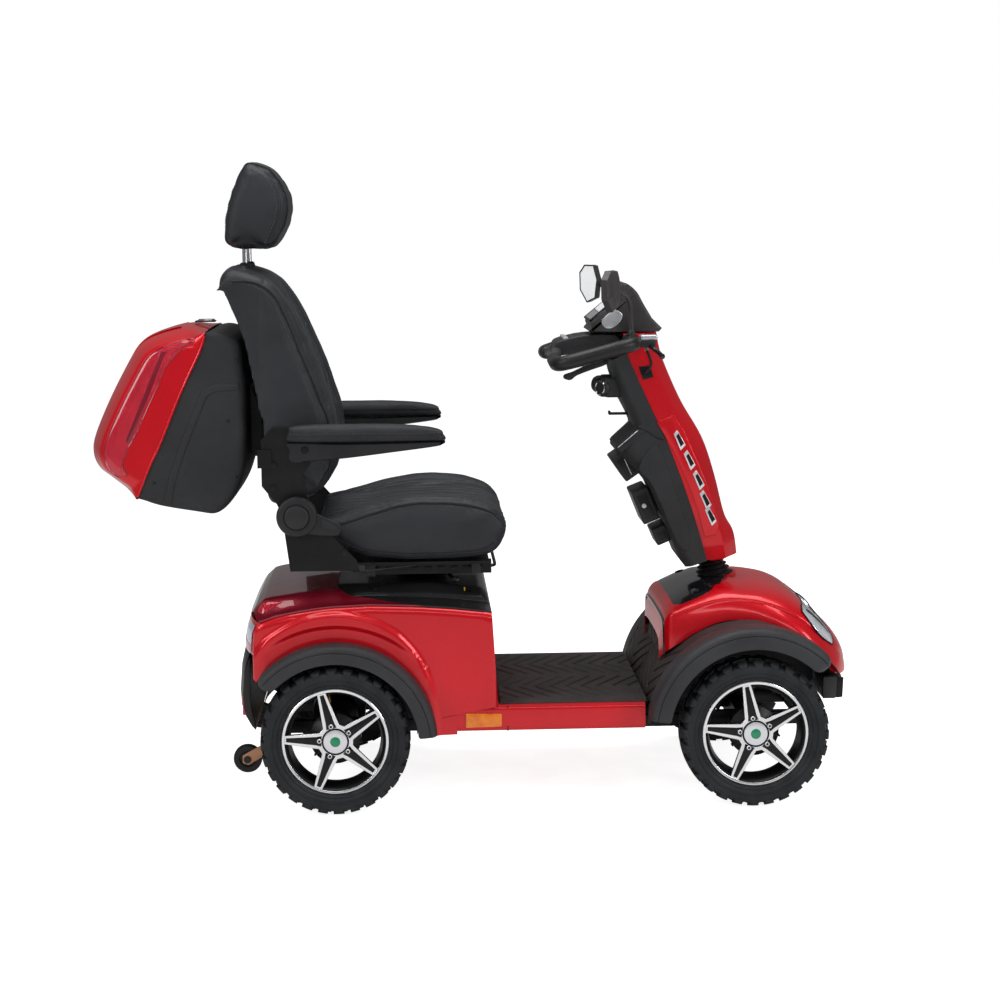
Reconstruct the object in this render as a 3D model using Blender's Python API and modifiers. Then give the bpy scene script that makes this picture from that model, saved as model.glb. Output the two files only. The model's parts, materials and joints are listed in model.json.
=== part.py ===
"""Mobility scooter: four wheels, steered tilting tiller, swivelling captain's seat and a lidded rear box.

Metres. X runs to the front, Y to the rider's left, Z up from the ground. Every position in this
script is measured from the rear axle's line, and the datum empty puts that line where it belongs.
"""
import math

import bmesh
import bpy
from mathutils import Matrix, Vector

# Driving dimensions
REAR_AXLE_X = -0.3115
WHEELBASE = 0.924
AXLE_Z = 0.165
TYRE_RADIUS = 0.165
TYRE_HALF_WIDTH = 0.0475
TRACK_Y = 0.2875
BEAD_RADIUS = 0.112
RIM_LIP_RADIUS = 0.118
SPOKES = 5
WHEEL_STEPS = 24
GAP = 0.0004
WELD = 1e-6

FRAME_RAIL_Y = 0.120
FRAME_RAIL_Z = (0.105, 0.140)
KINGPIN_Y = 0.222
STEER_ARM = 0.070
ANTI_TIP_AXLE = (-0.200, 0.206, 0.102)
ANTI_TIP_RADIUS = 0.032

BODY_HALF_WIDTH = 0.284
SHELL_WALL = 0.004
HOOD_HALF_WIDTH = 0.1985
REAR_ARCH_CENTRE = (0.0, 0.155)
REAR_ARCH = (0.185, 0.222)
FRONT_ARCH_CENTRE = (WHEELBASE, AXLE_Z)
FRONT_ARCH = (0.190, 0.236)
FENDER_OUTER_Y = 0.335
FENDER_WALL = 0.006

SEAT_POST_X = 0.197
SEAT_HALF_WIDTH = 0.240
BACK_HALF_WIDTH = 0.235
RECLINE_PIVOT = (-0.076, 0.655)
ARM_PIVOT = (-0.054, 0.805)
ARM_Y = 0.284
HEADREST_POST_X = -0.190
HEADREST_POST_Y = 0.060

TILT_PIVOT = (0.872, 0.483)
COLUMN_LEAN = 0.204
TILLER_HALF_WIDTH = 0.094
BAR = (0.668, 1.020)
BAR_RADIUS = 0.0145
MIRROR_Y = 0.150
HORN_BUTTON = (0.612, 0.030)

BOX_HALF_WIDTH = 0.205
LID_HINGE = (-0.436, 0.684)

COLOURS = {
    "red_paint": ((0.62, 0.005, 0.012), 0.25, 0.3),
    "dark_red_paint": ((0.22, 0.003, 0.010), 0.2, 0.3),
    "black_plastic": ((0.020, 0.020, 0.022), 0.5, 0.0),
    "grey_plastic": ((0.060, 0.055, 0.055), 0.5, 0.0),
    "rubber": ((0.018, 0.019, 0.021), 0.8, 0.0),
    "leather": ((0.022, 0.024, 0.028), 0.55, 0.0),
    "black_steel": ((0.012, 0.012, 0.012), 0.4, 0.6),
    "bronze_paint": ((0.42, 0.20, 0.10), 0.4, 0.4),
    "chrome": ((0.85, 0.85, 0.86), 0.12, 1.0),
    "alloy": ((0.50, 0.51, 0.53), 0.3, 0.9),
    "clear_lens": ((0.85, 0.87, 0.90), 0.1, 0.0),
    "red_lens": ((0.55, 0.01, 0.01), 0.15, 0.0),
}


def clear_scene():
    for obj in list(bpy.data.objects):
        bpy.data.objects.remove(obj, do_unlink=True)


def new_collection(name, rendered=True):
    made = bpy.data.collections.new(name)
    made.hide_render = not rendered
    bpy.context.scene.collection.children.link(made)
    return made


def material(slot):
    found = bpy.data.materials.get(slot)
    if found:
        return found
    colour, roughness, metallic = COLOURS[slot]
    found = bpy.data.materials.new(slot)
    found.use_nodes = True
    shader = found.node_tree.nodes["Principled BSDF"]
    shader.inputs["Base Color"].default_value = (*colour, 1.0)
    shader.inputs["Roughness"].default_value = roughness
    shader.inputs["Metallic"].default_value = metallic
    return found


# Making and joining shapes


def add_object(name, data):
    obj = bpy.data.objects.new(name, data)
    PARTS.objects.link(obj)
    return obj


def from_bmesh(name, shape):
    bmesh.ops.recalc_face_normals(shape, faces=shape.faces)
    mesh = bpy.data.meshes.new(name)
    shape.to_mesh(mesh)
    shape.free()
    return add_object(name, mesh)


def bake(obj):
    """The object as its curve or its modifiers make it, as one plain mesh with its seams welded."""
    bpy.context.view_layer.update()
    graph = bpy.context.evaluated_depsgraph_get()
    mesh = bpy.data.meshes.new_from_object(obj.evaluated_get(graph))
    mesh.transform(obj.matrix_world)
    name = obj.name
    bpy.data.objects.remove(obj, do_unlink=True)
    shape = bmesh.new()
    shape.from_mesh(mesh)
    bmesh.ops.remove_doubles(shape, verts=shape.verts, dist=WELD)
    return from_bmesh(name, shape)


def combine(target, others, operation="UNION"):
    for other in others:
        modifier = target.modifiers.new(operation.lower(), "BOOLEAN")
        modifier.operation = operation
        modifier.object = other
    made = bake(target)
    for other in others:
        bpy.data.objects.remove(other, do_unlink=True)
    return made


def cut(target, cutters):
    return combine(target, cutters, "DIFFERENCE")


def rounded(obj, width, segments=1, angle=40):
    modifier = obj.modifiers.new("rounded", "BEVEL")
    modifier.width = width
    modifier.segments = segments
    modifier.limit_method = "ANGLE"
    modifier.angle_limit = math.radians(angle)
    return bake(obj)


def box(name, low, high, bevel=0.0):
    low, high = Vector(low), Vector(high)
    shape = bmesh.new()
    bmesh.ops.create_cube(shape, size=1.0)
    bmesh.ops.scale(shape, vec=high - low, verts=shape.verts)
    bmesh.ops.translate(shape, vec=(low + high) / 2, verts=shape.verts)
    made = from_bmesh(name, shape)
    return rounded(made, bevel) if bevel else made


def rod(name, start, end, radius, end_radius=None, sides=12):
    start, end = Vector(start), Vector(end)
    along = end - start
    shape = bmesh.new()
    bmesh.ops.create_cone(
        shape,
        cap_ends=True,
        segments=sides,
        radius1=radius,
        radius2=radius if end_radius is None else end_radius,
        depth=along.length,
    )
    turn = along.to_track_quat("Z", "Y").to_matrix().to_4x4()
    bmesh.ops.transform(shape, matrix=Matrix.Translation((start + end) / 2) @ turn, verts=shape.verts)
    return from_bmesh(name, shape)


def ball(name, centre, radii, rings=8, sides=12):
    shape = bmesh.new()
    bmesh.ops.create_uvsphere(shape, u_segments=sides, v_segments=rings, radius=1.0)
    bmesh.ops.scale(shape, vec=radii, verts=shape.verts)
    bmesh.ops.translate(shape, vec=centre, verts=shape.verts)
    return from_bmesh(name, shape)


def tube(name, points, radius, resolution=2):
    curve = bpy.data.curves.new(name, "CURVE")
    curve.dimensions = "3D"
    curve.bevel_depth = radius
    curve.bevel_resolution = resolution
    curve.use_fill_caps = True
    spline = curve.splines.new("POLY")
    spline.points.add(len(points) - 1)
    for point, place in zip(spline.points, points):
        point.co = (*place, 1.0)
    return bake(add_object(name, curve))


def smooth_path(points, steps=4):
    """A Catmull-Rom curve through the points."""
    ends = [points[0], *points, points[-1]]
    path = []
    for a, b, c, d in zip(ends, ends[1:], ends[2:], ends[3:]):
        a, b, c, d = map(Vector, (a, b, c, d))
        for step in range(steps):
            t = step / steps
            path.append(
                b + t * (c - a) / 2 + t**2 * (a - 2.5 * b + 2 * c - d / 2) + t**3 * (
                    1.5 * (b - c) + (d - a) / 2
                )
            )
    return [*path, Vector(points[-1])]


def plate(name, outline, low_y, high_y, bevel=0.0, segments=1):
    """A side-view outline of (x, z) points, filled and given its thickness along Y."""
    curve = bpy.data.curves.new(name, "CURVE")
    curve.dimensions = "2D"
    curve.fill_mode = "BOTH"
    curve.extrude = (high_y - low_y) / 2
    spline = curve.splines.new("POLY")
    spline.points.add(len(outline) - 1)
    for point, (x, z) in zip(spline.points, outline):
        point.co = (x, z, 0.0, 1.0)
    spline.use_cyclic_u = True
    flat = add_object(name, curve)
    flat.matrix_world = Matrix.Translation(
        (0, (low_y + high_y) / 2, 0)
    ) @ Matrix.Rotation(math.pi / 2, 4, "X")
    made = bake(flat)
    tidy = bmesh.new()
    tidy.from_mesh(made.data)
    bmesh.ops.dissolve_limit(tidy, angle_limit=math.radians(1), verts=tidy.verts, edges=tidy.edges)
    tidy.to_mesh(made.data)
    tidy.free()
    return rounded(made, bevel, segments) if bevel else made


def shell(name, outline, open_sides, half_width, bevel, wall=SHELL_WALL):
    """A hollow plate of that outline, with no wall along its open sides (each side's first point)."""
    made = plate(name, outline, -half_width, half_width)
    shape = bmesh.new()
    shape.from_mesh(made.data)
    bpy.data.objects.remove(made, do_unlink=True)
    middles = []
    for side in open_sides:
        a, b = outline[side], outline[(side + 1) % len(outline)]
        middles.append(Vector(((a[0] + b[0]) / 2, 0, (a[1] + b[1]) / 2)))
    opened = [f for f in shape.faces if any((f.calc_center_median() - m).length < 1e-4 for m in middles)]
    bmesh.ops.delete(shape, geom=opened, context="FACES")
    rims = [
        e
        for e in shape.edges
        if len(e.link_faces) == 2 and any(
            abs(f.normal.y) > 0.9 for f in e.link_faces
        ) and e.calc_face_angle() > 0.6
    ]
    bmesh.ops.bevel(shape, geom=rims, offset=bevel, segments=2, profile=0.5, affect="EDGES")
    made = from_bmesh(name, shape)
    modifier = made.modifiers.new("wall", "SOLIDIFY")
    modifier.thickness = wall
    modifier.offset = -1.0
    modifier.use_even_offset = True
    return bake(made)


def turned(name, profile, centre, direction=(0, 1, 0), steps=WHEEL_STEPS, closed=True):
    """A profile of (radius, height) points turned about the line through centre along direction."""
    mesh = bpy.data.meshes.new(name)
    count = len(profile)
    edges = [(i, (i + 1) % count) for i in range(count if closed else count - 1)]
    mesh.from_pydata([(r, 0.0, h) for r, h in profile], edges, [])
    made = add_object(name, mesh)
    modifier = made.modifiers.new("turned", "SCREW")
    modifier.steps = steps
    modifier.render_steps = steps
    modifier.use_merge_vertices = True
    modifier.merge_threshold = 1e-5
    made.matrix_world = Matrix.Translation(centre) @ Vector(
        direction
    ).to_track_quat("Z", "Y").to_matrix().to_4x4()
    return bake(made)


def arch_strip(name, side, centre, section, start, end, steps):
    """(radius, |y|) points swept round a wheel arch from start to end, in degrees from the front."""
    shape = bmesh.new()
    verts = [shape.verts.new((r, side * y, 0)) for r, y in section]
    face = shape.faces.new(verts)
    bmesh.ops.rotate(
        shape, cent=(0, 0, 0), matrix=Matrix.Rotation(-math.radians(start), 3, "Y"), verts=verts
    )
    bmesh.ops.spin(
        shape,
        geom=[face, *face.edges, *face.verts],
        cent=(0, 0, 0),
        axis=(0, -1, 0),
        angle=math.radians(end - start),
        steps=steps,
        use_merge=False,
    )
    bmesh.ops.translate(shape, vec=(centre[0], 0, centre[1]), verts=shape.verts)
    bmesh.ops.remove_doubles(shape, verts=shape.verts, dist=1e-6)
    return from_bmesh(name, shape)


def loft(name, sections, wall=0.0):
    """A skin over sections of equal point counts: closed at both ends, or left open and given a wall."""
    shape = bmesh.new()
    rings = [[shape.verts.new(point) for point in section] for section in sections]
    count = len(rings[0])
    around = count - 1 if wall else count
    for a, b in zip(rings, rings[1:]):
        for i in range(around):
            shape.faces.new((a[i], a[(i + 1) % count], b[(i + 1) % count], b[i]))
    if not wall:
        shape.faces.new(rings[0])
        shape.faces.new(rings[-1])
    made = from_bmesh(name, shape)
    if not wall:
        return made
    modifier = made.modifiers.new("wall", "SOLIDIFY")
    modifier.thickness = wall
    modifier.offset = -1.0
    modifier.use_even_offset = True
    return bake(made)


def finish(obj, name, slot, pivot=None):
    """Names a part, gives it its material and, on a moving part, puts its origin on its joint."""
    obj.name = name
    obj.data.name = name
    obj.data.materials.clear()
    obj.data.materials.append(material(slot))
    at = Vector(pivot or (0, 0, 0))
    obj.data.transform(Matrix.Translation(-at))
    obj.location = at
    obj.parent = DATUM
    return obj


def sides():
    yield "right", -1
    yield "left", 1


# Wheels and chassis


def wheel(end, side_name, side, x):
    centre = Vector((x, side * TRACK_Y, AXLE_Z))
    out = (0, side, 0)
    half = TYRE_HALF_WIDTH
    right = [
        (BEAD_RADIUS, 0.030),
        (RIM_LIP_RADIUS + 0.0006, 0.030),
        (0.124, 0.0445),
        (0.141, half),
        (0.157, 0.042),
        (TYRE_RADIUS, 0.028),
    ]
    profile = right + [(r, -h) for r, h in reversed(right)]
    finish(turned("tyre", profile, centre, out), f"{end}_{side_name}_tyre", "rubber", centre)
    barrel = [
        (0.104, 0.0355),
        (RIM_LIP_RADIUS, 0.0355),
        (RIM_LIP_RADIUS, 0.0303),
        (BEAD_RADIUS - GAP, 0.0303),
        (BEAD_RADIUS - GAP, -0.0303),
        (RIM_LIP_RADIUS, -0.0303),
        (RIM_LIP_RADIUS, -0.0355),
        (0.104, -0.0355),
    ]
    rim = turned("rim", barrel, centre, out)
    pieces = [
        rod(
            "hub",
            centre + Vector((0, -side * 0.018, 0)),
            centre + Vector((0, side * 0.0365, 0)),
            0.031,
            sides=20,
        )
    ]
    for number in range(SPOKES):
        spoke = box("spoke", (0.018, 0.020, -0.010), (0.106, 0.033, 0.010))
        angle = math.radians(105 + 360 * number / SPOKES)
        spoke.data.transform(Matrix.Rotation(-angle, 4, "Y"))
        if side < 0:
            spoke.data.transform(Matrix.Rotation(math.pi, 4, "X"))
        spoke.data.transform(Matrix.Translation(centre))
        pieces.append(spoke)
    finish(combine(rim, pieces), f"{end}_{side_name}_rim", "alloy", centre)


def anti_tip_wheel(side_name, side):
    x, y, z = ANTI_TIP_AXLE
    profile = [
        (0.006, -0.008), (0.027, -0.009), (ANTI_TIP_RADIUS, -0.005), (ANTI_TIP_RADIUS, 0.005),
        (0.027, 0.009), (0.006, 0.008),
    ]
    centre = (x, side * y, z)
    finish(
        turned("wheel", profile, centre, (0, side, 0), steps=20),
        f"anti_tip_wheel_{side_name}",
        "rubber",
        centre,
    )


def column_point(z):
    return Vector((TILT_PIVOT[0] + COLUMN_LEAN * (TILT_PIVOT[1] - z), 0, z))


def main_frame():
    low, high = FRAME_RAIL_Z
    frame = box("frame", (-0.150, -0.200, low), (-0.120, 0.200, high))
    pieces = [
        box("front_beam", (WHEELBASE - 0.018, -0.200, low), (WHEELBASE + 0.018, 0.200, 0.185)),
        box("mid_beam", (0.330, -0.130, low), (0.360, 0.130, high)),
        box("nose_beam", (1.060, -0.130, low), (1.085, 0.130, 0.225)),
        box("post_beam", (0.170, -0.122, 0.395), (0.224, 0.122, 0.425)),
        rod("post_socket", (SEAT_POST_X, 0, 0.280), (SEAT_POST_X, 0, 0.425), 0.034, sides=16),
        box("head_stand", (0.885, -0.030, 0.180), (0.945, 0.030, 0.262)),
        rod("head_tube", column_point(0.245), column_point(0.415), 0.026, sides=16),
    ]
    for _, side in sides():
        y = side * FRAME_RAIL_Y
        pieces.append(box("rail", (-0.130, y - 0.015, low + 0.001), (1.070, y + 0.015, high - 0.001)))
        pieces.append(
            box(
                "post_leg",
                (0.172, side * 0.112 - 0.012, high - 0.010),
                (0.222, side * 0.112 + 0.012, 0.410),
            )
        )
        x, wheel_y, z = ANTI_TIP_AXLE
        arm = [
            (x - 0.012, z - 0.010), (x - 0.012, z + 0.010), (x + 0.060, 0.150),
            (x + 0.085, 0.150), (x + 0.085, 0.127), (x, z - 0.014),
        ]
        inner, outer = sorted((side * (wheel_y + 0.0095), side * (wheel_y + 0.0145)))
        pieces.append(plate("anti_tip_arm", arm, inner, outer))
        low_y, high_y = sorted((side * 0.195, side * (wheel_y + 0.012)))
        pieces.append(box("anti_tip_foot", (-0.148, low_y, 0.116), (-0.122, high_y, 0.138)))
        pieces.append(
            rod(
                "anti_tip_pin", (x, side * (wheel_y - 0.010), z),
                (x, side * (wheel_y + 0.016), z), 0.0055, sides=10,
            )
        )
    frame = combine(frame, pieces)
    bores = [
        rod("post_bore", (SEAT_POST_X, 0, 0.270), (SEAT_POST_X, 0, 0.440), 0.0226, sides=24),
        rod("column_bore", column_point(0.2395), column_point(0.430), 0.0145, sides=16),
    ]
    finish(cut(frame, bores), "main_frame", "bronze_paint")


def transaxle():
    axle = rod("axle", (0, -0.269, AXLE_Z), (0, 0.269, AXLE_Z), 0.020, sides=16)
    pieces = [
        rod("gear_housing", (0, -0.050, AXLE_Z), (0, 0.030, AXLE_Z), 0.062, sides=20),
        rod("motor", (0, 0.020, AXLE_Z), (0, 0.100, AXLE_Z), 0.050, sides=20),
        rod("final_drive", (0.010, -0.080, AXLE_Z), (0.010, -0.040, AXLE_Z), 0.045, sides=16),
    ]
    finish(combine(axle, pieces), "transaxle", "black_steel")


def battery_pack():
    pack = box("battery", (0.232, -0.098, 0.2270), (0.328, 0.098, 0.392), 0.004)
    finish(pack, "battery_pack", "black_plastic")


def knuckle(side_name, side):
    post = rod(
        "kingpin", (WHEELBASE, side * KINGPIN_Y, 0.118), (WHEELBASE, side * KINGPIN_Y, 0.212), 0.014
    )
    pieces = [
        rod("stub", (WHEELBASE, side * KINGPIN_Y, AXLE_Z), (WHEELBASE, side * 0.269, AXLE_Z), 0.012),
        box(
            "arm",
            (WHEELBASE - STEER_ARM - 0.010, side * KINGPIN_Y - 0.008, 0.186),
            (WHEELBASE, side * KINGPIN_Y + 0.008, 0.196),
        ),
    ]
    finish(
        combine(post, pieces),
        f"front_knuckle_{side_name}",
        "black_steel",
        (WHEELBASE, side * KINGPIN_Y, AXLE_Z),
    )


def tie_rod():
    x = WHEELBASE - STEER_ARM
    finish(
        rod("rod", (x, -0.226, 0.204), (x, 0.226, 0.204), 0.006, sides=10),
        "tie_rod",
        "black_steel",
        (x, 0, 0.204),
    )


# Body panels

DECK_ARC = [(-0.094, 0.441), (-0.007, 0.451), (0.081, 0.454), (0.190, 0.451), (0.266, 0.445)]


def rear_body():
    outline = [
        (-0.183, 0.262),
        (-0.188, 0.350),
        (-0.180, 0.412),
        (-0.155, 0.431),
        *DECK_ARC,
        (0.345, 0.436),
        (0.352, 0.352),
        (0.358, 0.232),
        (0.262, 0.230),
        (0.255, 0.166),
        (0.150, 0.166),
    ]
    last = len(outline) - 1
    body = shell("body", outline, (last, last - 1, last - 2, last - 3), BODY_HALF_WIDTH, 0.016)
    cutters = [rod("post_hole", (SEAT_POST_X, 0, 0.420), (SEAT_POST_X, 0, 0.480), 0.036, sides=16)]
    x, z = REAR_ARCH_CENTRE
    for _, side in sides():
        low, high = sorted((side * 0.235, side * 0.320))
        cutters.append(rod("arch", (x, low, z), (x, high, z), REAR_ARCH[1] + GAP, sides=36))
    finish(cut(body, cutters), "rear_body", "red_paint")


def top_panels():
    rise = 0.0006
    lid = [(-0.150, 0.4330), (-0.094, 0.441 + rise), (-0.007, 0.451 + rise), (0.004, 0.4524 + rise)]
    lid += [(0.004, 0.4865), (-0.016, 0.4865), (-0.085, 0.480), (-0.140, 0.468), (-0.156, 0.455)]
    finish(plate("lid", lid, -0.205, 0.205, 0.004), "rear_lid", "dark_red_paint")
    deck = [(0.008, 0.4528 + rise), *[(x, z + rise) for x, z in DECK_ARC[2:]], (0.338, 0.4378)]
    deck += [
        (0.342, 0.455), (0.330, 0.474), (0.250, 0.484), (0.150, 0.4865), (0.053, 0.4865), (0.008, 0.4865)
    ]
    panel = plate("deck", deck, -0.225, 0.225, 0.004)
    hole = rod("post_hole", (SEAT_POST_X, 0, 0.430), (SEAT_POST_X, 0, 0.500), 0.036, sides=16)
    finish(cut(panel, [hole]), "seat_deck", "black_plastic")


def floor():
    pan = shell(
        "pan", [(0.2635, 0.168), (0.2635, 0.2262), (0.6860, 0.2262), (0.6860, 0.168)], (3,), 0.272, 0.008
    )
    finish(pan, "floor_pan", "red_paint")
    flat = plate(
        "mat", [(0.3600, 0.2268), (0.6850, 0.2268), (0.6850, 0.2330), (0.3600, 0.2330)], -0.250, 0.250
    )
    rise = [
        (0.680, 0.2268), (0.703, 0.2280), (0.726, 0.246), (0.7430, 0.276), (0.7430, 0.300),
        (0.722, 0.262), (0.700, 0.240), (0.680, 0.2330),
    ]
    mat = combine(flat, [plate("rise", rise, -0.1975, 0.1975)])
    finish(mat, "floor_mat", "rubber")


def fender_section(arch, inner_y, swell=0.0):
    """The fender's cut across the wheel arch: a flange outside the tyre and a roof over it."""
    low, high = arch[0] - swell, arch[1] + swell
    outer, wall = FENDER_OUTER_Y + swell, FENDER_WALL + 2 * swell
    return [
        (low, outer - 0.004),
        (low + 0.018, outer),
        (high - 0.012, outer - 0.003),
        (high, outer - 0.016),
        (high, inner_y - swell),
        (high - wall, inner_y - swell),
        (high - wall, outer - 0.018),
        (high - 0.014, outer - wall - 0.003),
        (low + 0.018, outer - wall),
        (low, outer - wall - 0.002),
    ]


def fenders():
    for side_name, side in sides():
        rear = arch_strip(
            "fender",
            side,
            REAR_ARCH_CENTRE,
            fender_section(REAR_ARCH, BODY_HALF_WIDTH + 0.001),
            4,
            139,
            14,
        )
        finish(rear, f"rear_fender_{side_name}", "black_plastic")
        front = arch_strip(
            "fender",
            side,
            FRONT_ARCH_CENTRE,
            fender_section(FRONT_ARCH, HOOD_HALF_WIDTH + 0.001),
            44,
            172,
            14,
        )
        finish(front, f"front_fender_{side_name}", "black_plastic")


def headlight(side, swell=0.0):
    lamp = ball("lamp", (0, 0, 0), (0.060 + swell, 0.030 + swell, 0.022 + swell), rings=8, sides=12)
    turn = Matrix.Rotation(math.radians(-side * 62), 4, "Z") @ Matrix.Rotation(math.radians(38), 4, "Y")
    lamp.data.transform(Matrix.Translation((1.104, side * 0.165, 0.372)) @ turn)
    return lamp


def arch_points(x, half_width, top, base, count=11, square=0.42):
    """An upside-down U across the scooter at x."""
    points = []
    for step in range(count):
        angle = math.pi * step / (count - 1)
        across = math.copysign(abs(math.cos(angle)) ** square, math.cos(angle))
        points.append((x, half_width * across, base + (top - base) * math.sin(angle) ** square))
    return points


def front_hood():
    stations = [
        (0.7440, 0.170, 0.330, 0.300),
        (0.7600, 0.192, 0.372, 0.300),
        (0.7900, HOOD_HALF_WIDTH, 0.418, 0.300),
        (0.8380, HOOD_HALF_WIDTH, 0.452, 0.300),
        (0.9000, HOOD_HALF_WIDTH, 0.468, 0.300),
        (0.9600, 0.206, 0.471, 0.300),
        (1.0080, 0.232, 0.464, 0.300),
        (1.0500, 0.250, 0.442, 0.290),
        (1.0900, 0.255, 0.398, 0.280),
        (1.1270, 0.240, 0.366, 0.273),
        (1.1500, 0.218, 0.333, 0.271),
        (1.1640, 0.190, 0.298, 0.270),
    ]
    sections = [arch_points(x, w, top, base) for x, w, top, base in stations]
    hood = loft("hood", sections, SHELL_WALL)
    cutters = [rod("column_hole", column_point(0.390), column_point(0.520), 0.030, sides=16)]
    x, z = FRONT_ARCH_CENTRE
    for _, side in sides():
        low, high = sorted((side * HOOD_HALF_WIDTH, side * 0.300))
        cutters.append(rod("arch", (x, low, z), (x, high, z), 0.198, sides=28))
        section = fender_section(FRONT_ARCH, HOOD_HALF_WIDTH + 0.001, 0.0008)
        cutters.append(arch_strip("fender_room", side, FRONT_ARCH_CENTRE, section, 43.6, 172.4, 14))
        cutters.append(headlight(side, 0.0006))
    finish(cut(hood, cutters), "front_hood", "red_paint")
    for side_name, side in sides():
        finish(headlight(side), f"headlight_{side_name}", "clear_lens")


def bumpers():
    front = [(1.094, 0.215), (1.142, 0.222), (1.157, 0.262), (1.108, 0.262)]
    finish(plate("bumper", front, -0.215, 0.215, 0.006), "front_bumper", "black_plastic")
    rear = [
        (-0.1895, 0.344), (-0.203, 0.344), (-0.217, 0.305), (-0.221, 0.250), (-0.215, 0.200),
        (-0.193, 0.171), (-0.178, 0.171), (-0.1895, 0.215),
    ]
    finish(plate("bumper", rear, -0.230, 0.230, 0.004), "rear_bumper", "black_plastic")
    for side_name, side in sides():
        low, high = sorted((side * 0.150, side * 0.245))
        lamp = [(-0.1895, 0.352), (-0.204, 0.352), (-0.200, 0.395), (-0.186, 0.418), (-0.1815, 0.4125)]
        finish(plate("lamp", lamp, low, high, 0.003), f"tail_light_{side_name}", "red_lens")


# Tiller


def tiller_line(z):
    """The centre line of the tiller's mast at height z."""
    return Vector((0.855 - (z - 0.525) * 0.388, 0, z))


SEAM = [
    (0.664, 0.990), (0.716, 0.872), (0.751, 0.799), (0.785, 0.712), (0.813, 0.631),
    (0.838, 0.550), (0.848, 0.512),
]


def bar_cutter():
    return rod(
        "bar_room", (BAR[0], -0.150, BAR[1]), (BAR[0], 0.150, BAR[1]), BAR_RADIUS + 0.001, sides=16
    )


def tiller_covers():
    front = [
        (0.926, 0.523), (0.917, 0.575), (0.895, 0.617), (0.871, 0.711), (0.843, 0.793),
        (0.796, 0.874), (0.764, 0.944),
    ]
    front += [(0.747, 0.990), (0.738, 1.0355), (0.6545, 1.0355), *SEAM]
    seam_start = 9
    opened = (*range(seam_start, len(front)),)
    red = cut(shell("cover", front, opened, TILLER_HALF_WIDTH, 0.026), [bar_cutter()])
    finish(red, "tiller_front_cover", "red_paint", (TILT_PIVOT[0], 0, TILT_PIVOT[1]))
    step = 0.0006
    seam = [(x - step, z) for x, z in reversed(SEAM)]
    rear = [*seam, (0.628, 0.975), (0.634, 0.945), (0.655, 0.882), (0.673, 0.848), (0.684, 0.822)]
    rear += [
        (0.641, 0.783), (0.640, 0.768), (0.694, 0.713), (0.717, 0.685), (0.739, 0.632),
        (0.758, 0.586), (0.786, 0.516), (0.800, 0.496),
    ]
    opened = (*range(len(seam) - 1), len(rear) - 1)
    black = shell("cover", rear, opened, TILLER_HALF_WIDTH - 0.002, 0.014, 0.003)
    pocket = plate(
        "pocket_room",
        [(0.652, 0.775), (0.636, 0.800), (0.688, 0.840), (0.715, 0.790), (0.700, 0.735)],
        -0.070,
        0.070,
    )
    finish(cut(black, [pocket]), "tiller_rear_cover", "black_plastic", (TILT_PIVOT[0], 0, TILT_PIVOT[1]))


def dash_cowl():
    outline = [
        (0.738, 1.0374), (0.703, 1.100), (0.669, 1.144), (0.655, 1.146), (0.632, 1.100),
        (0.606, 1.083), (0.583, 1.060), (0.592, 1.0374),
    ]
    cowl = shell("cowl", outline, (len(outline) - 1,), 0.088, 0.014, 0.003)
    finish(cowl, "dash_cowl", "grey_plastic", (TILT_PIVOT[0], 0, TILT_PIVOT[1]))


def handlebar():
    mast = rod("mast", tiller_line(0.516), (BAR[0], 0, BAR[1]), 0.014)
    pieces = [rod("cross_bar", (BAR[0], -0.190, BAR[1]), (BAR[0], 0.190, BAR[1]), BAR_RADIUS, sides=12)]
    for _, side in sides():
        route = [
            (BAR[0], side * 0.180, BAR[1]),
            (0.664, side * 0.222, 1.0185),
            (0.630, side * 0.238, 1.010),
            (0.540, side * 0.238, 0.987),
            (0.506, side * 0.225, 0.978),
            (0.497, side * 0.190, 0.977),
            (0.497, side * 0.110, 0.981),
            (0.510, side * 0.040, 0.996),
        ]
        pieces.append(tube("loop", smooth_path(route, 3), BAR_RADIUS - 0.0002, 1))
    console = [
        (0.500, 0.984), (0.508, 1.016), (0.575, 1.0310), (0.640, 1.0310), (0.652, 1.006),
        (0.600, 0.998), (0.542, 0.988),
    ]
    pieces.append(plate("console", console, -0.055, 0.055, 0.004))
    pieces.append(
        plate("neck", [(0.630, 1.008), (0.630, 1.028), (0.666, 1.031), (0.666, 1.009)], -0.040, 0.040)
    )
    pieces.append(box("lever_clamp", (0.650, -0.137, 1.004), (0.692, -0.117, 1.0335)))
    recess = rod(
        "button_room",
        (HORN_BUTTON[0], HORN_BUTTON[1], 1.0270),
        (HORN_BUTTON[0], HORN_BUTTON[1], 1.0400),
        0.0090,
    )
    frame = cut(combine(mast, pieces), [recess])
    finish(frame, "handlebar_frame", "black_steel", (TILT_PIVOT[0], 0, TILT_PIVOT[1]))


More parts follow.
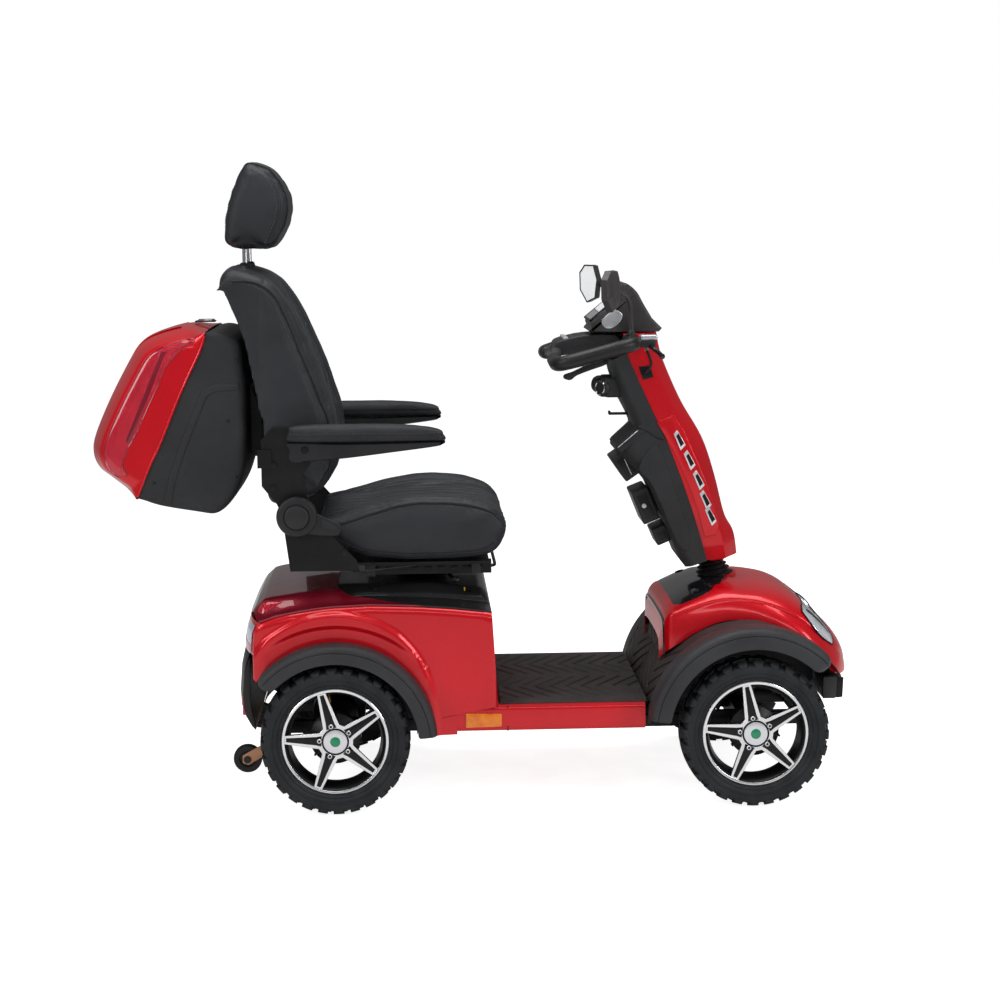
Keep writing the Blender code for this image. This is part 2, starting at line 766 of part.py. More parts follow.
def hand_controls():
    pivot = (0.606, -0.195, 0.980)
    outline = [
        (0.614, 0.984), (0.602, 0.989), (0.534, 0.962), (0.514, 0.957), (0.512, 0.944),
        (0.528, 0.940), (0.542, 0.951), (0.606, 0.973),
    ]
    lever = plate("lever", outline, -0.201, -0.189, 0.002)
    finish(lever, "throttle_lever", "black_plastic", pivot)
    pivot = (0.703, -0.118, 1.012)
    lever = rod("lever", pivot, (0.727, -0.215, 0.992), 0.005, sides=8)
    lever = combine(
        lever,
        [
            ball("end", (0.728, -0.220, 0.991), (0.008, 0.008, 0.008), 6, 10),
            box("boss", (0.695, -0.127, 1.002), (0.715, -0.109, 1.020), 0.003),
        ],
    )
    finish(lever, "brake_lever", "black_steel", pivot)
    top = 1.0310
    knob = rod("knob", (0.590, -0.030, top + GAP), (0.590, -0.030, top + 0.0050), 0.013, 0.011, 16)
    finish(knob, "speed_knob", "black_plastic", (0.590, -0.030, top))
    x, y = HORN_BUTTON
    button = rod("button", (x, y, top - 0.0010), (x, y, top + 0.0050), 0.008, 0.007, 12)
    finish(button, "horn_button", "black_plastic", (x, y, top))
    route = [
        (0.704, -0.104, 1.000), (0.712, -0.110, 0.985), (0.716, -0.112, 0.965),
        (0.706, -0.104, 0.948), (0.698, -0.098, 0.938),
    ]
    finish(tube("hose", smooth_path(route, 3), 0.0032), "brake_hose", "rubber")


def mirrors():
    for side_name, side in sides():
        y = side * MIRROR_Y
        route = [
            (BAR[0], y, BAR[1] + 0.0150), (0.667, y, 1.060), (0.664, side * 0.156, 1.095),
            (0.655, side * 0.180, 1.122), (0.640, side * 0.215, 1.134),
            (0.616, side * 0.250, 1.136),
        ]
        stem = tube("stem", smooth_path(route, 2), 0.0055, 1)
        outline = [
            (-0.034, -0.012), (-0.030, 0.030), (-0.006, 0.046), (0.034, 0.040), (0.046, 0.004),
            (0.030, -0.040), (-0.008, -0.046),
        ]
        housing = plate("housing", outline, -0.011, 0.011, 0.005)
        turn = Matrix.Rotation(math.radians(-side * 62), 4, "Z") @ Matrix.Rotation(
            math.radians(-8), 4, "Y"
        )
        housing.data.transform(Matrix.Translation((0.612, side * 0.262, 1.136)) @ turn)
        finish(combine(housing, [stem]), f"mirror_{side_name}", "grey_plastic", (BAR[0], y, BAR[1]))


def steering_column():
    column = rod("column", column_point(0.2405), column_point(TILT_PIVOT[1]), 0.0135, sides=12)
    eye = rod(
        "eye", (TILT_PIVOT[0], -0.0150, TILT_PIVOT[1]), (TILT_PIVOT[0], 0.0150, TILT_PIVOT[1]), 0.0140
    )
    finish(combine(column, [eye]), "steering_column", "black_steel", column_point(TILT_PIVOT[1]))


def bellows():
    folds = [
        (0.0400, 0.000), (0.0420, 0.004), (0.0350, 0.008), (0.0385, 0.013), (0.0310, 0.017),
        (0.0345, 0.022),
    ]
    folds += [
        (0.0270, 0.026), (0.0305, 0.031), (0.0235, 0.035), (0.0265, 0.040), (0.0225, 0.044),
        (0.0200, 0.044), (0.0225, 0.000),
    ]
    up = (column_point(1.0) - column_point(0.0)).normalized()
    finish(
        turned("bellows", folds, column_point(0.4655), up, 20),
        "tiller_bellows",
        "rubber",
        column_point(TILT_PIVOT[1]),
    )


# Seat and rear box


def seat_base():
    post = rod("post", (SEAT_POST_X, 0, 0.290), (SEAT_POST_X, 0, 0.4990), 0.0220, sides=24)
    top = box("plate", (SEAT_POST_X - 0.085, -0.095, 0.4985), (SEAT_POST_X + 0.085, 0.095, 0.5050))
    finish(combine(post, [top]), "seat_post", "black_steel", (SEAT_POST_X, 0, 0.499))
    lever = rod("lever", (0.252, -0.060, 0.4940), (0.268, -0.175, 0.4940), 0.0040, sides=8)
    lever = combine(lever, [ball("end", (0.269, -0.180, 0.4945), (0.010, 0.010, 0.0062), 6, 10)])
    finish(lever, "swivel_lever", "black_steel", (0.252, -0.060, 0.494))


def seat_frame():
    frame = box("pan", (0.000, -0.200, 0.5340), (0.345, 0.200, 0.5400))
    pieces = [box("recline_bar", (0.010, -0.262, 0.5345), (0.045, 0.262, 0.5405))]
    bracket = [
        (0.058, 0.533), (0.052, 0.556), (0.000, 0.610), (-0.040, 0.655), (-0.048, 0.683),
        (-0.076, 0.692), (-0.104, 0.683),
    ]
    bracket += [(-0.113, 0.655), (-0.104, 0.620), (-0.093, 0.533)]
    for _, side in sides():
        low, high = sorted((side * 0.138, side * 0.162))
        pieces.append(box("rail", (0.068, low, 0.5062), (0.351, high, 0.5350)))
        low, high = sorted((side * 0.2555, side * 0.2620))
        pieces.append(plate("bracket", bracket, low, high))
    finish(combine(frame, pieces), "seat_frame", "black_steel", (SEAT_POST_X, 0, 0.52))
    lever = box("bar", (0.330, -0.130, 0.5130), (0.366, 0.130, 0.5210), 0.003)
    finish(lever, "slide_lever", "black_steel", (0.332, 0, 0.517))


def seat_cushion():
    outline = [
        (-0.006, 0.590), (0.060, 0.556), (0.147, 0.5455), (0.257, 0.5455), (0.334, 0.552),
        (0.366, 0.568), (0.384, 0.600), (0.387, 0.625),
    ]
    outline += [
        (0.375, 0.652), (0.345, 0.676), (0.268, 0.695), (0.208, 0.698), (0.148, 0.692),
        (0.076, 0.674), (0.016, 0.656), (-0.030, 0.645), (-0.034, 0.620),
    ]
    finish(plate("cushion", outline, -SEAT_HALF_WIDTH, SEAT_HALF_WIDTH, 0.018), "seat_cushion", "leather")


def post_rods(radius, low, high):
    return [
        rod(
            "post_room",
            (HEADREST_POST_X, side * HEADREST_POST_Y, low),
            (HEADREST_POST_X, side * HEADREST_POST_Y, high),
            radius,
        )
        for _, side in sides()
    ]


def backrest():
    pivot = (RECLINE_PIVOT[0], 0, RECLINE_PIVOT[1])
    outline = [
        (-0.120, 0.670), (-0.147, 0.700), (-0.151, 0.845), (-0.161, 0.882), (-0.174, 0.953),
        (-0.194, 1.047), (-0.236, 1.156),
    ]
    outline += [
        (-0.240, 1.171), (-0.230, 1.190), (-0.209, 1.199), (-0.170, 1.191), (-0.120, 1.166),
        (-0.079, 1.107), (-0.035, 1.013),
    ]
    outline += [
        (-0.001, 0.918), (0.018, 0.866), (0.021, 0.774), (0.008, 0.739), (-0.015, 0.706),
        (-0.040, 0.689), (-0.075, 0.674),
    ]
    cushion = plate("cushion", outline, -BACK_HALF_WIDTH, BACK_HALF_WIDTH, 0.018)
    finish(cut(cushion, post_rods(0.0075, 1.085, 1.230)), "backrest_cushion", "leather", pivot)

    strut = [
        (-0.100, 0.636), (-0.052, 0.632), (-0.048, 0.672), (-0.062, 0.745), (-0.034, 0.790),
        (-0.034, 0.824), (-0.070, 0.846),
    ]
    strut += [(-0.130, 0.846), (-0.152, 0.820), (-0.152, 0.720), (-0.120, 0.680)]
    frame = box("back_bar", (-0.1600, -0.250, 0.760), (-0.1520, 0.250, 0.800))
    pieces = [
        plate(
            "box_bracket",
            [(-0.1820, 0.775), (-0.1560, 0.765), (-0.1560, 0.840), (-0.1700, 0.900), (-0.1820, 0.930)],
            -0.110,
            0.110,
        )
    ]
    for _, side in sides():
        low, high = sorted((side * 0.2400, side * 0.2480))
        pieces.append(plate("strut", strut, low, high))
        low, high = sorted((side * 0.2410, side * 0.2520))
        pieces.append(box("corner", (-0.1600, low, 0.760), (-0.1300, high, 0.800)))
        pieces.append(
            rod(
                "arm_pin",
                (ARM_PIVOT[0], side * 0.245, ARM_PIVOT[1]),
                (ARM_PIVOT[0], side * 0.2612, ARM_PIVOT[1]),
                0.014,
            )
        )
    finish(combine(frame, pieces), "backrest_frame", "black_steel", pivot)

    x, z = RECLINE_PIVOT
    knob = rod("knob", (x, -0.2625, z), (x, -0.2860, z), 0.044, 0.040, 24)
    arm = plate(
        "arm",
        [(x, z + 0.026), (0.006, 0.643), (0.020, 0.634), (0.018, 0.620), (0.002, 0.612), (x, z - 0.030)],
        -0.2780,
        -0.2640,
        0.003,
    )
    finish(combine(knob, [arm]), "recline_lever", "black_plastic", (x, -0.275, z))


def headrest():
    pivot = (HEADREST_POST_X, 0, 1.2)
    outline = [
        (-0.173, 1.427), (-0.150, 1.423), (-0.126, 1.408), (-0.104, 1.385), (-0.089, 1.354),
        (-0.085, 1.320), (-0.091, 1.289), (-0.105, 1.258),
    ]
    outline += [
        (-0.119, 1.238), (-0.137, 1.228), (-0.205, 1.230), (-0.227, 1.242), (-0.233, 1.261),
        (-0.230, 1.299), (-0.217, 1.350), (-0.200, 1.395), (-0.186, 1.417),
    ]
    pad = plate("pad", outline, -0.125, 0.125, 0.018)
    x, y = HEADREST_POST_X, HEADREST_POST_Y
    loop = [
        (x, -y, 1.115), (x, -y, 1.262), (x, -y + 0.012, 1.274), (x, y - 0.012, 1.274),
        (x, y, 1.262), (x, y, 1.115),
    ]
    room = [(px, py, 1.10 if pz < 1.2 else pz) for px, py, pz in loop]
    finish(cut(pad, [tube("room", room, 0.0066, 1)]), "headrest", "leather", pivot)
    finish(tube("posts", loop, 0.0060, 1), "headrest_posts", "chrome", pivot)


def armrests():
    outline = [
        (-0.087, 0.846), (-0.080, 0.855), (0.152, 0.855), (0.217, 0.849), (0.243, 0.841),
        (0.245, 0.820), (0.229, 0.807), (0.032, 0.784), (-0.050, 0.778), (-0.089, 0.772),
    ]
    for side_name, side in sides():
        low, high = sorted((side * (ARM_Y - 0.0222), side * (ARM_Y + 0.0222)))
        finish(
            plate("arm", outline, low, high, 0.005),
            f"armrest_{side_name}",
            "black_plastic",
            (ARM_PIVOT[0], side * ARM_Y, ARM_PIVOT[1]),
        )


def rear_box():
    pivot = (RECLINE_PIVOT[0], 0, RECLINE_PIVOT[1])
    body = [
        (-0.428, 0.690), (-0.379, 0.671), (-0.291, 0.655), (-0.259, 0.651), (-0.236, 0.662),
        (-0.218, 0.684), (-0.200, 0.713),
    ]
    body += [
        (-0.186, 0.761), (-0.1835, 0.800), (-0.1830, 0.938), (-0.194, 1.034), (-0.225, 1.052),
        (-0.248, 1.0565), (-0.269, 1.052),
    ]
    body += [(-0.281, 1.015), (-0.327, 0.920), (-0.374, 0.810), (-0.398, 0.762)]
    mouth = len(body)
    opened = tuple(range(mouth - 5, mouth))
    finish(
        shell("shell", body, opened, BOX_HALF_WIDTH, 0.024, 0.004), "box_shell", "black_plastic", pivot
    )
    gap = 0.0010
    lid = [(x - gap, z) for x, z in body[-5:]] + [(-0.429, 0.690)]
    lid += [
        (-0.439, 0.680), (-0.473, 0.704), (-0.505, 0.730), (-0.530, 0.752), (-0.541, 0.782),
        (-0.535, 0.822), (-0.500, 0.902),
    ]
    lid += [(-0.455, 0.986), (-0.428, 1.026), (-0.390, 1.048), (-0.326, 1.0655), (-0.285, 1.0610)]
    cover = shell("lid", lid, tuple(range(5)), BOX_HALF_WIDTH, 0.034, 0.004)
    finish(cover, "box_lid", "red_paint", (LID_HINGE[0], 0, LID_HINGE[1]))
    latch = box("latch", (-0.3100, -0.018, 1.0668), (-0.2640, 0.018, 1.0730), 0.002)
    finish(latch, "box_latch", "black_plastic", (-0.308, 0, 1.070))


def build():
    for side_name, side in sides():
        wheel("rear", side_name, side, 0.0)
        wheel("front", side_name, side, WHEELBASE)
        anti_tip_wheel(side_name, side)
        knuckle(side_name, side)
    tie_rod()
    main_frame()
    transaxle()
    battery_pack()
    rear_body()
    top_panels()
    floor()
    fenders()
    front_hood()
    bumpers()
    steering_column()
    bellows()
    tiller_covers()
    dash_cowl()
    handlebar()
    hand_controls()
    mirrors()
    seat_base()
    seat_frame()
    seat_cushion()
    backrest()
    headrest()
    armrests()
    rear_box()


clear_scene()
PARTS = new_collection("mobility_scooter")
DATUM = bpy.data.objects.new("rear_axle_line", None)
PARTS.objects.link(DATUM)
DATUM.location.x = REAR_AXLE_X
build()
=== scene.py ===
"""Mobility scooter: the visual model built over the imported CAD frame.

Distances are in metres. Shapes are laid out as (x, z) from the rear axle line, which
comes from the frame, and y from the scooter's middle plane.
"""

import json
import math

import bmesh
import bpy
import numpy as np
from mathutils import Matrix, Vector, noise
from mathutils.bvhtree import BVHTree


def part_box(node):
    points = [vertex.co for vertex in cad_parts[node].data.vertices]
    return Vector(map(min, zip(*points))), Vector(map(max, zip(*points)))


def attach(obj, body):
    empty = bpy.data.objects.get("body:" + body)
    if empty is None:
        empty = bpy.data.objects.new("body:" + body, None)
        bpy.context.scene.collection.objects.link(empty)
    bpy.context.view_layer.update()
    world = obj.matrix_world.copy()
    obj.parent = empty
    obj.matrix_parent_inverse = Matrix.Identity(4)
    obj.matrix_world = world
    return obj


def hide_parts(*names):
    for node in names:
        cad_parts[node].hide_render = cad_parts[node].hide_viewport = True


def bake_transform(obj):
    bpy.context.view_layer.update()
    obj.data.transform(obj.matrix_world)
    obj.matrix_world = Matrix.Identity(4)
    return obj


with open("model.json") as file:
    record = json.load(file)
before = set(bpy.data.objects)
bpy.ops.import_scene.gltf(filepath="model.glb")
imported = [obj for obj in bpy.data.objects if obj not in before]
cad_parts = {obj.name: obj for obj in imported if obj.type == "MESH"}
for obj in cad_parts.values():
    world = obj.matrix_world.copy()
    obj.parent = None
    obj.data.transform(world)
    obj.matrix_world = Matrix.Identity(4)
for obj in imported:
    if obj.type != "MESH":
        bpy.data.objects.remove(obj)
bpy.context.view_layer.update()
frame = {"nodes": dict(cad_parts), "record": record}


def middle(node):
    low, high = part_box(node)
    return (low + high) / 2


REAR = middle("rear_right_rim").x
AXLE = middle("rear_right_rim").z
WHEELBASE = middle("front_right_rim").x - REAR
RIGHT, LEFT = -1, 1


# Numbers


def smooth(low, high, value):
    t = min(1.0, max(0.0, (value - low) / (high - low)))
    return t * t * (3 - 2 * t)


def lookup(value, table):
    """Straight-line reading of a list of (place, reading) pairs."""
    return float(np.interp(value, [a for a, _ in table], [b for _, b in table]))


def curve_through(points, steps=6, closed=False):
    """A Catmull-Rom line through the points, as tuples."""
    pts = [np.array(p, float) for p in points]
    count = len(pts)
    spans = count if closed else count - 1
    out = []
    for i in range(spans):
        if closed:
            a, b, c, d = (pts[(i + k) % count] for k in (-1, 0, 1, 2))
        else:
            a, b, c, d = (pts[min(max(i + k, 0), count - 1)] for k in (-1, 0, 1, 2))
        for s in range(steps):
            t = s / steps
            out.append(
                b
                + t * (c - a) / 2
                + t**2 * (a - 2.5 * b + 2 * c - d / 2)
                + t**3 * (1.5 * (b - c) + (d - a) / 2)
            )
    if not closed:
        out.append(pts[-1])
    return [tuple(p) for p in out]


# Meshes


def new_mesh(name, verts, faces, mats, where=None, crease=35.0):
    mesh = bpy.data.meshes.new(name)
    mesh.from_pydata([tuple(v) for v in verts], [], faces)
    for m in mats if isinstance(mats, (list, tuple)) else [mats]:
        mesh.materials.append(m)
    if where is not None:
        mesh.polygons.foreach_set("material_index", where)
    mesh.validate()
    obj = bpy.data.objects.new(name, mesh)
    bpy.context.scene.collection.objects.link(obj)
    smooth_off(obj, crease)
    return obj


def smooth_off(obj, crease=35.0):
    obj.data.shade_smooth()
    obj.data.set_sharp_from_angle(angle=math.radians(crease))


def outward(obj):
    shape = bmesh.new()
    shape.from_mesh(obj.data)
    bmesh.ops.remove_doubles(shape, verts=shape.verts, dist=1e-6)
    bmesh.ops.recalc_face_normals(shape, faces=shape.faces)
    shape.to_mesh(obj.data)
    shape.free()
    return obj


def bake(obj):
    """Applies the modifiers."""
    graph = bpy.context.evaluated_depsgraph_get()
    graph.update()
    mesh = bpy.data.meshes.new_from_object(obj.evaluated_get(graph))
    obj.modifiers.clear()
    obj.data = mesh
    return obj


def grid(name, rows, mats, close_rows=False, close_across=False, caps=False, crease=35.0, thick=0.0):
    """A skin over rows of points."""
    count = len(rows[0])
    verts = [p for row in rows for p in row]
    faces = []
    for i in range(len(rows) if close_rows else len(rows) - 1):
        for j in range(count if close_across else count - 1):
            a = i * count + j
            b = i * count + (j + 1) % count
            c = ((i + 1) % len(rows)) * count + (j + 1) % count
            d = ((i + 1) % len(rows)) * count + j
            faces.append((a, b, c, d))
    if caps:
        faces.append(tuple(range(count)))
        last = (len(rows) - 1) * count
        faces.append(tuple(reversed(range(last, last + count))))
    obj = new_mesh(name, verts, faces, mats, crease=crease)
    outward(obj)
    if thick:
        solid = obj.modifiers.new("wall", "SOLIDIFY")
        solid.thickness = thick
        solid.offset = -1.0
        solid.use_even_offset = False
        bake(obj)
    smooth_off(obj, crease)
    return obj


def face_out(obj, way):
    """Turns an open skin so that its faces look along way."""
    total = Vector((0, 0, 0))
    for face in obj.data.polygons:
        total += face.normal * face.area
    if total.dot(Vector(way)) < 0:
        obj.data.flip_normals()
    return obj


def skin(name, rows, mat, way, thick=0.0025, crease=35.0):
    """An open panel that faces way, thickened inwards."""
    obj = face_out(grid(name, rows, mat, crease=crease), way)
    solid = obj.modifiers.new("wall", "SOLIDIFY")
    solid.thickness = thick
    solid.offset = -1.0
    bake(obj)
    smooth_off(obj, crease)
    return obj


def soften(obj, width, segments=3, angle=28.0, crease=35.0):
    bevel = obj.modifiers.new("bevel", "BEVEL")
    bevel.width = width
    bevel.segments = segments
    bevel.limit_method = "ANGLE"
    bevel.angle_limit = math.radians(angle)
    bevel.harden_normals = False
    bevel.use_clamp_overlap = True
    bake(obj)
    smooth_off(obj, crease)
    return obj


def plate(name, outline, y0, y1, mat, bevel=0.0, segments=3, crease=35.0):
    """An (x, z) outline given its thickness across the scooter."""
    lo, hi = sorted((y0, y1))
    count = len(outline)
    verts = [(REAR + x, lo, z) for x, z in outline] + [(REAR + x, hi, z) for x, z in outline]
    faces = [tuple(range(count)), tuple(reversed(range(count, 2 * count)))]
    faces += [(i, (i + 1) % count, count + (i + 1) % count, count + i) for i in range(count)]
    obj = outward(new_mesh(name, verts, faces, mat))
    if bevel:
        soften(obj, bevel, segments, crease=crease)
    return obj


def block(name, low, high, mat, bevel=0.002, segments=2, turn=None):
    """A rounded block between two corners, given from the rear axle, turned about its middle."""
    lo, hi = Vector(low), Vector(high)
    mid, half = (lo + hi) / 2, (hi - lo) / 2
    signs = [(-1, -1), (1, -1), (1, 1), (-1, 1)]
    verts = [(a * half.x, b * half.y, s * half.z) for s in (-1, 1) for a, b in signs]
    faces = [(3, 2, 1, 0), (4, 5, 6, 7)] + [(i, (i + 1) % 4, 4 + (i + 1) % 4, 4 + i) for i in range(4)]
    obj = new_mesh(name, verts, faces, mat)
    if bevel:
        soften(obj, min(bevel, 0.45 * 2 * min(half)), segments)
    spin = turn.to_4x4() if turn is not None else Matrix.Identity(4)
    obj.data.transform(Matrix.Translation(mid + Vector((REAR, 0, 0))) @ spin)
    return obj


def lathe(name, profile, centre, way, mat, steps=48, closed=False, crease=35.0):
    """(radius, height) points turned round the line through centre along way, in the row frame."""
    frame_in = Vector(way).to_track_quat("Z", "Y").to_matrix()
    rows = []
    for i in range(steps):
        a = 2 * math.pi * i / steps
        rows.append(
            [
                Vector(centre) + frame_in @ Vector((r * math.cos(a), r * math.sin(a), h))
                for r, h in profile
            ]
        )
    return grid(name, rows, mat, close_rows=True, close_across=closed, crease=crease)


def pipe(name, points, radius, mat, sides=16, steps=5, taper=None):
    """A round tube through points given from the rear axle."""
    line = [Vector(p) for p in curve_through(points, steps)] if steps else [Vector(p) for p in points]
    line = [p + Vector((REAR, 0, 0)) for p in line]
    rows = []
    side_way = None
    for i, p in enumerate(line):
        along = (line[min(i + 1, len(line) - 1)] - line[max(i - 1, 0)]).normalized()
        if side_way is None:
            side_way = along.orthogonal().normalized()
        side_way = (side_way - along * side_way.dot(along)).normalized()
        other = along.cross(side_way)
        r = radius if taper is None else radius * taper(i / (len(line) - 1))
        rows.append(
            [
                p + r * (
                    math.cos(2 * math.pi * k / sides) * side_way + math.sin(
                        2 * math.pi * k / sides
                    ) * other
                )
                for k in range(sides)
            ]
        )
    return grid(name, rows, mat, close_across=True, caps=True)


def join(name, pieces):
    """One object from several, each keeping its materials."""
    verts, faces, where, mats = [], [], [], []
    for piece in pieces:
        mesh = piece.data
        start = len(verts)
        matrix = piece.matrix_world
        verts += [matrix @ v.co for v in mesh.vertices]
        slots = []
        for m in mesh.materials:
            if m not in mats:
                mats.append(m)
            slots.append(mats.index(m))
        for poly in mesh.polygons:
            faces.append(tuple(start + v for v in poly.vertices))
            where.append(slots[poly.material_index] if slots else 0)
        bpy.data.objects.remove(piece, do_unlink=True)
    return new_mesh(name, verts, faces, mats, where)


def put(obj, body, *nodes, slot=None):
    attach(obj, body)
    if nodes:
        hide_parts(*nodes)
    return obj


def mirrored(obj, name):
    """A copy on the other side of the middle plane."""
    mesh = obj.data.copy()
    mesh.transform(Matrix.Scale(-1, 4, (0, 1, 0)))
    mesh.flip_normals()
    copy = bpy.data.objects.new(name, mesh)
    bpy.context.scene.collection.objects.link(copy)
    return copy


def dots(name, places, radius, mat, way=(0, -1, 0)):
    """Small domed heads at points in the row frame."""
    pieces = []
    for p in places:
        profile = [
            (radius, 0),
            (radius * 0.9, radius * 0.35),
            (radius * 0.5, radius * 0.6),
            (0.0001, radius * 0.66),
        ]
        pieces.append(lathe("dot", profile, p, way, mat, steps=12))
    return join(name, pieces)


# Materials


def material(
    name,
    colour,
    second,
    rough,
    spread=0.08,
    metal=0.0,
    coat=0.0,
    cloud=9.0,
    grain=900.0,
    depth=0.12,
    cells=None,
    cell_depth=0.3,
    flakes=0.0,
    sheen=0.0,
    specular=0.35,
    bump_size=0.0006,
    glow=0.0,
):
    """A procedural finish: clouded colour, worn roughness and a fine bump."""
    made = bpy.data.materials.new(name)
    made.use_nodes = True
    nodes, links = made.node_tree.nodes, made.node_tree.links
    shader = nodes["Principled BSDF"]
    shader.inputs["Metallic"].default_value = metal
    shader.inputs["Coat Weight"].default_value = coat
    shader.inputs["Coat Roughness"].default_value = 0.03
    shader.inputs["Sheen Weight"].default_value = sheen
    shader.inputs["Specular IOR Level"].default_value = specular
    place = nodes.new("ShaderNodeTexCoord").outputs["Object"]

    def noise_at(scale, detail=3.0):
        node = nodes.new("ShaderNodeTexNoise")
        node.inputs["Scale"].default_value = scale
        node.inputs["Detail"].default_value = detail
        links.new(place, node.inputs["Vector"])
        return node.outputs["Fac"]

    blend = nodes.new("ShaderNodeMix")
    blend.data_type = "RGBA"
    blend.inputs[6].default_value = (*colour, 1.0)
    blend.inputs[7].default_value = (*second, 1.0)
    ramp = nodes.new("ShaderNodeMapRange")
    ramp.inputs["From Min"].default_value = 0.35
    ramp.inputs["From Max"].default_value = 0.65
    links.new(noise_at(cloud), ramp.inputs["Value"])
    links.new(ramp.outputs["Result"], blend.inputs[0])
    tint = blend.outputs[2]
    if flakes:
        spark = nodes.new("ShaderNodeTexVoronoi")
        spark.inputs["Scale"].default_value = 1600.0
        links.new(place, spark.inputs["Vector"])
        lift = nodes.new("ShaderNodeMix")
        lift.data_type = "RGBA"
        lift.blend_type = "MULTIPLY"
        lift.inputs[0].default_value = flakes
        links.new(tint, lift.inputs[6])
        links.new(spark.outputs["Color"], lift.inputs[7])
        tint = lift.outputs[2]
    links.new(tint, shader.inputs["Base Color"])
    wear = nodes.new("ShaderNodeMapRange")
    wear.inputs["To Min"].default_value = max(0.02, rough - spread)
    wear.inputs["To Max"].default_value = rough + spread
    links.new(noise_at(cloud * 6), wear.inputs["Value"])
    links.new(wear.outputs["Result"], shader.inputs["Roughness"])
    bump = nodes.new("ShaderNodeBump")
    bump.inputs["Strength"].default_value = depth
    bump.inputs["Distance"].default_value = bump_size
    links.new(noise_at(grain, 2.0), bump.inputs["Height"])
    if cells:
        pebble = nodes.new("ShaderNodeTexVoronoi")
        pebble.feature = "DISTANCE_TO_EDGE"
        pebble.inputs["Scale"].default_value = cells
        links.new(place, pebble.inputs["Vector"])
        flat = nodes.new("ShaderNodeMapRange")
        flat.inputs["From Max"].default_value = 0.12
        links.new(pebble.outputs["Distance"], flat.inputs["Value"])
        second_bump = nodes.new("ShaderNodeBump")
        second_bump.inputs["Strength"].default_value = cell_depth
        second_bump.inputs["Distance"].default_value = bump_size
        links.new(flat.outputs["Result"], second_bump.inputs["Height"])
        links.new(bump.outputs["Normal"], second_bump.inputs["Normal"])
        links.new(second_bump.outputs["Normal"], shader.inputs["Normal"])
    else:
        links.new(bump.outputs["Normal"], shader.inputs["Normal"])
    if glow:
        links.new(tint, shader.inputs["Emission Color"])
        shader.inputs["Emission Strength"].default_value = glow
    return made


RED = material("red_paint", (0.82, 0.000, 0.011), (0.70, 0.000, 0.008), 0.32, 0.04, metal=0.30, coat=0.55,
               cloud=4.0, grain=1500.0, depth=0.04, flakes=0.22)
DARK_RED = material("dark_red_paint", (0.36, 0.012, 0.034), (0.27, 0.006, 0.022), 0.30, 0.04, metal=0.5,
                    coat=1.0, cloud=4.0, grain=1500.0, depth=0.04, flakes=0.2)
PLASTIC = material("black_plastic", (0.022, 0.022, 0.024), (0.014, 0.014, 0.016), 0.42, 0.08, grain=2200.0,
                   depth=0.35, bump_size=0.0003)
SATIN = material(
    "satin_black", (0.018, 0.018, 0.020), (0.012, 0.012, 0.013), 0.30, 0.06, coat=0.15,
    grain=1800.0, depth=0.12, bump_size=0.0003,
)
MATTE = material("matte_black", (0.028, 0.029, 0.031), (0.020, 0.021, 0.023), 0.62, 0.07, cells=1500.0,
                 cell_depth=0.35, grain=2400.0, depth=0.3, bump_size=0.0003)
GLOSSY = material("gloss_black", (0.010, 0.010, 0.012), (0.006, 0.006, 0.007), 0.12, 0.05, coat=0.6,
                  grain=700.0, depth=0.03)
SMOKE = material("grey_plastic", (0.050, 0.046, 0.046), (0.034, 0.031, 0.031), 0.36, 0.08, grain=2000.0,
                 depth=0.25, bump_size=0.0003)
FENDER = material("fender_plastic", (0.040, 0.041, 0.045), (0.028, 0.028, 0.031), 0.50, 0.07, cells=1300.0,
                  cell_depth=0.3, grain=2400.0, depth=0.3, bump_size=0.0003)
MAT = material("mat_rubber", (0.036, 0.029, 0.028), (0.022, 0.018, 0.018), 0.66, 0.08, grain=1600.0,
               depth=0.5, bump_size=0.0004, cloud=14.0)
TYRE_RUBBER = material("tyre_rubber", (0.020, 0.022, 0.026), (0.010, 0.011, 0.013), 0.62, 0.10, grain=900.0,
                       depth=0.5, bump_size=0.0005, cloud=18.0)
BOOT = material("boot_rubber", (0.014, 0.014, 0.015), (0.007, 0.007, 0.008), 0.40, 0.08, grain=1200.0,
                depth=0.2)
FOAM = material("grip_foam", (0.016, 0.016, 0.017), (0.010, 0.010, 0.011), 0.36, 0.08, cells=900.0,
                cell_depth=0.12, grain=1500.0, depth=0.25)
STEEL = material(
    "black_steel", (0.020, 0.020, 0.021), (0.011, 0.011, 0.012), 0.34, 0.1, metal=0.4,
    grain=1400.0, depth=0.2,
)
BRONZE = material(
    "bronze_paint", (0.58, 0.30, 0.17), (0.46, 0.22, 0.12), 0.42, 0.1, metal=0.3, grain=1200.0, depth=0.25
)
CHROME = material("chrome", (0.83, 0.84, 0.86), (0.72, 0.73, 0.75), 0.12, 0.06, metal=1.0, grain=1500.0,
                  depth=0.03)
ALLOY = material(
    "machined_alloy", (0.90, 0.90, 0.91), (0.78, 0.78, 0.80), 0.20, 0.06, metal=0.75,
    grain=1800.0, depth=0.06,
)
RIM_BLACK = material(
    "rim_black", (0.008, 0.008, 0.009), (0.004, 0.004, 0.005), 0.38, 0.06, coat=0.1,
    specular=0.25, grain=1000.0, depth=0.05,
)
SILVER = material(
    "silver_paint", (0.70, 0.71, 0.74), (0.55, 0.56, 0.60), 0.26, 0.06, metal=0.6, grain=1400.0,
    depth=0.08,
)
WHITE_CAP = material("cap_silver", (0.86, 0.87, 0.89), (0.76, 0.77, 0.80), 0.18, 0.05, metal=0.35, coat=0.5,
                     grain=1300.0, depth=0.04)
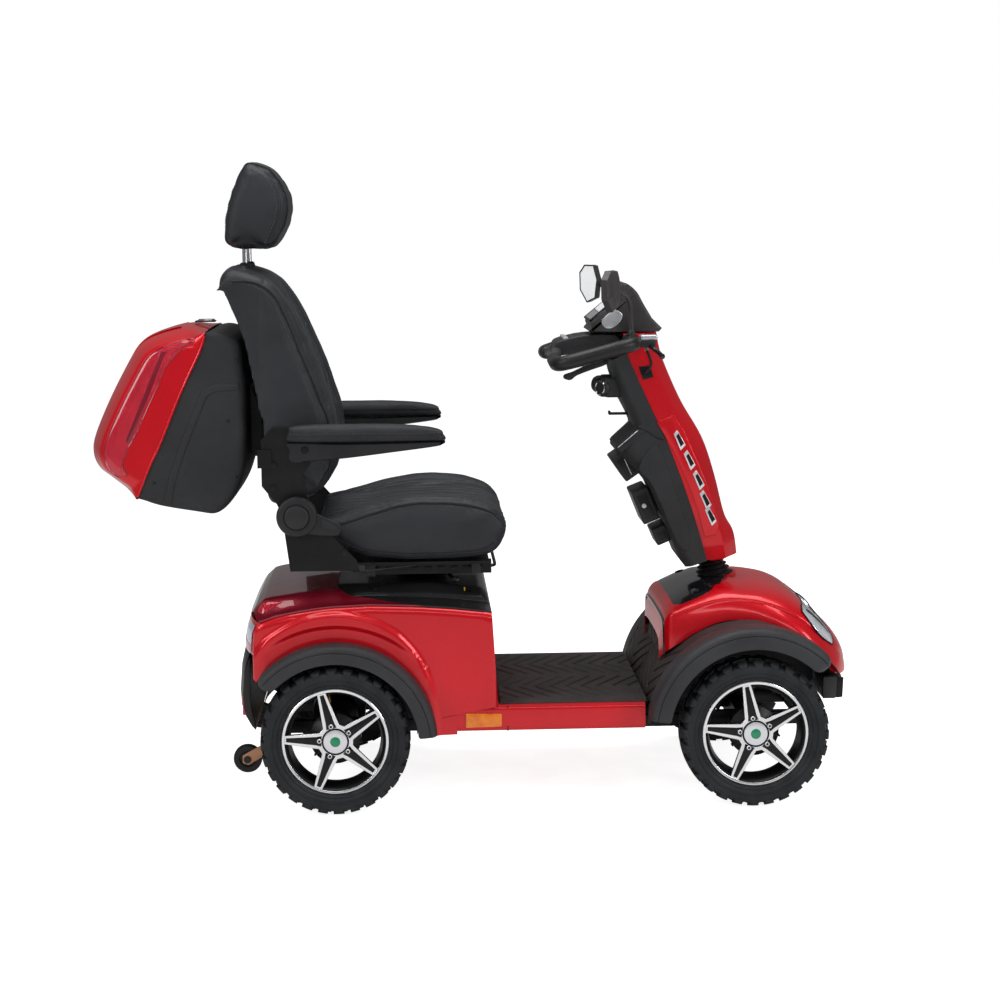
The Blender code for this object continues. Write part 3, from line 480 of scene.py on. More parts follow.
GREEN = material("cap_green", (0.02, 0.36, 0.16), (0.015, 0.26, 0.12), 0.25, 0.05, coat=0.5, grain=1200.0,
                 depth=0.05)
BRASS = material(
    "brass", (0.72, 0.38, 0.08), (0.50, 0.25, 0.05), 0.3, 0.08, metal=0.8, grain=1200.0, depth=0.1
)
LENS = material("clear_lens", (0.80, 0.83, 0.88), (0.62, 0.66, 0.72), 0.10, 0.04, metal=0.25, coat=1.0,
                cloud=22.0, grain=300.0, depth=0.12)
LAMP_PALE = material("pale_lamp", (0.62, 0.72, 0.86), (0.46, 0.56, 0.72), 0.10, 0.04, coat=1.0, cloud=20.0,
                     grain=260.0, depth=0.15)
RED_LENS = material(
    "red_lens", (0.62, 0.003, 0.028), (0.50, 0.002, 0.020), 0.10, 0.04, coat=1.0, cells=420.0,
    cell_depth=0.5, cloud=20.0, bump_size=0.0006,
)
AMBER = material("amber_lens", (1.00, 0.27, 0.00), (0.90, 0.18, 0.00), 0.14, 0.05, coat=0.8, cells=260.0,
                 cell_depth=0.8, cloud=60.0, bump_size=0.0008)
# The mirror glass glows: its emission is a painted reflection of bright surroundings.
MIRROR_PAINTED_REFLECTION = material("mirror_glass_painted_reflection", (0.93, 0.94, 0.95), (0.88, 0.89, 0.90), 0.06, 0.02, metal=0.6,
                        grain=600.0, depth=0.01, glow=0.55)
LEATHER = material("leather", (0.026, 0.028, 0.033), (0.017, 0.018, 0.022), 0.46, 0.07, cells=620.0,
                   cell_depth=0.40, grain=1500.0, depth=0.25, cloud=7.0, bump_size=0.0004)
LEATHER_CENTRE = material(
    "leather_centre", (0.020, 0.021, 0.025), (0.013, 0.014, 0.017), 0.52, 0.07, cells=520.0,
    cell_depth=0.55, grain=1500.0, depth=0.25, cloud=7.0, bump_size=0.0004,
)
THREAD = material(
    "thread", (0.075, 0.078, 0.086), (0.050, 0.052, 0.060), 0.6, 0.08, grain=2600.0, depth=0.5
)
CONSOLE_GREEN = material(
    "button_green", (0.02, 0.22, 0.16), (0.015, 0.15, 0.11), 0.35, 0.05, grain=1400.0, depth=0.1
)
YELLOW = material(
    "cable_yellow", (0.80, 0.52, 0.02), (0.66, 0.40, 0.01), 0.4, 0.05, grain=1400.0, depth=0.1
)


# Wheels

PITCHES = 28
CARCASS = [(0.117, 0.030), (0.1195, 0.0350), (0.1235, 0.0385), (0.1250, 0.0398), (0.1262, 0.0396),
           (0.1320, 0.0438), (0.1332, 0.0436), (0.1420, 0.0462), (0.1475, 0.0460), (0.1530, 0.0440),
           (0.1550, 0.0400), (0.1568, 0.0340), (0.1578, 0.0200), (0.1580, 0.0)]
# The tread's profile from the middle over the shoulder: base radius, base y, top radius, top y.
TREAD = [(0.0, 0.1574, 0.000, 0.1650, 0.000), (0.35, 0.1572, 0.015, 0.1648, 0.015),
         (0.70, 0.1556, 0.031, 0.1634, 0.0335), (0.90, 0.1520, 0.039, 0.1602, 0.0430),
         (1.05, 0.1480, 0.0425, 0.1555, 0.0462), (1.30, 0.1420, 0.0445, 0.1435, 0.0468)]


def tread_point(along, v, angle, side):
    at = abs(v)
    keys = [row[0] for row in TREAD]
    r = np.interp(at, keys, [row[3 if along else 1] for row in TREAD])
    y = np.interp(at, keys, [row[4 if along else 2] for row in TREAD])
    y = math.copysign(y, v) * side
    return Vector((r * math.cos(angle), y, r * math.sin(angle)))


def tread_block(name, angle, edges, side, mat):
    """A rubber block whose left and right edges are listed as (v, from, to) across the tread, in pitches."""
    step = 2 * math.pi / PITCHES
    rows = []
    for v, low, high in edges:
        inset = 0.04
        rows.append(
            [
                tread_point(False, v, angle + low * step, side),
                tread_point(True, v, angle + (low + inset) * step, side),
                tread_point(True, v, angle + (low + high) / 2 * step, side),
                tread_point(True, v, angle + (high - inset) * step, side),
                tread_point(False, v, angle + high * step, side),
            ]
        )
    first, last = edges[0], edges[-1]
    rows.insert(
        0,
        [
            tread_point(
                False, first[0] - 0.03, angle + (first[1] + (first[2] - first[1]) * k / 4) * step, side
            )
            for k in range(5)
        ],
    )
    rows.append(
        [
            tread_point(
                False, last[0] + 0.03, angle + (last[1] + (last[2] - last[1]) * k / 4) * step, side
            )
            for k in range(5)
        ]
    )
    return grid(name, rows, mat, crease=30.0)


def tyre_mesh():
    full = CARCASS + [(r, -h) for r, h in reversed(CARCASS[:-1])]
    pieces = [lathe("carcass", full, (0, 0, 0), (0, -1, 0), TYRE_RUBBER, steps=96, closed=True)]
    long_block = [
        (0.42, -0.32, 0.28), (0.70, -0.38, 0.32), (0.86, -0.30, 0.36), (1.02, -0.25, 0.30),
        (1.24, -0.28, 0.25),
    ]
    short_block = [
        (0.46, -0.28, 0.28), (0.66, -0.34, 0.25), (0.84, -0.26, 0.33), (0.98, -0.28, 0.28),
        (1.08, -0.24, 0.24),
    ]
    centre = [(-0.30, -0.10, 0.52), (-0.10, -0.36, 0.44), (0.10, -0.44, 0.36), (0.30, -0.52, 0.10)]
    for number in range(PITCHES):
        angle = 2 * math.pi * number / PITCHES
        for side in (1, -1):
            shape = long_block if (number + (side > 0)) % 2 else short_block
            pieces.append(
                tread_block(
                    "shoulder",
                    angle + (0.5 if side > 0 else 0) * 2 * math.pi / PITCHES,
                    shape,
                    side,
                    TYRE_RUBBER,
                )
            )
        pieces.append(tread_block("centre", angle, centre, 1, TYRE_RUBBER))
    # Two thin rings moulded in each side wall.
    for side in (-1, 1):
        for r, h in ((0.1262, 0.0404), (0.1375, 0.0458)):
            ring = [(r - 0.0009, h - 0.0012), (r, h + 0.0003), (r + 0.0009, h - 0.0008)]
            pieces.append(lathe("ring", ring, (0, 0, 0), (0, side, 0), TYRE_RUBBER, steps=96))
    return join("tyre_mesh", pieces)


def star(outer, half_tip, valley, thick_low, thick_high, mat, name):
    """The five-spoke face: tips at the rim and valleys between the spokes."""
    points = []
    for k in range(5):
        a = 2 * math.pi * k / 5
        tip = math.asin(half_tip / outer)
        points.append((outer * math.cos(a - tip), outer * math.sin(a - tip)))
        points.append((outer * math.cos(a + tip), outer * math.sin(a + tip)))
        b = a + math.pi / 5
        points.append((valley * math.cos(b - 0.16), valley * math.sin(b - 0.16)))
        points.append((valley * math.cos(b + 0.16), valley * math.sin(b + 0.16)))
    obj = plate(name, points, -thick_low, -thick_high, mat)
    obj.data.transform(Matrix.Translation((-REAR, 0, 0)))
    return obj


def rim_mesh():
    """The wheel's outer face looks along -Y."""
    lip = [(0.1035, 0.0230), (0.1065, 0.0310), (0.1095, 0.0335), (0.1110, 0.0350), (0.1120, 0.0357),
           (0.1158, 0.0359), (0.1172, 0.0350), (0.1178, 0.0325), (0.1172, 0.0303)]
    dark = lathe("lip_dark", lip[:4], (0, 0, 0), (0, -1, 0), RIM_BLACK, steps=96)
    bright = lathe("lip_bright", lip[3:], (0, 0, 0), (0, -1, 0), ALLOY, steps=96)
    barrel = [(0.1035, 0.0230), (0.1010, 0.0120), (0.0985, -0.0040), (0.1000, -0.0200), (0.1060, -0.0330),
              (0.1172, -0.0352), (0.1178, -0.0303), (0.1160, -0.0295), (0.1160, 0.0295), (0.1172, 0.0303)]
    pieces = [dark, bright, lathe("barrel", barrel, (0, 0, 0), (0, -1, 0), RIM_BLACK, steps=96)]
    pieces.append(soften(star(0.1105, 0.0088, 0.0385, 0.0215, 0.0335, RIM_BLACK, "star_back"), 0.0012, 2))
    pieces.append(soften(star(0.1112, 0.0092, 0.0392, 0.0333, 0.0349, ALLOY, "star_face"), 0.0004, 1))
    for k in range(5):
        inset = [
            (0.0300, -0.0118), (0.0300, 0.0118), (0.0420, 0.0094), (0.1075, 0.0045),
            (0.1075, -0.0045), (0.0420, -0.0094),
        ]
        strip = plate("spoke_inset", inset, -0.0340, -0.0353, RIM_BLACK, 0.0005, 2)
        strip.data.transform(Matrix.Translation((-REAR, 0, 0)))
        strip.data.transform(Matrix.Rotation(2 * math.pi * k / 5, 4, "Y"))
        pieces.append(strip)
        a = 2 * math.pi * k / 5
        at = (0.0350 * math.cos(a), -0.0347, -0.0350 * math.sin(a))
        bolt = [(0.0052, 0.0), (0.0052, 0.0012), (0.0044, 0.0020), (0.0030, 0.0020), (0.0028, 0.0010)]
        pieces.append(lathe("bolt", bolt, at, (0, -1, 0), ALLOY, steps=20))
        # The dark socket in each bolt head is painted shade in its recess.
        pieces.append(
            lathe(
                "bolt_socket_painted_shade",
                [(0.0029, 0.0010), (0.0018, 0.0008), (0.0001, 0.0008)],
                at,
                (0, -1, 0),
                STEEL,
                steps=12,
            )
        )
    disc = [(0.0300, 0.0345), (0.0300, 0.0356), (0.0270, 0.0360), (0.0262, 0.0352)]
    pieces.append(lathe("hub_ring", disc, (0, 0, 0), (0, -1, 0), RIM_BLACK, steps=48))
    cap = [(0.0262, 0.0350), (0.0258, 0.0362), (0.0235, 0.0368), (0.0130, 0.0372), (0.0112, 0.0371)]
    pieces.append(lathe("cap", cap, (0, 0, 0), (0, -1, 0), WHITE_CAP, steps=48))
    pieces.append(
        lathe(
            "cap_dot",
            [(0.0112, 0.0369), (0.0104, 0.0373), (0.0001, 0.0374)],
            (0, 0, 0),
            (0, -1, 0),
            GREEN,
            steps=32,
        )
    )
    drum = [
        (0.0280, 0.0215), (0.0420, 0.0150), (0.0560, 0.0060), (0.0560, -0.0080),
        (0.0560, -0.0240), (0.0200, -0.0290),
    ]
    pieces.append(lathe("drum", drum, (0, 0, 0), (0, -1, 0), STEEL, steps=48))
    for k in range(8):
        a = 2 * math.pi * (k + 0.5) / 8
        rib = plate(
            "drum_rib",
            [(0.044, -0.0015), (0.044, 0.0015), (0.0592, 0.0015), (0.0592, -0.0015)],
            -0.013,
            0.004,
            STEEL,
        )
        rib.data.transform(Matrix.Translation((-REAR, 0, 0)))
        rib.data.transform(Matrix.Rotation(a, 4, "Y"))
        pieces.append(rib)
    stem_at = Vector((0.094, -0.012, -0.012))
    stem = lathe(
        "stem",
        [(0.0030, -0.006), (0.0030, 0.004), (0.0022, 0.005), (0.0022, 0.012), (0.0001, 0.0125)],
        stem_at,
        (-0.85, -0.5, 0),
        BRASS,
        steps=12,
    )
    pieces.append(stem)
    return join("rim_mesh", pieces)


def wheels():
    tyre, rim = tyre_mesh(), rim_mesh()
    spoke_turn = {"rear": 105, "front": 101}
    for end in ("rear", "front"):
        for side_name, side in (("right", RIGHT), ("left", LEFT)):
            centre = middle(f"{end}_{side_name}_rim")
            half_turn = math.pi if side == LEFT else 0.0
            for kind, source, slot in (("tyre", tyre, "rubber"), ("rim", rim, "alloy")):
                mesh = source.data.copy()
                angle = -math.radians(spoke_turn[end])
                mesh.transform(Matrix.Rotation(half_turn, 4, "Z") @ Matrix.Rotation(angle, 4, "Y"))
                node = f"{end}_{side_name}_{kind}"
                copy = bpy.data.objects.new(f"{node}_look", mesh)
                bpy.context.scene.collection.objects.link(copy)
                copy.location = centre
                put(copy, f"{end}_wheel_{side_name}", node, slot=slot)
    for source in (tyre, rim):
        bpy.data.objects.remove(source, do_unlink=True)


def anti_tip_wheels():
    for side_name, side in (("right", RIGHT), ("left", LEFT)):
        centre = middle(f"anti_tip_wheel_{side_name}")
        tread = [(0.0190, -0.0085), (0.0290, -0.0088), (0.0318, -0.0050), (0.0320, 0.0), (0.0318, 0.0050),
                 (0.0290, 0.0088), (0.0190, 0.0085)]
        hub = [
            (0.0062, -0.0082), (0.0095, -0.0082), (0.0110, -0.0050), (0.0180, -0.0040),
            (0.0192, -0.0070), (0.0192, 0.0070), (0.0180, 0.0040), (0.0110, 0.0050),
            (0.0095, 0.0082), (0.0062, 0.0082),
        ]
        pieces = [
            lathe("tread", tread, centre, (0, side, 0), BOOT, steps=40, closed=True),
            lathe("hub", hub, centre, (0, side, 0), PLASTIC, steps=40, closed=True),
        ]
        put(join(f"anti_tip_wheel_{side_name}_look", pieces), f"anti_tip_{side_name}",
            f"anti_tip_wheel_{side_name}", slot="rubber")


wheels()
anti_tip_wheels()


# Rear body

REAR_ARCH = (0.0, 0.155)
FRONT_ARCH = (WHEELBASE, AXLE)
TOP_EDGE = [
    (-0.172, 0.416), (-0.164, 0.4215), (-0.130, 0.4330), (-0.094, 0.4410), (-0.040, 0.4495),
    (-0.007, 0.4530), (0.081, 0.4565), (0.190, 0.4525), (0.266, 0.4465), (0.336, 0.4385),
    (0.345, 0.4370),
]
CROWN = [
    (-0.211, 0.329), (-0.203, 0.376), (-0.191, 0.423), (-0.174, 0.451), (-0.155, 0.4690),
    (-0.140, 0.4730), (-0.085, 0.4810), (-0.016, 0.4865), (0.053, 0.4870),
]
SWOOSH = [
    (0, 0.224), (8, 0.2275), (20, 0.236), (32, 0.2475), (45, 0.262), (59, 0.276), (73, 0.283),
    (87, 0.286), (105, 0.283), (122, 0.275), (135, 0.262), (145, 0.252),
]
OUTLINE = [(0.3590, 0.2260), (0.3565, 0.2600), (0.3520, 0.3520), (0.3470, 0.4340), (0.3400, 0.4380)] + [
    (x, z) for x, z in reversed(TOP_EDGE[:-1])] + [
        (-0.1755, 0.4000), (-0.1790, 0.3600), (-0.1790, 0.2960)
    ]


def side_y(x, z):
    """The body side's distance from the middle plane."""
    dx, dz = x - REAR_ARCH[0], z - REAR_ARCH[1]
    theta, r = math.degrees(math.atan2(dz, dx)), math.hypot(dx, dz)
    ridge = lookup(theta, SWOOSH)
    inside = 1.0 - smooth(ridge - 0.006, ridge + 0.006, r)
    y = 0.2755 + 0.0075 * inside
    # A second, softer fold below the ridge, over the wheel.
    fold = lookup(theta, [(0, 0.0), (40, 0.0), (62, 1.0), (110, 1.0), (130, 0.0), (180, 0.0)])
    y -= 0.0050 * fold * (1.0 - smooth(0.250, 0.262, r))
    # The front edge carries a raised upright, rounded over to the front face.
    y += 0.0030 * smooth(0.326, 0.340, x)
    front = 0.3590 - x
    if front < 0.014:
        y -= 0.014 - math.sqrt(max(0.0, 0.014**2 - (0.014 - max(0.0, front)) ** 2))
    rear = x + 0.1795
    if rear < 0.030:
        y -= 0.55 * (0.030 - math.sqrt(max(0.0, 0.030**2 - (0.030 - max(0.0, rear)) ** 2)))
    drop = lookup(x, TOP_EDGE) - z
    if drop < 0.018:
        y -= 0.8 * (0.018 - math.sqrt(max(0.0, 0.018**2 - (0.018 - max(0.0, drop)) ** 2)))
    return min(y, 0.2835)


def ray_end(theta, outline, centre):
    """How far from centre a ray at theta meets the outline."""
    way = (math.cos(theta), math.sin(theta))
    best = None
    for (ax, az), (bx, bz) in zip(outline, outline[1:]):
        ax, az, bx, bz = ax - centre[0], az - centre[1], bx - centre[0], bz - centre[1]
        ex, ez = bx - ax, bz - az
        det = way[0] * -ez + ex * way[1]
        if abs(det) < 1e-12:
            continue
        t = (ax * -ez + ex * az) / det
        u = (way[0] * az - way[1] * ax) / det
        if t > 0 and -1e-6 <= u <= 1 + 1e-6 and (best is None or t > best):
            best = t
    return best


def body_side(side, name):
    rows = []
    inner = 0.2195
    low = math.atan2(OUTLINE[0][1] - REAR_ARCH[1], OUTLINE[0][0]) + 0.0005
    high = math.atan2(OUTLINE[-1][1] - REAR_ARCH[1], OUTLINE[-1][0]) - 0.0005
    count = 150
    for i in range(count + 1):
        theta = low + (high - low) * i / count
        end = ray_end(theta, OUTLINE, REAR_ARCH)
        row = []
        for j in range(41):
            t = 1 - (1 - j / 40) ** 1.25
            r = inner + (end - inner) * t
            x, z = r * math.cos(theta) + REAR_ARCH[0], r * math.sin(theta) + REAR_ARCH[1]
            row.append((REAR + x, side * side_y(x, z), z))
        x, z = end * math.cos(theta) + REAR_ARCH[0], end * math.sin(theta) + REAR_ARCH[1]
        row.append((REAR + x * 0.998, side * (side_y(x, z) - 0.016), z - 0.0005))
        rows.append(row)
    panel = skin(name, rows, RED, (0, side, 0), 0.003, crease=40)
    foot = []
    for i in range(21):
        theta = math.radians(2.0) + (low + 0.004 - math.radians(2.0)) * i / 20
        row = []
        for j in range(13):
            r = inner + (0.268 / math.cos(theta) - inner) * j / 12
            x, z = r * math.cos(theta), r * math.sin(theta) + REAR_ARCH[1]
            row.append((REAR + x, side * min(side_y(min(x, 0.30), z), 0.2835), z))
        foot.append(row)
    return [panel, skin(name + "_foot", foot, RED, (0, side, 0), 0.003, crease=40)]


def rear_body():
    pieces = []
    for side_name, side in (("right", RIGHT), ("left", LEFT)):
        pieces += body_side(side, f"body_side_{side_name}")
    # The face behind the rider's heels, and the tail below the lid.
    heel = []
    for i in range(25):
        z = 0.2320 + (0.4365 - 0.2320) * i / 24
        x = lookup(z, [(0.230, 0.3590), (0.260, 0.3565), (0.352, 0.3520), (0.434, 0.3470)])
        heel.append([(REAR + x, y, z) for y in np.linspace(-0.266, 0.266, 41)])
    pieces.append(skin("heel_face", heel, RED, (1, 0, 0), 0.003))
    tail = []
    for i in range(33):
        z = 0.2960 + (0.4215 - 0.2960) * i / 32
        edge = lookup(z, [(0.262, -0.1775), (0.360, -0.1775), (0.400, -0.1740), (0.4215, -0.1640)])
        mid = lookup(
            z,
            [
                (0.262, -0.1850), (0.300, -0.1860), (0.345, -0.1880), (0.352, -0.2040),
                (0.376, -0.2030), (0.423, -0.1910),
            ],
        )
        row = []
        for y in np.linspace(-0.270, 0.270, 61):
            row.append((REAR + edge + (mid - edge) * (1 - abs(y / 0.270) ** 4), y, z))
        tail.append(row)
    pieces.append(skin("tail_face", tail, RED, (-1, 0, 0), 0.003))
    put(join("rear_body_look", pieces), "chassis", "rear_body", slot="red_paint")


def top_z(x, y):
    """The lid's crown, falling to the body's top edge at the side."""
    high, low = lookup(x, [(-0.191, 0.423), *CROWN[3:]]), lookup(x, TOP_EDGE) + 0.0022
    fall = smooth(0.212, 0.267, abs(y))
    return min(0.4865, high - (high - low) * (0.18 * (abs(y) / 0.28) ** 2 + 0.82 * fall))


def lid_front(y):
    """Where the lid ends and the black deck begins."""
    return lookup(abs(y), [(0.0, 0.0060), (0.2020, 0.0060), (0.2350, 0.0300), (0.2690, 0.1900)])


def rear_lid():
    rows = []
    for y in np.linspace(-0.2690, 0.2690, 91):
        end = lid_front(y)
        start = -0.1908 + 0.0265 * abs(y / 0.269) ** 4
        row = []
        for x in [start + (end - start) * (k / 60) for k in range(61)]:
            row.append((REAR + x, y, top_z(x, y)))
        rows.append(row)
    pieces = [skin("lid_top", rows, DARK_RED, (0, 0, 1), 0.003, crease=40)]
    # The notch that the lid's hinge sits in.
    pieces.append(block("lid_notch", (-0.050, -0.182, 0.4790), (-0.034, -0.174, 0.4840), MATTE, 0.001))
    for side in (RIGHT, LEFT):
        shape = []
        for i in range(25):
            t = i / 24
            x = -0.168 + 0.060 * t
            if t < 0.30:
                fullness = math.sqrt(max(0.0, 1 - ((t - 0.30) / 0.30) ** 2))
            else:
                fullness = (1 - (t - 0.30) / 0.70) ** 1.1
            row = []
            for j in range(13):
                v = -1 + 2 * j / 12
                y = 0.2350 + 0.0125 * v * fullness
                z = top_z(x, y) + 0.0062 * (1 - v * v) * fullness
                row.append((REAR + x, side * y, z))
            shape.append(row)
        pieces.append(skin("lid_signal", shape, RED_LENS, (0, 0, 1), 0.001))
    put(join("rear_lid_look", pieces), "chassis", "rear_lid", slot="dark_red_paint")


# The y of the sloping shoulder on each side of the deck, where its small fittings sit.
DECK_SHOULDER = 0.1870


def seat_deck():
    rows = []
    ys = [*np.linspace(0, 0.162, 13)]
    profile = [(y, 0.0) for y in ys]
    profile += [
        (0.1690, -0.0012), (0.1740, -0.0036), (0.1990, -0.0165), (0.2030, -0.0230),
        (0.2045, -0.0290), (0.2070, -0.0315), (0.2140, -0.0330), (0.2300, -0.0350),
        (0.2500, -0.0370), (0.2620, -0.0385), (0.2690, -0.0400),
    ]
    across = [(-y, d) for y, d in reversed(profile[1:])] + profile
    for i in range(61):
        x = 0.0068 + (0.3455 - 0.0068) * i / 60
        ease = math.sqrt(max(0.0, 1 - max(0.0, (x - 0.318) / 0.0275) ** 2))
        crown = 0.4865 - 0.010 * smooth(0.20, 0.33, x)
        row = []
        for y, d in across:
            edge = lookup(x, TOP_EDGE) + 0.0030 - 0.0006
            upper = crown + d * (crown - edge) / 0.0400
            z = edge - 0.002 + (upper - edge + 0.002) * ease
            row.append((REAR + x, y, max(z, edge - 0.002)))
        rows.append(row)
    obj = face_out(grid("deck_skin", rows, SATIN, crease=24), (0, 0, 1))
    shape = bmesh.new()
    shape.from_mesh(obj.data)
    # The outer corners give way to the lid along its slanting edge.
    drop = []
    for face in shape.faces:
        at = face.calc_center_median()
        if abs(at.y) > 0.203 and at.x - REAR < lid_front(at.y):
            drop.append(face)
    bmesh.ops.delete(shape, geom=drop, context="FACES")
    shape.to_mesh(obj.data)
    shape.free()
    solid = obj.modifiers.new("wall", "SOLIDIFY")
    solid.thickness = 0.003
    solid.offset = -1.0
    bake(obj)
    smooth_off(obj, 40)
    pieces = [obj]
    # The step's rear face, which stands just above the lid.
    pieces.append(block("deck_back", (0.0066, -0.1990, 0.4700), (0.0096, 0.1990, 0.4858), GLOSSY, 0.001))
    for side in (RIGHT, LEFT):
        shoulder = side * DECK_SHOULDER
        knob = [
            (0.0075, 0.0), (0.0075, 0.002), (0.0052, 0.0028), (0.0052, 0.0058), (0.0068, 0.0062),
            (0.0060, 0.0080), (0.0001, 0.0084),
        ]
        slope = Matrix.Rotation(-side * 0.46, 3, "X")
        pieces.append(
            lathe(
                "deck_screw", knob, (REAR + 0.089, shoulder, 0.4762), (0, side * 0.45, 0.9),
                STEEL, steps=24,
            )
        )
        pieces.append(
            # The slot is a dark block: painted shade inside it.
            block(
                "deck_slot_painted_shade",
                (0.0150, shoulder - 0.0022, 0.4755),
                (0.0330, shoulder + 0.0022, 0.4772),
                RIM_BLACK,
                0.0006,
                2,
                slope,
            )
        )
        # The recess is a dark block: painted shade in its hollow.
        pieces.append(
            block(
                "deck_recess_painted_shade",
                (0.2740, shoulder - 0.0050, 0.4685),
                (0.3050, shoulder + 0.0050, 0.4708),
                RIM_BLACK,
                0.0008,
                2,
                slope,
            )
        )
        pieces.append(
            block(
                "deck_tab",
                (0.2880, shoulder - 0.0010, 0.4690),
                (0.2908, shoulder + 0.0010, 0.4790),
                YELLOW,
                0.0006,
            )
        )
    collar = [
        (0.0600, 0.4868), (0.0610, 0.4890), (0.0540, 0.4908), (0.0560, 0.4925), (0.0480, 0.4940),
        (0.0500, 0.4955), (0.0420, 0.4968), (0.0300, 0.4970), (0.0240, 0.4972),
    ]
    pieces.append(lathe("post_boot", collar, (middle("seat_post").x, 0, 0), (0, 0, 1), BOOT, steps=48))
    put(join("seat_deck_look", pieces), "chassis", "seat_deck", slot="black_plastic")


# Fenders


def fender(name, side, centre, arch, start, end, inner_y, shrink_start, shrink_end):
    """A strip swept round a wheel arch: flange, groove, raised bead and roof."""
    low, high = arch
    outer = 0.3349
    section = [
        (low + 0.0040, outer - 0.0080), (low + 0.0010, outer - 0.0055), (low, outer - 0.0030),
        (low + 0.0012, outer - 0.0010), (low + 0.0040, outer - 0.0002), (low + 0.0120, outer),
        (high - 0.0195, outer - 0.0006), (high - 0.0172, outer - 0.0012),
        (high - 0.0160, outer - 0.0030), (high - 0.0150, outer - 0.0012),
        (high - 0.0130, outer - 0.0006), (high - 0.0100, outer - 0.0012),
        (high - 0.0060, outer - 0.0040), (high - 0.0026, outer - 0.0085),
        (high - 0.0008, outer - 0.0140), (high, outer - 0.0210), (high, outer - 0.0300),
        (high - 0.0006, inner_y + 0.004), (high - 0.0016, inner_y), (high - 0.0050, inner_y),
        (high - 0.0050, outer - 0.0240), (high - 0.0100, outer - 0.0100),
        (low + 0.0160, outer - 0.0060),
    ]
    middle_r = (low + high) / 2 + 0.004
    rows = []
    steps = 110
    for i in range(steps + 1):
        share = i / steps
        theta = math.radians(start + (end - start) * share)
        ends = 1.0
        if shrink_start:
            ends = min(ends, math.sqrt(max(0.02, 1 - (1 - min(1.0, share / shrink_start)) ** 2)))
        if shrink_end:
            ends = min(ends, math.sqrt(max(0.02, 1 - (1 - min(1.0, (1 - share) / shrink_end)) ** 2)))
        row = []
        for r, y in section:
            rr = middle_r + (r - middle_r) * ends
            yy = inner_y + (y - inner_y) * (0.55 + 0.45 * ends)
            row.append(
                (REAR + centre[0] + rr * math.cos(theta), side * yy, centre[1] + rr * math.sin(theta))
            )
        rows.append(row)
    obj = grid(name, rows, FENDER, close_across=True, caps=True, crease=42)
    return obj


def fenders():
    for side_name, side in (("right", RIGHT), ("left", LEFT)):
        rear = fender(
            f"rear_fender_{side_name}_look", side, REAR_ARCH, (0.1830, 0.2246), 3.2, 141.0,
            0.2790, 0.018, 0.05,
        )
        put(rear, "chassis", f"rear_fender_{side_name}", slot="black_plastic")
        front = fender(
            f"front_fender_{side_name}_look", side, FRONT_ARCH, (0.1895, 0.2360), 41.0, 173.0,
            0.2600, 0.06, 0.018,
        )
        put(front, "chassis", f"front_fender_{side_name}", slot="black_plastic")


# Floor


GROOVE_DEPTH = 0.0038


def groove(cell):
    """How deep a groove is across its cell of 0 to 1, from 0 to 1, with its bottom at the middle."""
    return 1.0 - smooth(0.03, 0.15, abs(cell - 0.5))


def chevron(x, y):
    """Depth of the mat's grooves, 0 to 1."""
    lane = abs(abs(y) - 0.118)
    along = x + 0.62 * (0.118 - lane)
    cell = (along / 0.0360) % 1.0
    line = groove(cell)
    ends = 1.0 - smooth(0.098, 0.108, lane)
    ends *= smooth(0.008, 0.014, abs(y))
    return line * ends


def mat_edge(theta):
    """Where the arch mat meets the hood, as a distance from the middle plane."""
    return lookup(
        theta,
        [
            (64, 0.262), (74, 0.256), (80, 0.240), (84, 0.222), (89, 0.206), (97, 0.199),
            (105, 0.190), (116, 0.175), (124, 0.162), (131, 0.148), (136, 0.110), (140, 0.055),
            (142, 0.0),
        ],
    )


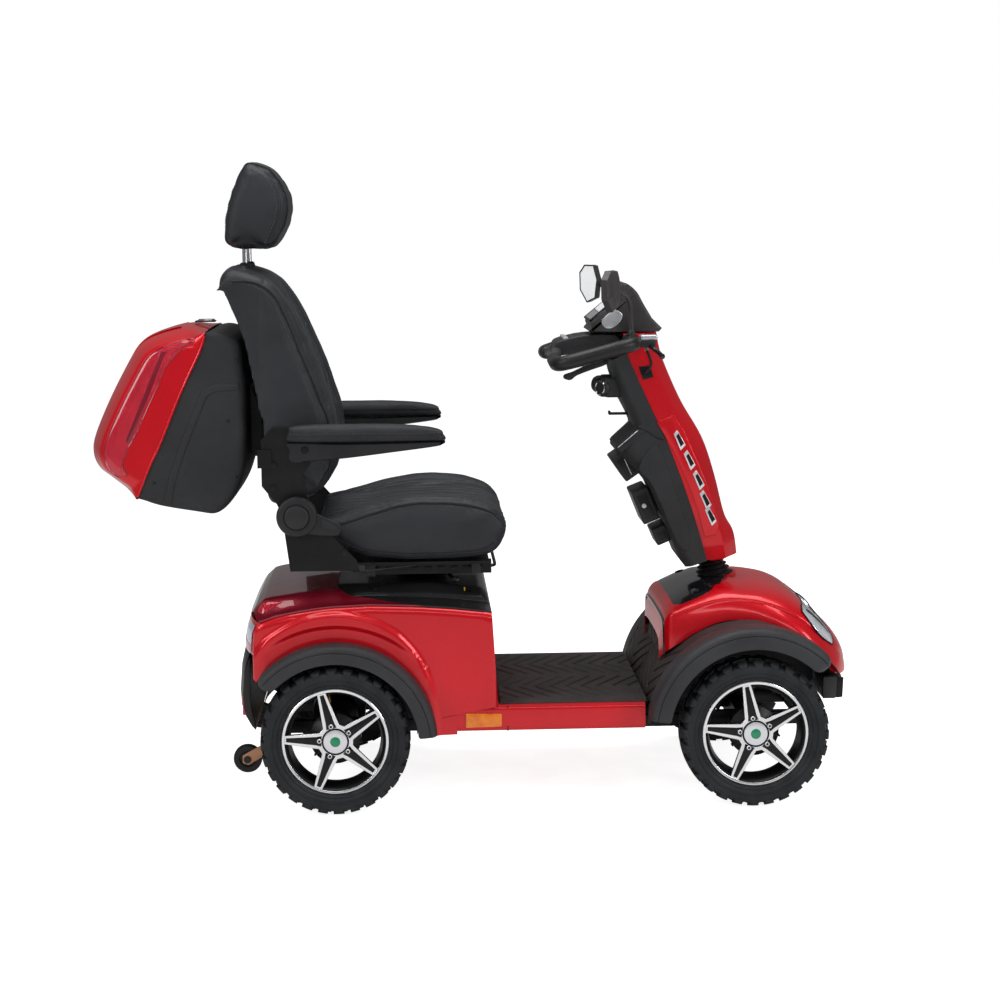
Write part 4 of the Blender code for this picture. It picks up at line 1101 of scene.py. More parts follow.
def floor():
    pieces = []
    rows = []
    for x in np.linspace(0.3605, 0.6900, 220):
        row = []
        for y in np.linspace(-0.2535, 0.2535, 330):
            edge = smooth(0.2535, 0.2480, abs(y)) * smooth(0.3605, 0.3660, x)
            z = 0.2270 + 0.0066 * edge - GROOVE_DEPTH * chevron(x, y) * edge
            row.append((REAR + x, y, z))
        rows.append(row)
    pieces.append(skin("flat_mat", rows, MAT, (0, 0, 1), 0.0015, crease=50))
    put(join("floor_mat_look", pieces), "chassis", "floor_mat", slot="rubber")

    arch = []
    for i in range(221):
        theta = 174.0 - (174.0 - 64.0) * i / 220
        row = []
        inner = mat_edge(theta)
        for j in range(171):
            y = inner - 0.004 + (0.3130 - inner + 0.004) * j / 170
            r = 0.2352
            x0 = theta * math.pi / 180 * 0.235
            lane = abs(y - 0.155)
            phase = ((x0 + 0.55 * lane) / 0.0340) % 1.0
            line = groove(phase)
            line *= smooth(0.2700, 0.2600, y) * smooth(128, 136, theta) * smooth(
                inner + 0.006, inner + 0.012, max(y, 0.02)
            )
            r -= GROOVE_DEPTH * line
            r -= 0.0010 * (1 - smooth(0.278, 0.290, y)) * smooth(60, 80, theta)
            row.append(
                (
                    REAR + FRONT_ARCH[0] + r * math.cos(math.radians(theta)),
                    y,
                    FRONT_ARCH[1] + r * math.sin(math.radians(theta)),
                )
            )
        arch.append(row)
    near = skin("arch_mat_left", arch, MAT, (-1, 0, 1), 0.0020, crease=50)
    far = mirrored(near, "arch_mat_right")
    put(join("front_arch_mat", [near, far]), "chassis", slot="rubber")

    # The painted floor pan with its rounded sills.
    half = 0.2718
    section = [
        (0.2500, 0.2262), (half - 0.0100, 0.2262), (half - 0.0035, 0.2250),
        (half - 0.0006, 0.2215), (half, 0.2165), (half, 0.1850), (half - 0.0010, 0.1760),
        (half - 0.0050, 0.1700), (half - 0.0110, 0.1682), (0.2400, 0.1682),
    ]
    rows = []
    for x in np.linspace(0.2637, 0.6858, 61):
        dip = 0.0022 * (1 - smooth(0.0, 0.0016, abs(x - 0.3800)))
        rows.append(
            [(REAR + x, -(y - dip), z) for y, z in section] + [
                (REAR + x, y - dip, z) for y, z in reversed(section)
            ]
        )
    pan = [grid("pan", rows, RED, close_across=True, caps=True, crease=35)]
    for side in (RIGHT, LEFT):
        lamp = plate(
            "sill_reflector",
            [(0.2870, 0.1780), (0.3665, 0.1800), (0.3665, 0.2085), (0.2870, 0.2110)],
            side * 0.2690,
            side * 0.2755,
            AMBER,
            0.0016,
        )
        pan.append(lamp)
        pan.append(
            plate(
                "sill_joint",
                [(0.3788, 0.1690), (0.3812, 0.1690), (0.3812, 0.2262), (0.3788, 0.2262)],
                side * 0.2690,
                side * 0.2714,
                RIM_BLACK,
            )
        )
    put(join("floor_pan_look", pan), "chassis", "floor_pan", slot="red_paint")


# Hood

HOOD = [  # x, half-width at the base, base z, shoulder z, top z, shoulder share of the half-width
    (0.7300, 0.150, 0.300, 0.340, 0.352, 0.93),
    (0.7400, 0.184, 0.322, 0.392, 0.400, 0.95),
    (0.7520, 0.1985, 0.334, 0.405, 0.426, 0.96),
    (0.7700, 0.2020, 0.346, 0.412, 0.436, 0.955),
    (0.8000, 0.2030, 0.366, 0.421, 0.452, 0.95),
    (0.8400, 0.2040, 0.386, 0.432, 0.466, 0.945),
    (0.8800, 0.2060, 0.397, 0.439, 0.471, 0.94),
    (0.9260, 0.2120, 0.398, 0.438, 0.467, 0.93),
    (0.9610, 0.2240, 0.390, 0.432, 0.464, 0.92),
    (1.0080, 0.2440, 0.374, 0.414, 0.455, 0.91),
    (1.0440, 0.2540, 0.350, 0.394, 0.438, 0.90),
    (1.0700, 0.2545, 0.328, 0.374, 0.414, 0.90),
    (1.0920, 0.2480, 0.306, 0.356, 0.390, 0.90),
    (1.1120, 0.2340, 0.282, 0.340, 0.374, 0.90),
    (1.1320, 0.2100, 0.272, 0.320, 0.356, 0.90),
    (1.1500, 0.1700, 0.270, 0.300, 0.330, 0.90),
    (1.1580, 0.1350, 0.270, 0.286, 0.302, 0.90),
    (1.1630, 0.0900, 0.270, 0.275, 0.279, 0.90),
]


def hood_row(values, points=29):
    x, half, base, shoulder, top, share = values
    side = []
    steps = 9
    for i in range(steps):
        t = i / steps
        side.append((half * (1 - (1 - share) * t**2.2), base + (shoulder - base) * t))
    crown = []
    for i in range(points):
        angle = math.pi / 2 * i / (points - 1)
        crown.append(
            (
                half * share * math.cos(angle) ** 0.72,
                shoulder + (top - shoulder) * math.sin(angle) ** 0.95,
            )
        )
    half_row = side + crown
    left = [(REAR + x, y, z) for y, z in half_row]
    right = [(REAR + x, -y, z) for y, z in reversed(half_row[:-1])]
    return left + right


def hood_at(x, y):
    """The hood's height at a place."""
    values = [float(np.interp(x, [row[0] for row in HOOD], [row[k] for row in HOOD])) for k in range(6)]
    row = hood_row(values)
    half = sorted((p[1], p[2]) for p in row if p[1] >= 0)
    return float(np.interp(abs(y), [a for a, _ in half], [b for _, b in half]))


def front_hood():
    stations = curve_through(HOOD, 5)
    rows = [hood_row(s) for s in stations]
    hood = face_out(grid("hood_skin", rows, RED, crease=50), (0, 0, 1))
    solid = hood.modifiers.new("wall", "SOLIDIFY")
    solid.thickness = 0.003
    solid.offset = -1.0
    bake(hood)
    smooth_off(hood, 50)
    pieces = [hood]
    # The line of the rolled edge round the hood's back.
    line = [(p[0] - REAR, p[1], p[2]) for p in hood_row((0.7390, 0.1790, 0.318, 0.386, 0.396, 0.95), 15)]
    # Gloss black panel round the steering boot, laid on the hood's skin.
    panel = []
    for i in range(31):
        u = i / 30
        x = 0.7600 + (0.8960 - 0.7600) * u
        reach = 0.172 * math.sqrt(max(0.0, 1 - max(0.0, (u - 0.25) / 0.75) ** 2.6)) * (
            0.90 + 0.10 * smooth(0, 0.15, u)
        )
        row = []
        for j in range(41):
            v = -1 + 2 * j / 40
            y = v * reach
            row.append((REAR + x, y, hood_at(x, y) + 0.0008 + 0.0007 * (1 - v**6)))
        panel.append(row)
    pieces.append(skin("hood_panel", panel, GLOSSY, (0, 0, 1), 0.0015))
    for side in (RIGHT, LEFT):
        z = hood_at(0.812, 0.135)
        ring = [(0.0105, -0.0010), (0.0105, 0.0012), (0.0085, 0.0018), (0.0070, 0.0008), (0.0001, 0.0006)]
        pieces.append(
            lathe(
                "panel_key",
                ring,
                (REAR + 0.812, side * 0.135, z + 0.0012),
                (-0.25, side * 0.35, 0.9),
                PLASTIC,
                steps=28,
            )
        )
    # Red lip that the boot stands in.
    lip = [
        (0.0530, -0.008), (0.0530, 0.001), (0.0510, 0.0028), (0.0470, 0.0032), (0.0450, 0.0014),
        (0.0450, -0.004),
    ]
    lean = Vector((-0.204, 0, 1)).normalized()
    foot = Vector((REAR + 0.872 + 0.204 * (0.483 - 0.4655), 0, 0.4640))
    pieces.append(lathe("boot_lip", lip, foot, lean, RED, steps=64))
    # A dark strut inside the nose and a bolt on the hood, each side.
    for side in (RIGHT, LEFT):
        strut = plate(
            "nose_strut",
            [(1.070, 0.200), (1.082, 0.200), (1.098, 0.300), (1.082, 0.316)],
            side * 0.098,
            side * 0.106,
            MATTE,
            0.001,
        )
        pieces.append(strut)
        pieces.append(
            dots("nose_bolt", [(REAR + 0.930, side * 0.2090, 0.405)], 0.0042, CHROME, (0, side, 0))
        )
    put(join("front_hood_look", pieces), "chassis", "front_hood", slot="red_paint")
    roll = pipe("hood_back_edge", line, 0.0040, GLOSSY, sides=12, steps=2)
    shield = []
    for level in range(41):
        share = level / 40
        row = []
        for y in np.linspace(-0.176, 0.176, 61):
            crown = 0.388 - 0.034 * smooth(0.120, 0.176, abs(y))
            low = 0.286
            groove = 0.0018 * (
                1.0 - smooth(
                    0.06, 0.18, abs(((share * 0.11 + 0.55 * abs(abs(y) - 0.088)) / 0.034) % 1.0 - 0.5)
                )
            )
            row.append((REAR + 0.7345 + 0.020 * share**1.5 + groove, y, low + (crown - low) * share))
        shield.append(row)
    put(skin("leg_shield", shield, MAT, (-1, 0, 0.2), 0.002, crease=50), "chassis", slot="rubber")
    put(roll, "chassis", slot="red_paint")


def headlight_shape(side_name, side):
    """A clear lens wrapped on the hood's corner, with a dark bezel and a dark brow across the lens."""
    rows = []
    outline_low = [(1.044, 0.4150), (1.063, 0.3880), (1.081, 0.3640), (1.100, 0.3480), (1.1150, 0.3370)]
    outline_high = [(1.049, 0.4220), (1.068, 0.4180), (1.086, 0.4060), (1.102, 0.3860), (1.1170, 0.3500)]
    for i in range(25):
        u = i / 24
        xl, zl = np.array(curve_through(outline_low, 6))[min(24, i)][:2]
        xh, zh = np.array(curve_through(outline_high, 6))[min(24, i)][:2]
        row = []
        for j in range(17):
            v = j / 16
            x, z = xl + (xh - xl) * v, zl + (zh - zl) * v
            # Out to the hood's skin at this height.
            values = [float(np.interp(x, [r[0] for r in HOOD], [r[k] for r in HOOD])) for k in range(6)]
            half = sorted(((p[2], p[1]) for p in hood_row(values) if p[1] >= 0))
            y = float(np.interp(z, [a for a, _ in half], [b for _, b in half]))
            swell = 0.0030 + 0.0035 * math.sin(math.pi * v) * math.sin(math.pi * u)
            row.append((REAR + x, side * (y + swell), z + 0.4 * swell))
        rows.append(row)
    lens = skin(f"headlight_{side_name}_lens", rows, LENS, (0.2, side, 0.4), 0.0015)
    edge = [rows[i][0] for i in range(25)]
    edge += [rows[24][j] for j in range(17)]
    edge += [rows[i][16] for i in range(24, -1, -1)]
    edge += [rows[0][j] for j in range(16, -1, -1)]
    rim = pipe("rim", [(p[0] - REAR, p[1], p[2]) for p in edge[::2]], 0.0016, RIM_BLACK, sides=8, steps=0)
    dark = []
    for i in range(4, 21):
        dark.append([(p[0], p[1] + side * 0.0007, p[2]) for p in rows[i][9:12]])
    brow = skin("brow", dark, RIM_BLACK, (0.2, side, 0.4), 0.0006)
    put(
        join(f"headlight_{side_name}_look", [lens, rim, brow]),
        "chassis",
        f"headlight_{side_name}",
        slot="clear_lens",
    )


def bumpers():
    rows = []
    for y in np.linspace(-0.2140, 0.2140, 31):
        back = 0.020 * abs(y / 0.214) ** 3
        section = [
            (1.094, 0.2650), (1.120, 0.2655), (1.1510 - back, 0.2610), (1.1565 - back, 0.2500),
            (1.1500 - back, 0.2460), (1.1500 - back, 0.2350), (1.1530 - back, 0.2310),
            (1.1440 - back, 0.2180), (1.1200, 0.2155), (1.094, 0.2155),
        ]
        rows.append([(REAR + x, y, z) for x, z in section])
    front = soften(grid("bumper", rows, SMOKE, close_across=True, caps=True, crease=30), 0.0015, 2)
    pieces = [front]
    for side in (RIGHT, LEFT):
        pieces.append(
            plate(
                "bumper_stripe",
                [(1.124, 0.2170), (1.138, 0.2185), (1.140, 0.2640), (1.126, 0.2650)],
                side * 0.2125,
                side * 0.2149,
                RIM_BLACK,
                0.0008,
            )
        )
    put(join("front_bumper_look", pieces), "chassis", "front_bumper", slot="black_plastic")

    rows = []
    levels = [
        (0.1712, -0.1930, -0.1790), (0.1800, -0.2010, -0.1790), (0.2000, -0.2120, -0.1830),
        (0.2200, -0.2180, -0.1880), (0.2500, -0.2195, -0.1890), (0.3050, -0.2150, -0.1890),
        (0.3350, -0.2080, -0.1890), (0.3450, -0.2000, -0.1890),
    ]
    for y in np.linspace(-0.2295, 0.2295, 41):
        back = 0.014 * abs(y / 0.2295) ** 4
        rows.append(
            [(REAR + out + back, y, z) for z, out, _ in levels] + [
                (REAR + inner, y, z) for z, _, inner in reversed(levels)
            ]
        )
    rear = soften(grid("bumper", rows, PLASTIC, close_across=True, caps=True, crease=40), 0.0015, 2)
    pieces = [rear]
    for side in (RIGHT, LEFT):
        pieces.append(
            block(
                "bumper_reflector",
                (-0.2075, side * 0.2150 - 0.012, 0.2050),
                (-0.1990, side * 0.2150 + 0.012, 0.2480),
                RED_LENS,
                0.002,
            )
        )
    put(join("rear_bumper_look", pieces), "chassis", "rear_bumper", slot="black_plastic")

    for side_name, side in (("right", RIGHT), ("left", LEFT)):
        rows = []
        for i in range(17):
            z = 0.3520 + (0.4150 - 0.3520) * i / 16
            mid = lookup(z, [(0.352, -0.2035), (0.376, -0.2010), (0.400, -0.1960), (0.415, -0.1900)])
            edge = lookup(z, [(0.352, -0.1790), (0.400, -0.1750), (0.415, -0.1700)])
            row = []
            for j in range(21):
                y = 0.140 + (0.2580 - 0.140) * j / 20
                x = edge + (mid - edge) * (
                    1 - abs(y / 0.272) ** 4
                ) - 0.0015 - 0.0010 * math.sin(math.pi * i / 16)
                row.append((REAR + max(x, -0.2105), side * y, z))
            rows.append(row)
        lens = skin(f"tail_light_{side_name}_look", rows, LAMP_PALE, (-1, 0, 0), 0.002)
        band = skin(
            "band",
            [[(p[0] - 0.0008, p[1], p[2]) for p in row] for row in rows[1:6]],
            RED_LENS,
            (-1, 0, 0),
            0.001,
        )
        put(
            join(f"tail_light_{side_name}_look", [lens, band]),
            "chassis",
            f"tail_light_{side_name}",
            slot="red_lens",
        )


rear_body()
rear_lid()
seat_deck()
fenders()
floor()
front_hood()
headlight_shape("right", RIGHT)
headlight_shape("left", LEFT)
bumpers()


# Soft goods


def outline_inset(outline, distance):
    """The closed (x, z) outline moved inwards."""
    count = len(outline)
    area = sum(
        outline[i][0] * outline[(i + 1) % count][1] - outline[(i + 1) % count][0] * outline[i][1]
        for i in range(count)
    )
    way = 1.0 if area > 0 else -1.0
    out = []
    for i in range(count):
        (ax, az), (bx, bz) = outline[i - 1], outline[(i + 1) % count]
        length = max(1e-9, math.hypot(bx - ax, bz - az))
        out.append(
            (
                outline[i][0] - way * (bz - az) / length * distance,
                outline[i][1] + way * (bx - ax) / length * distance,
            )
        )
    return out


def pad_mesh(name, outline, half, edge, mat, form=None, middle_y=0.0):
    """A closed cushion: the outline across the seat with rounded ends. form(x, y, z) shapes it."""
    fine = curve_through(outline, 5, closed=True)
    stops = [-half + edge * (1 - math.cos(math.pi / 2 * k / 8)) for k in range(9)]
    stops = stops + [float(y) for y in np.linspace(-half + edge, half - edge, 30)[1:-1]] + [
        -y for y in reversed(stops)
    ]
    rows = []
    for y in stops:
        past = max(0.0, abs(y) - (half - edge)) / edge
        ring = outline_inset(fine, edge * (1 - math.sqrt(max(0.0, 1 - past**2))))
        row = []
        for x, z in ring:
            x2, z2 = form(x, y, z) if form else (x, z)
            row.append((REAR + x2, middle_y + y, z2))
        rows.append(row)
    return grid(name, rows, mat, close_across=True, caps=True)


def remesh(obj, size):
    step = obj.modifiers.new("remesh", "REMESH")
    step.mode = "VOXEL"
    step.voxel_size = size
    return bake(obj)


def inflate(obj, cap, held):
    """Blows the cover up as cloth. held(point) says which vertices stay sewn down."""
    before = [v.co.copy() for v in obj.data.vertices]
    group = obj.vertex_groups.new(name="sewn")
    group.add([i for i, p in enumerate(before) if held(p)], 1.0, "REPLACE")
    cloth = obj.modifiers.new("cover", "CLOTH")
    cloth.settings.quality = 4
    cloth.settings.mass = 0.25
    cloth.settings.use_pressure = True
    cloth.settings.uniform_pressure_force = 4.0
    cloth.settings.vertex_group_mass = "sewn"
    cloth.settings.effector_weights.gravity = 0.0
    cloth.collision_settings.use_collision = False
    cloth.collision_settings.use_self_collision = False
    scene = bpy.context.scene
    for number in range(1, 21):
        scene.frame_set(number)
    bake(obj)
    scene.frame_set(1)
    for v, old in zip(obj.data.vertices, before):
        move = v.co - old
        if move.length > cap:
            v.co = old + move * (cap / move.length)
    return obj


def finer(obj, smoothing=2):
    ease = obj.modifiers.new("ease", "SMOOTH")
    ease.factor = 0.5
    ease.iterations = smoothing
    split = obj.modifiers.new("finer", "SUBSURF")
    split.levels = 1
    split.render_levels = 1
    return bake(obj)


def press(obj, depth):
    """Moves every vertex inwards by depth(x, y, z, normal), given from the axle."""
    normals = [v.normal.copy() for v in obj.data.vertices]
    for v, n in zip(obj.data.vertices, normals):
        d = depth(v.co.x - REAR, v.co.y, v.co.z, n)
        if d:
            v.co -= n * d
    obj.data.update()
    smooth_off(obj, 70)


def surface_of(obj):
    verts = [v.co.copy() for v in obj.data.vertices]
    return BVHTree.FromPolygons(verts, [tuple(p.vertices) for p in obj.data.polygons])


def laid(surface, points, lift, step=0.004):
    """Points every step along the line, dropped on the surface and lifted by lift: (place, normal)."""
    line = [Vector(p) + Vector((REAR, 0, 0)) for p in curve_through(points, 12)]
    out, left = [], 0.0
    for a, b in zip(line, line[1:]):
        length = (b - a).length
        while left < length:
            spot, normal, _, _ = surface.find_nearest(a + (b - a) * (left / length))
            out.append((spot + normal * lift, normal))
            left += step
        left -= length
    return out


def piping(name, surface, points, radius, mat, lift=0.0012):
    line = [p for p, _ in laid(surface, points, lift, 0.006)]
    return pipe(name, [(p.x - REAR, p.y, p.z) for p in line], radius, mat, sides=8, steps=2)


def stitching(name, surface, points, length=0.0048, gap=0.0030, radius=0.00075):
    """A row of separate thread loops."""
    verts, faces = [], []
    spots = laid(surface, points, radius * 0.5, (length + gap) / 2)
    for (a, na), (b, _) in zip(spots[::2], spots[1::2]):
        along = (b - a)
        if along.length < 1e-5:
            continue
        along = along.normalized()
        across = along.cross(na).normalized()
        rings = ((-0.04, 0.35), (0.12, 1.0), (0.88, 1.0), (1.04, 0.35))
        start = len(verts)
        for share, size in rings:
            mid = a + along * (length * share)
            for k in range(6):
                angle = 2 * math.pi * k / 6
                verts.append(mid + size * radius * (math.cos(angle) * across + math.sin(angle) * na))
        for ring in range(3):
            for k in range(6):
                m = (k + 1) % 6
                faces.append(
                    (
                        start + ring * 6 + k,
                        start + ring * 6 + m,
                        start + ring * 6 + 6 + m,
                        start + ring * 6 + 6 + k,
                    )
                )
        faces.append(tuple(start + k for k in reversed(range(6))))
        faces.append(tuple(start + 18 + k for k in range(6)))
    return new_mesh(name, verts, faces, THREAD, crease=60)


def valley(distance, width):
    """1 on a sewn line, falling to 0 at width."""
    return math.exp(-((distance / width) ** 2) * 3.0)


# Seat cushion

SEAT = [
    (-0.006, 0.590), (0.060, 0.556), (0.147, 0.5455), (0.257, 0.5455), (0.334, 0.552),
    (0.366, 0.568), (0.384, 0.600), (0.387, 0.625), (0.375, 0.652), (0.345, 0.676),
    (0.268, 0.695), (0.208, 0.698), (0.148, 0.692), (0.076, 0.674), (0.016, 0.656),
    (-0.030, 0.645), (-0.034, 0.620),
]
SEAT_SEAM = [
    (-0.024, 0.632), (0.017, 0.641), (0.061, 0.656), (0.105, 0.669), (0.149, 0.681),
    (0.193, 0.685), (0.259, 0.684), (0.314, 0.677), (0.358, 0.661), (0.377, 0.640),
]
SEAT_HALF = 0.238
SEAT_PANEL = 0.150


def seat_dish(x, y):
    """How far the centre of the seat lies below its side bolsters."""
    deep = lookup(
        x,
        [
            (-0.04, 0.002), (0.02, 0.012), (0.08, 0.026), (0.20, 0.034), (0.29, 0.024),
            (0.34, 0.012), (0.39, 0.004),
        ],
    )
    return deep * (1 - smooth(0.105, 0.185, abs(y)))


def seat_form(x, y, z):
    low = lookup(x, [(-0.02, 0.600), (0.10, 0.575), (0.30, 0.575), (0.38, 0.590)])
    top = smooth(low, low + 0.070, z)
    crown = 0.007 * (abs(y) / SEAT_HALF) ** 4
    return x, z - (seat_dish(x, y) + crown) * top


def seat_cushion():
    body = pad_mesh(
        "seat_cover",
        outline_inset(curve_through(SEAT, 3, closed=True)[::3], 0.004),
        SEAT_HALF - 0.004,
        0.024,
        LEATHER,
        seat_form,
    )
    remesh(body, 0.0055)
    inflate(body, 0.010, lambda p: p.z < 0.562 or abs(abs(p.y) - SEAT_PANEL) < 0.003)
    finer(body)

    def depth(x, y, z, n):
        d = 0.0
        if n.z > 0.15 or n.x > 0.3:
            d += 0.0050 * valley(abs(y) - SEAT_PANEL, 0.0085)
            if abs(y) < SEAT_PANEL:
                rib = abs(((y + SEAT_PANEL) / 0.0500) % 1.0 - 0.5) * 0.0500
                d += 0.0040 * valley(0.025 - rib, 0.0080) * (1 if abs(y) < SEAT_PANEL - 0.012 else 0)
        seam = lookup(x, SEAT_SEAM)
        if abs(y) > 0.215:
            d += 0.0022 * valley(z - seam + 0.004, 0.007)
        ripple = noise.noise(Vector((x * 16, y * 11, z * 14))) * 0.0014 + noise.noise(
            Vector((x * 40, y * 34, z * 40))
        ) * 0.0005
        return d + ripple

    press(body, depth)
    surface = surface_of(body)
    extras = []
    for side in (RIGHT, LEFT):
        edge = [(x, side * 0.236, z) for x, z in SEAT_SEAM]
        extras.append(piping("seat_piping", surface, edge, 0.0026, LEATHER_CENTRE))
        extras.append(
            stitching("side_stitch", surface, [(x, side * 0.238, z - 0.013) for x, z in SEAT_SEAM])
        )
        extras.append(
            stitching("top_stitch", surface, [(x, side * 0.214, z + 0.020) for x, z in SEAT_SEAM])
        )
        inner = [
            (x, side * (SEAT_PANEL + 0.009), lookup(x, SEAT_SEAM)) for x in np.linspace(0.000, 0.372, 10)
        ]
        extras.append(stitching("panel_stitch", surface, inner))
        inner = [
            (x, side * (SEAT_PANEL - 0.009), lookup(x, SEAT_SEAM)) for x in np.linspace(0.000, 0.372, 10)
        ]
        extras.append(stitching("panel_stitch", surface, inner))
        low = [
            (
                x,
                side * 0.240,
                lookup(
                    x,
                    [
                        (0.0, 0.600), (0.060, 0.570), (0.147, 0.560), (0.257, 0.560),
                        (0.334, 0.566), (0.365, 0.585),
                    ],
                ),
            )
            for x in np.linspace(0.005, 0.362, 10)
        ]
        extras.append(piping("low_piping", surface, low, 0.0018, LEATHER_CENTRE))
    front = [(0.385, y, 0.632 - 0.012 * (y / 0.2) ** 2) for y in np.linspace(-0.215, 0.215, 12)]
    extras.append(stitching("front_stitch", surface, front))
    put(body, "seat", "seat_cushion", slot="leather")
    put(join("seat_trim", extras), "seat", slot="leather")


# Backrest

BACK = [
    (-0.120, 0.670), (-0.147, 0.700), (-0.151, 0.845), (-0.161, 0.882), (-0.174, 0.953),
    (-0.194, 1.047), (-0.236, 1.156), (-0.240, 1.171), (-0.230, 1.190), (-0.209, 1.199),
    (-0.170, 1.191), (-0.120, 1.166), (-0.079, 1.107), (-0.035, 1.013), (-0.001, 0.918),
    (0.018, 0.866), (0.021, 0.774), (0.008, 0.739), (-0.015, 0.706), (-0.040, 0.689),
    (-0.075, 0.674),
]
BACK_SEAM = [
    (-0.205, 1.165), (-0.178, 1.167), (-0.142, 1.160), (-0.114, 1.138), (-0.098, 1.114),
    (-0.063, 1.025), (-0.021, 0.926), (0.003, 0.849), (0.006, 0.800), (0.000, 0.750),
    (-0.022, 0.715),
]
BACK_HALF = 0.233
BACK_PANEL = 0.138


def back_front(z):
    return lookup(z, sorted((z, x) for x, z in BACK[11:]))


def back_form(x, y, z):
    rear = lookup(
        z, [(0.67, -0.13), (0.85, -0.151), (0.95, -0.174), (1.05, -0.194), (1.16, -0.236), (1.2, -0.240)]
    )
    front = smooth(rear + 0.03, rear + 0.12, x)
    deep = lookup(z, [(0.70, 0.004), (0.80, 0.016), (1.00, 0.024), (1.10, 0.022), (1.17, 0.006)])
    return x - deep * front * (
        1 - smooth(0.095, 0.185, abs(y))
    ), z - 0.012 * (abs(y) / BACK_HALF) ** 5 * smooth(1.05, 1.18, z)


def backrest_cushion():
    body = pad_mesh(
        "backrest_cover",
        outline_inset(curve_through(BACK, 3, closed=True)[::3], 0.004),
        BACK_HALF - 0.004,
        0.026,
        LEATHER,
        back_form,
    )
    remesh(body, 0.0060)
    inflate(body, 0.010, lambda p: p.x - REAR < -0.148 or abs(abs(p.y) - BACK_PANEL) < 0.003)
    finer(body)

    def depth(x, y, z, n):
        d = 0.0
        if n.x > 0.1:
            inside = abs(y) < BACK_PANEL
            d += 0.0050 * valley(abs(y) - BACK_PANEL, 0.0085)
            if inside:
                phase = ((z - 0.9 * abs(y)) / 0.0620) % 1.0
                d += 0.0034 * valley((abs(phase - 0.5) - 0.5) * 0.0620, 0.0080)
        if abs(y) > 0.205:
            seam = lookup(z, sorted((b, a) for a, b in BACK_SEAM[2:]))
            d += 0.0022 * valley(x - seam - 0.004, 0.007) * smooth(0.71, 0.74, z)
        return d + noise.noise(Vector((x * 14, y * 12, z * 13))) * 0.0014 + noise.noise(
            Vector((x * 40, y * 36, z * 38))
        ) * 0.0005

    press(body, depth)
    surface = surface_of(body)
    extras = []
    for side in (RIGHT, LEFT):
        edge = [(x, side * 0.231, z) for x, z in BACK_SEAM]
        extras.append(piping("back_piping", surface, edge, 0.0026, LEATHER_CENTRE))
        extras.append(
            stitching(
                "back_stitch", surface, [(x - 0.014, side * 0.233, z - 0.006) for x, z in BACK_SEAM]
            )
        )
        extras.append(
            stitching(
                "back_stitch", surface, [(x + 0.020, side * 0.206, z + 0.006) for x, z in BACK_SEAM[2:]]
            )
        )
        for inset in (0.009, -0.009):
            line = [(back_front(z), side * (BACK_PANEL + inset), z) for z in np.linspace(0.72, 1.15, 10)]
            extras.append(stitching("panel_stitch", surface, line))
        for level in np.arange(0.76, 1.20, 0.062):
            line = [
                (
                    back_front(level - 0.9 * (BACK_PANEL - y)),
                    side * y,
                    level - 0.9 * (BACK_PANEL - y) + 0.006,
                )
                for y in np.linspace(0.006, BACK_PANEL - 0.006, 6)
            ]
            line = [p for p in line if 0.72 < p[2] < 1.15]
            if len(line) > 2:
                extras.append(stitching("chevron_stitch", surface, line))
    put(body, "backrest", "backrest_cushion", slot="leather")
    put(join("backrest_trim", extras), "backrest", slot="leather")


# Headrest

HEAD = [
    (-0.173, 1.4265), (-0.150, 1.4225), (-0.126, 1.4110), (-0.104, 1.385), (-0.089, 1.354),
    (-0.085, 1.320), (-0.091, 1.289), (-0.105, 1.258), (-0.119, 1.238), (-0.137, 1.229),
    (-0.205, 1.231), (-0.227, 1.242), (-0.233, 1.261), (-0.230, 1.299), (-0.217, 1.350),
    (-0.200, 1.395), (-0.186, 1.4200),
]
HEAD_HALF = 0.125
HEAD_SEAM = [
    (1.232, -0.140), (1.258, -0.127), (1.289, -0.113), (1.320, -0.107), (1.354, -0.110),
    (1.385, -0.124), (1.406, -0.145), (1.420, -0.165),
]


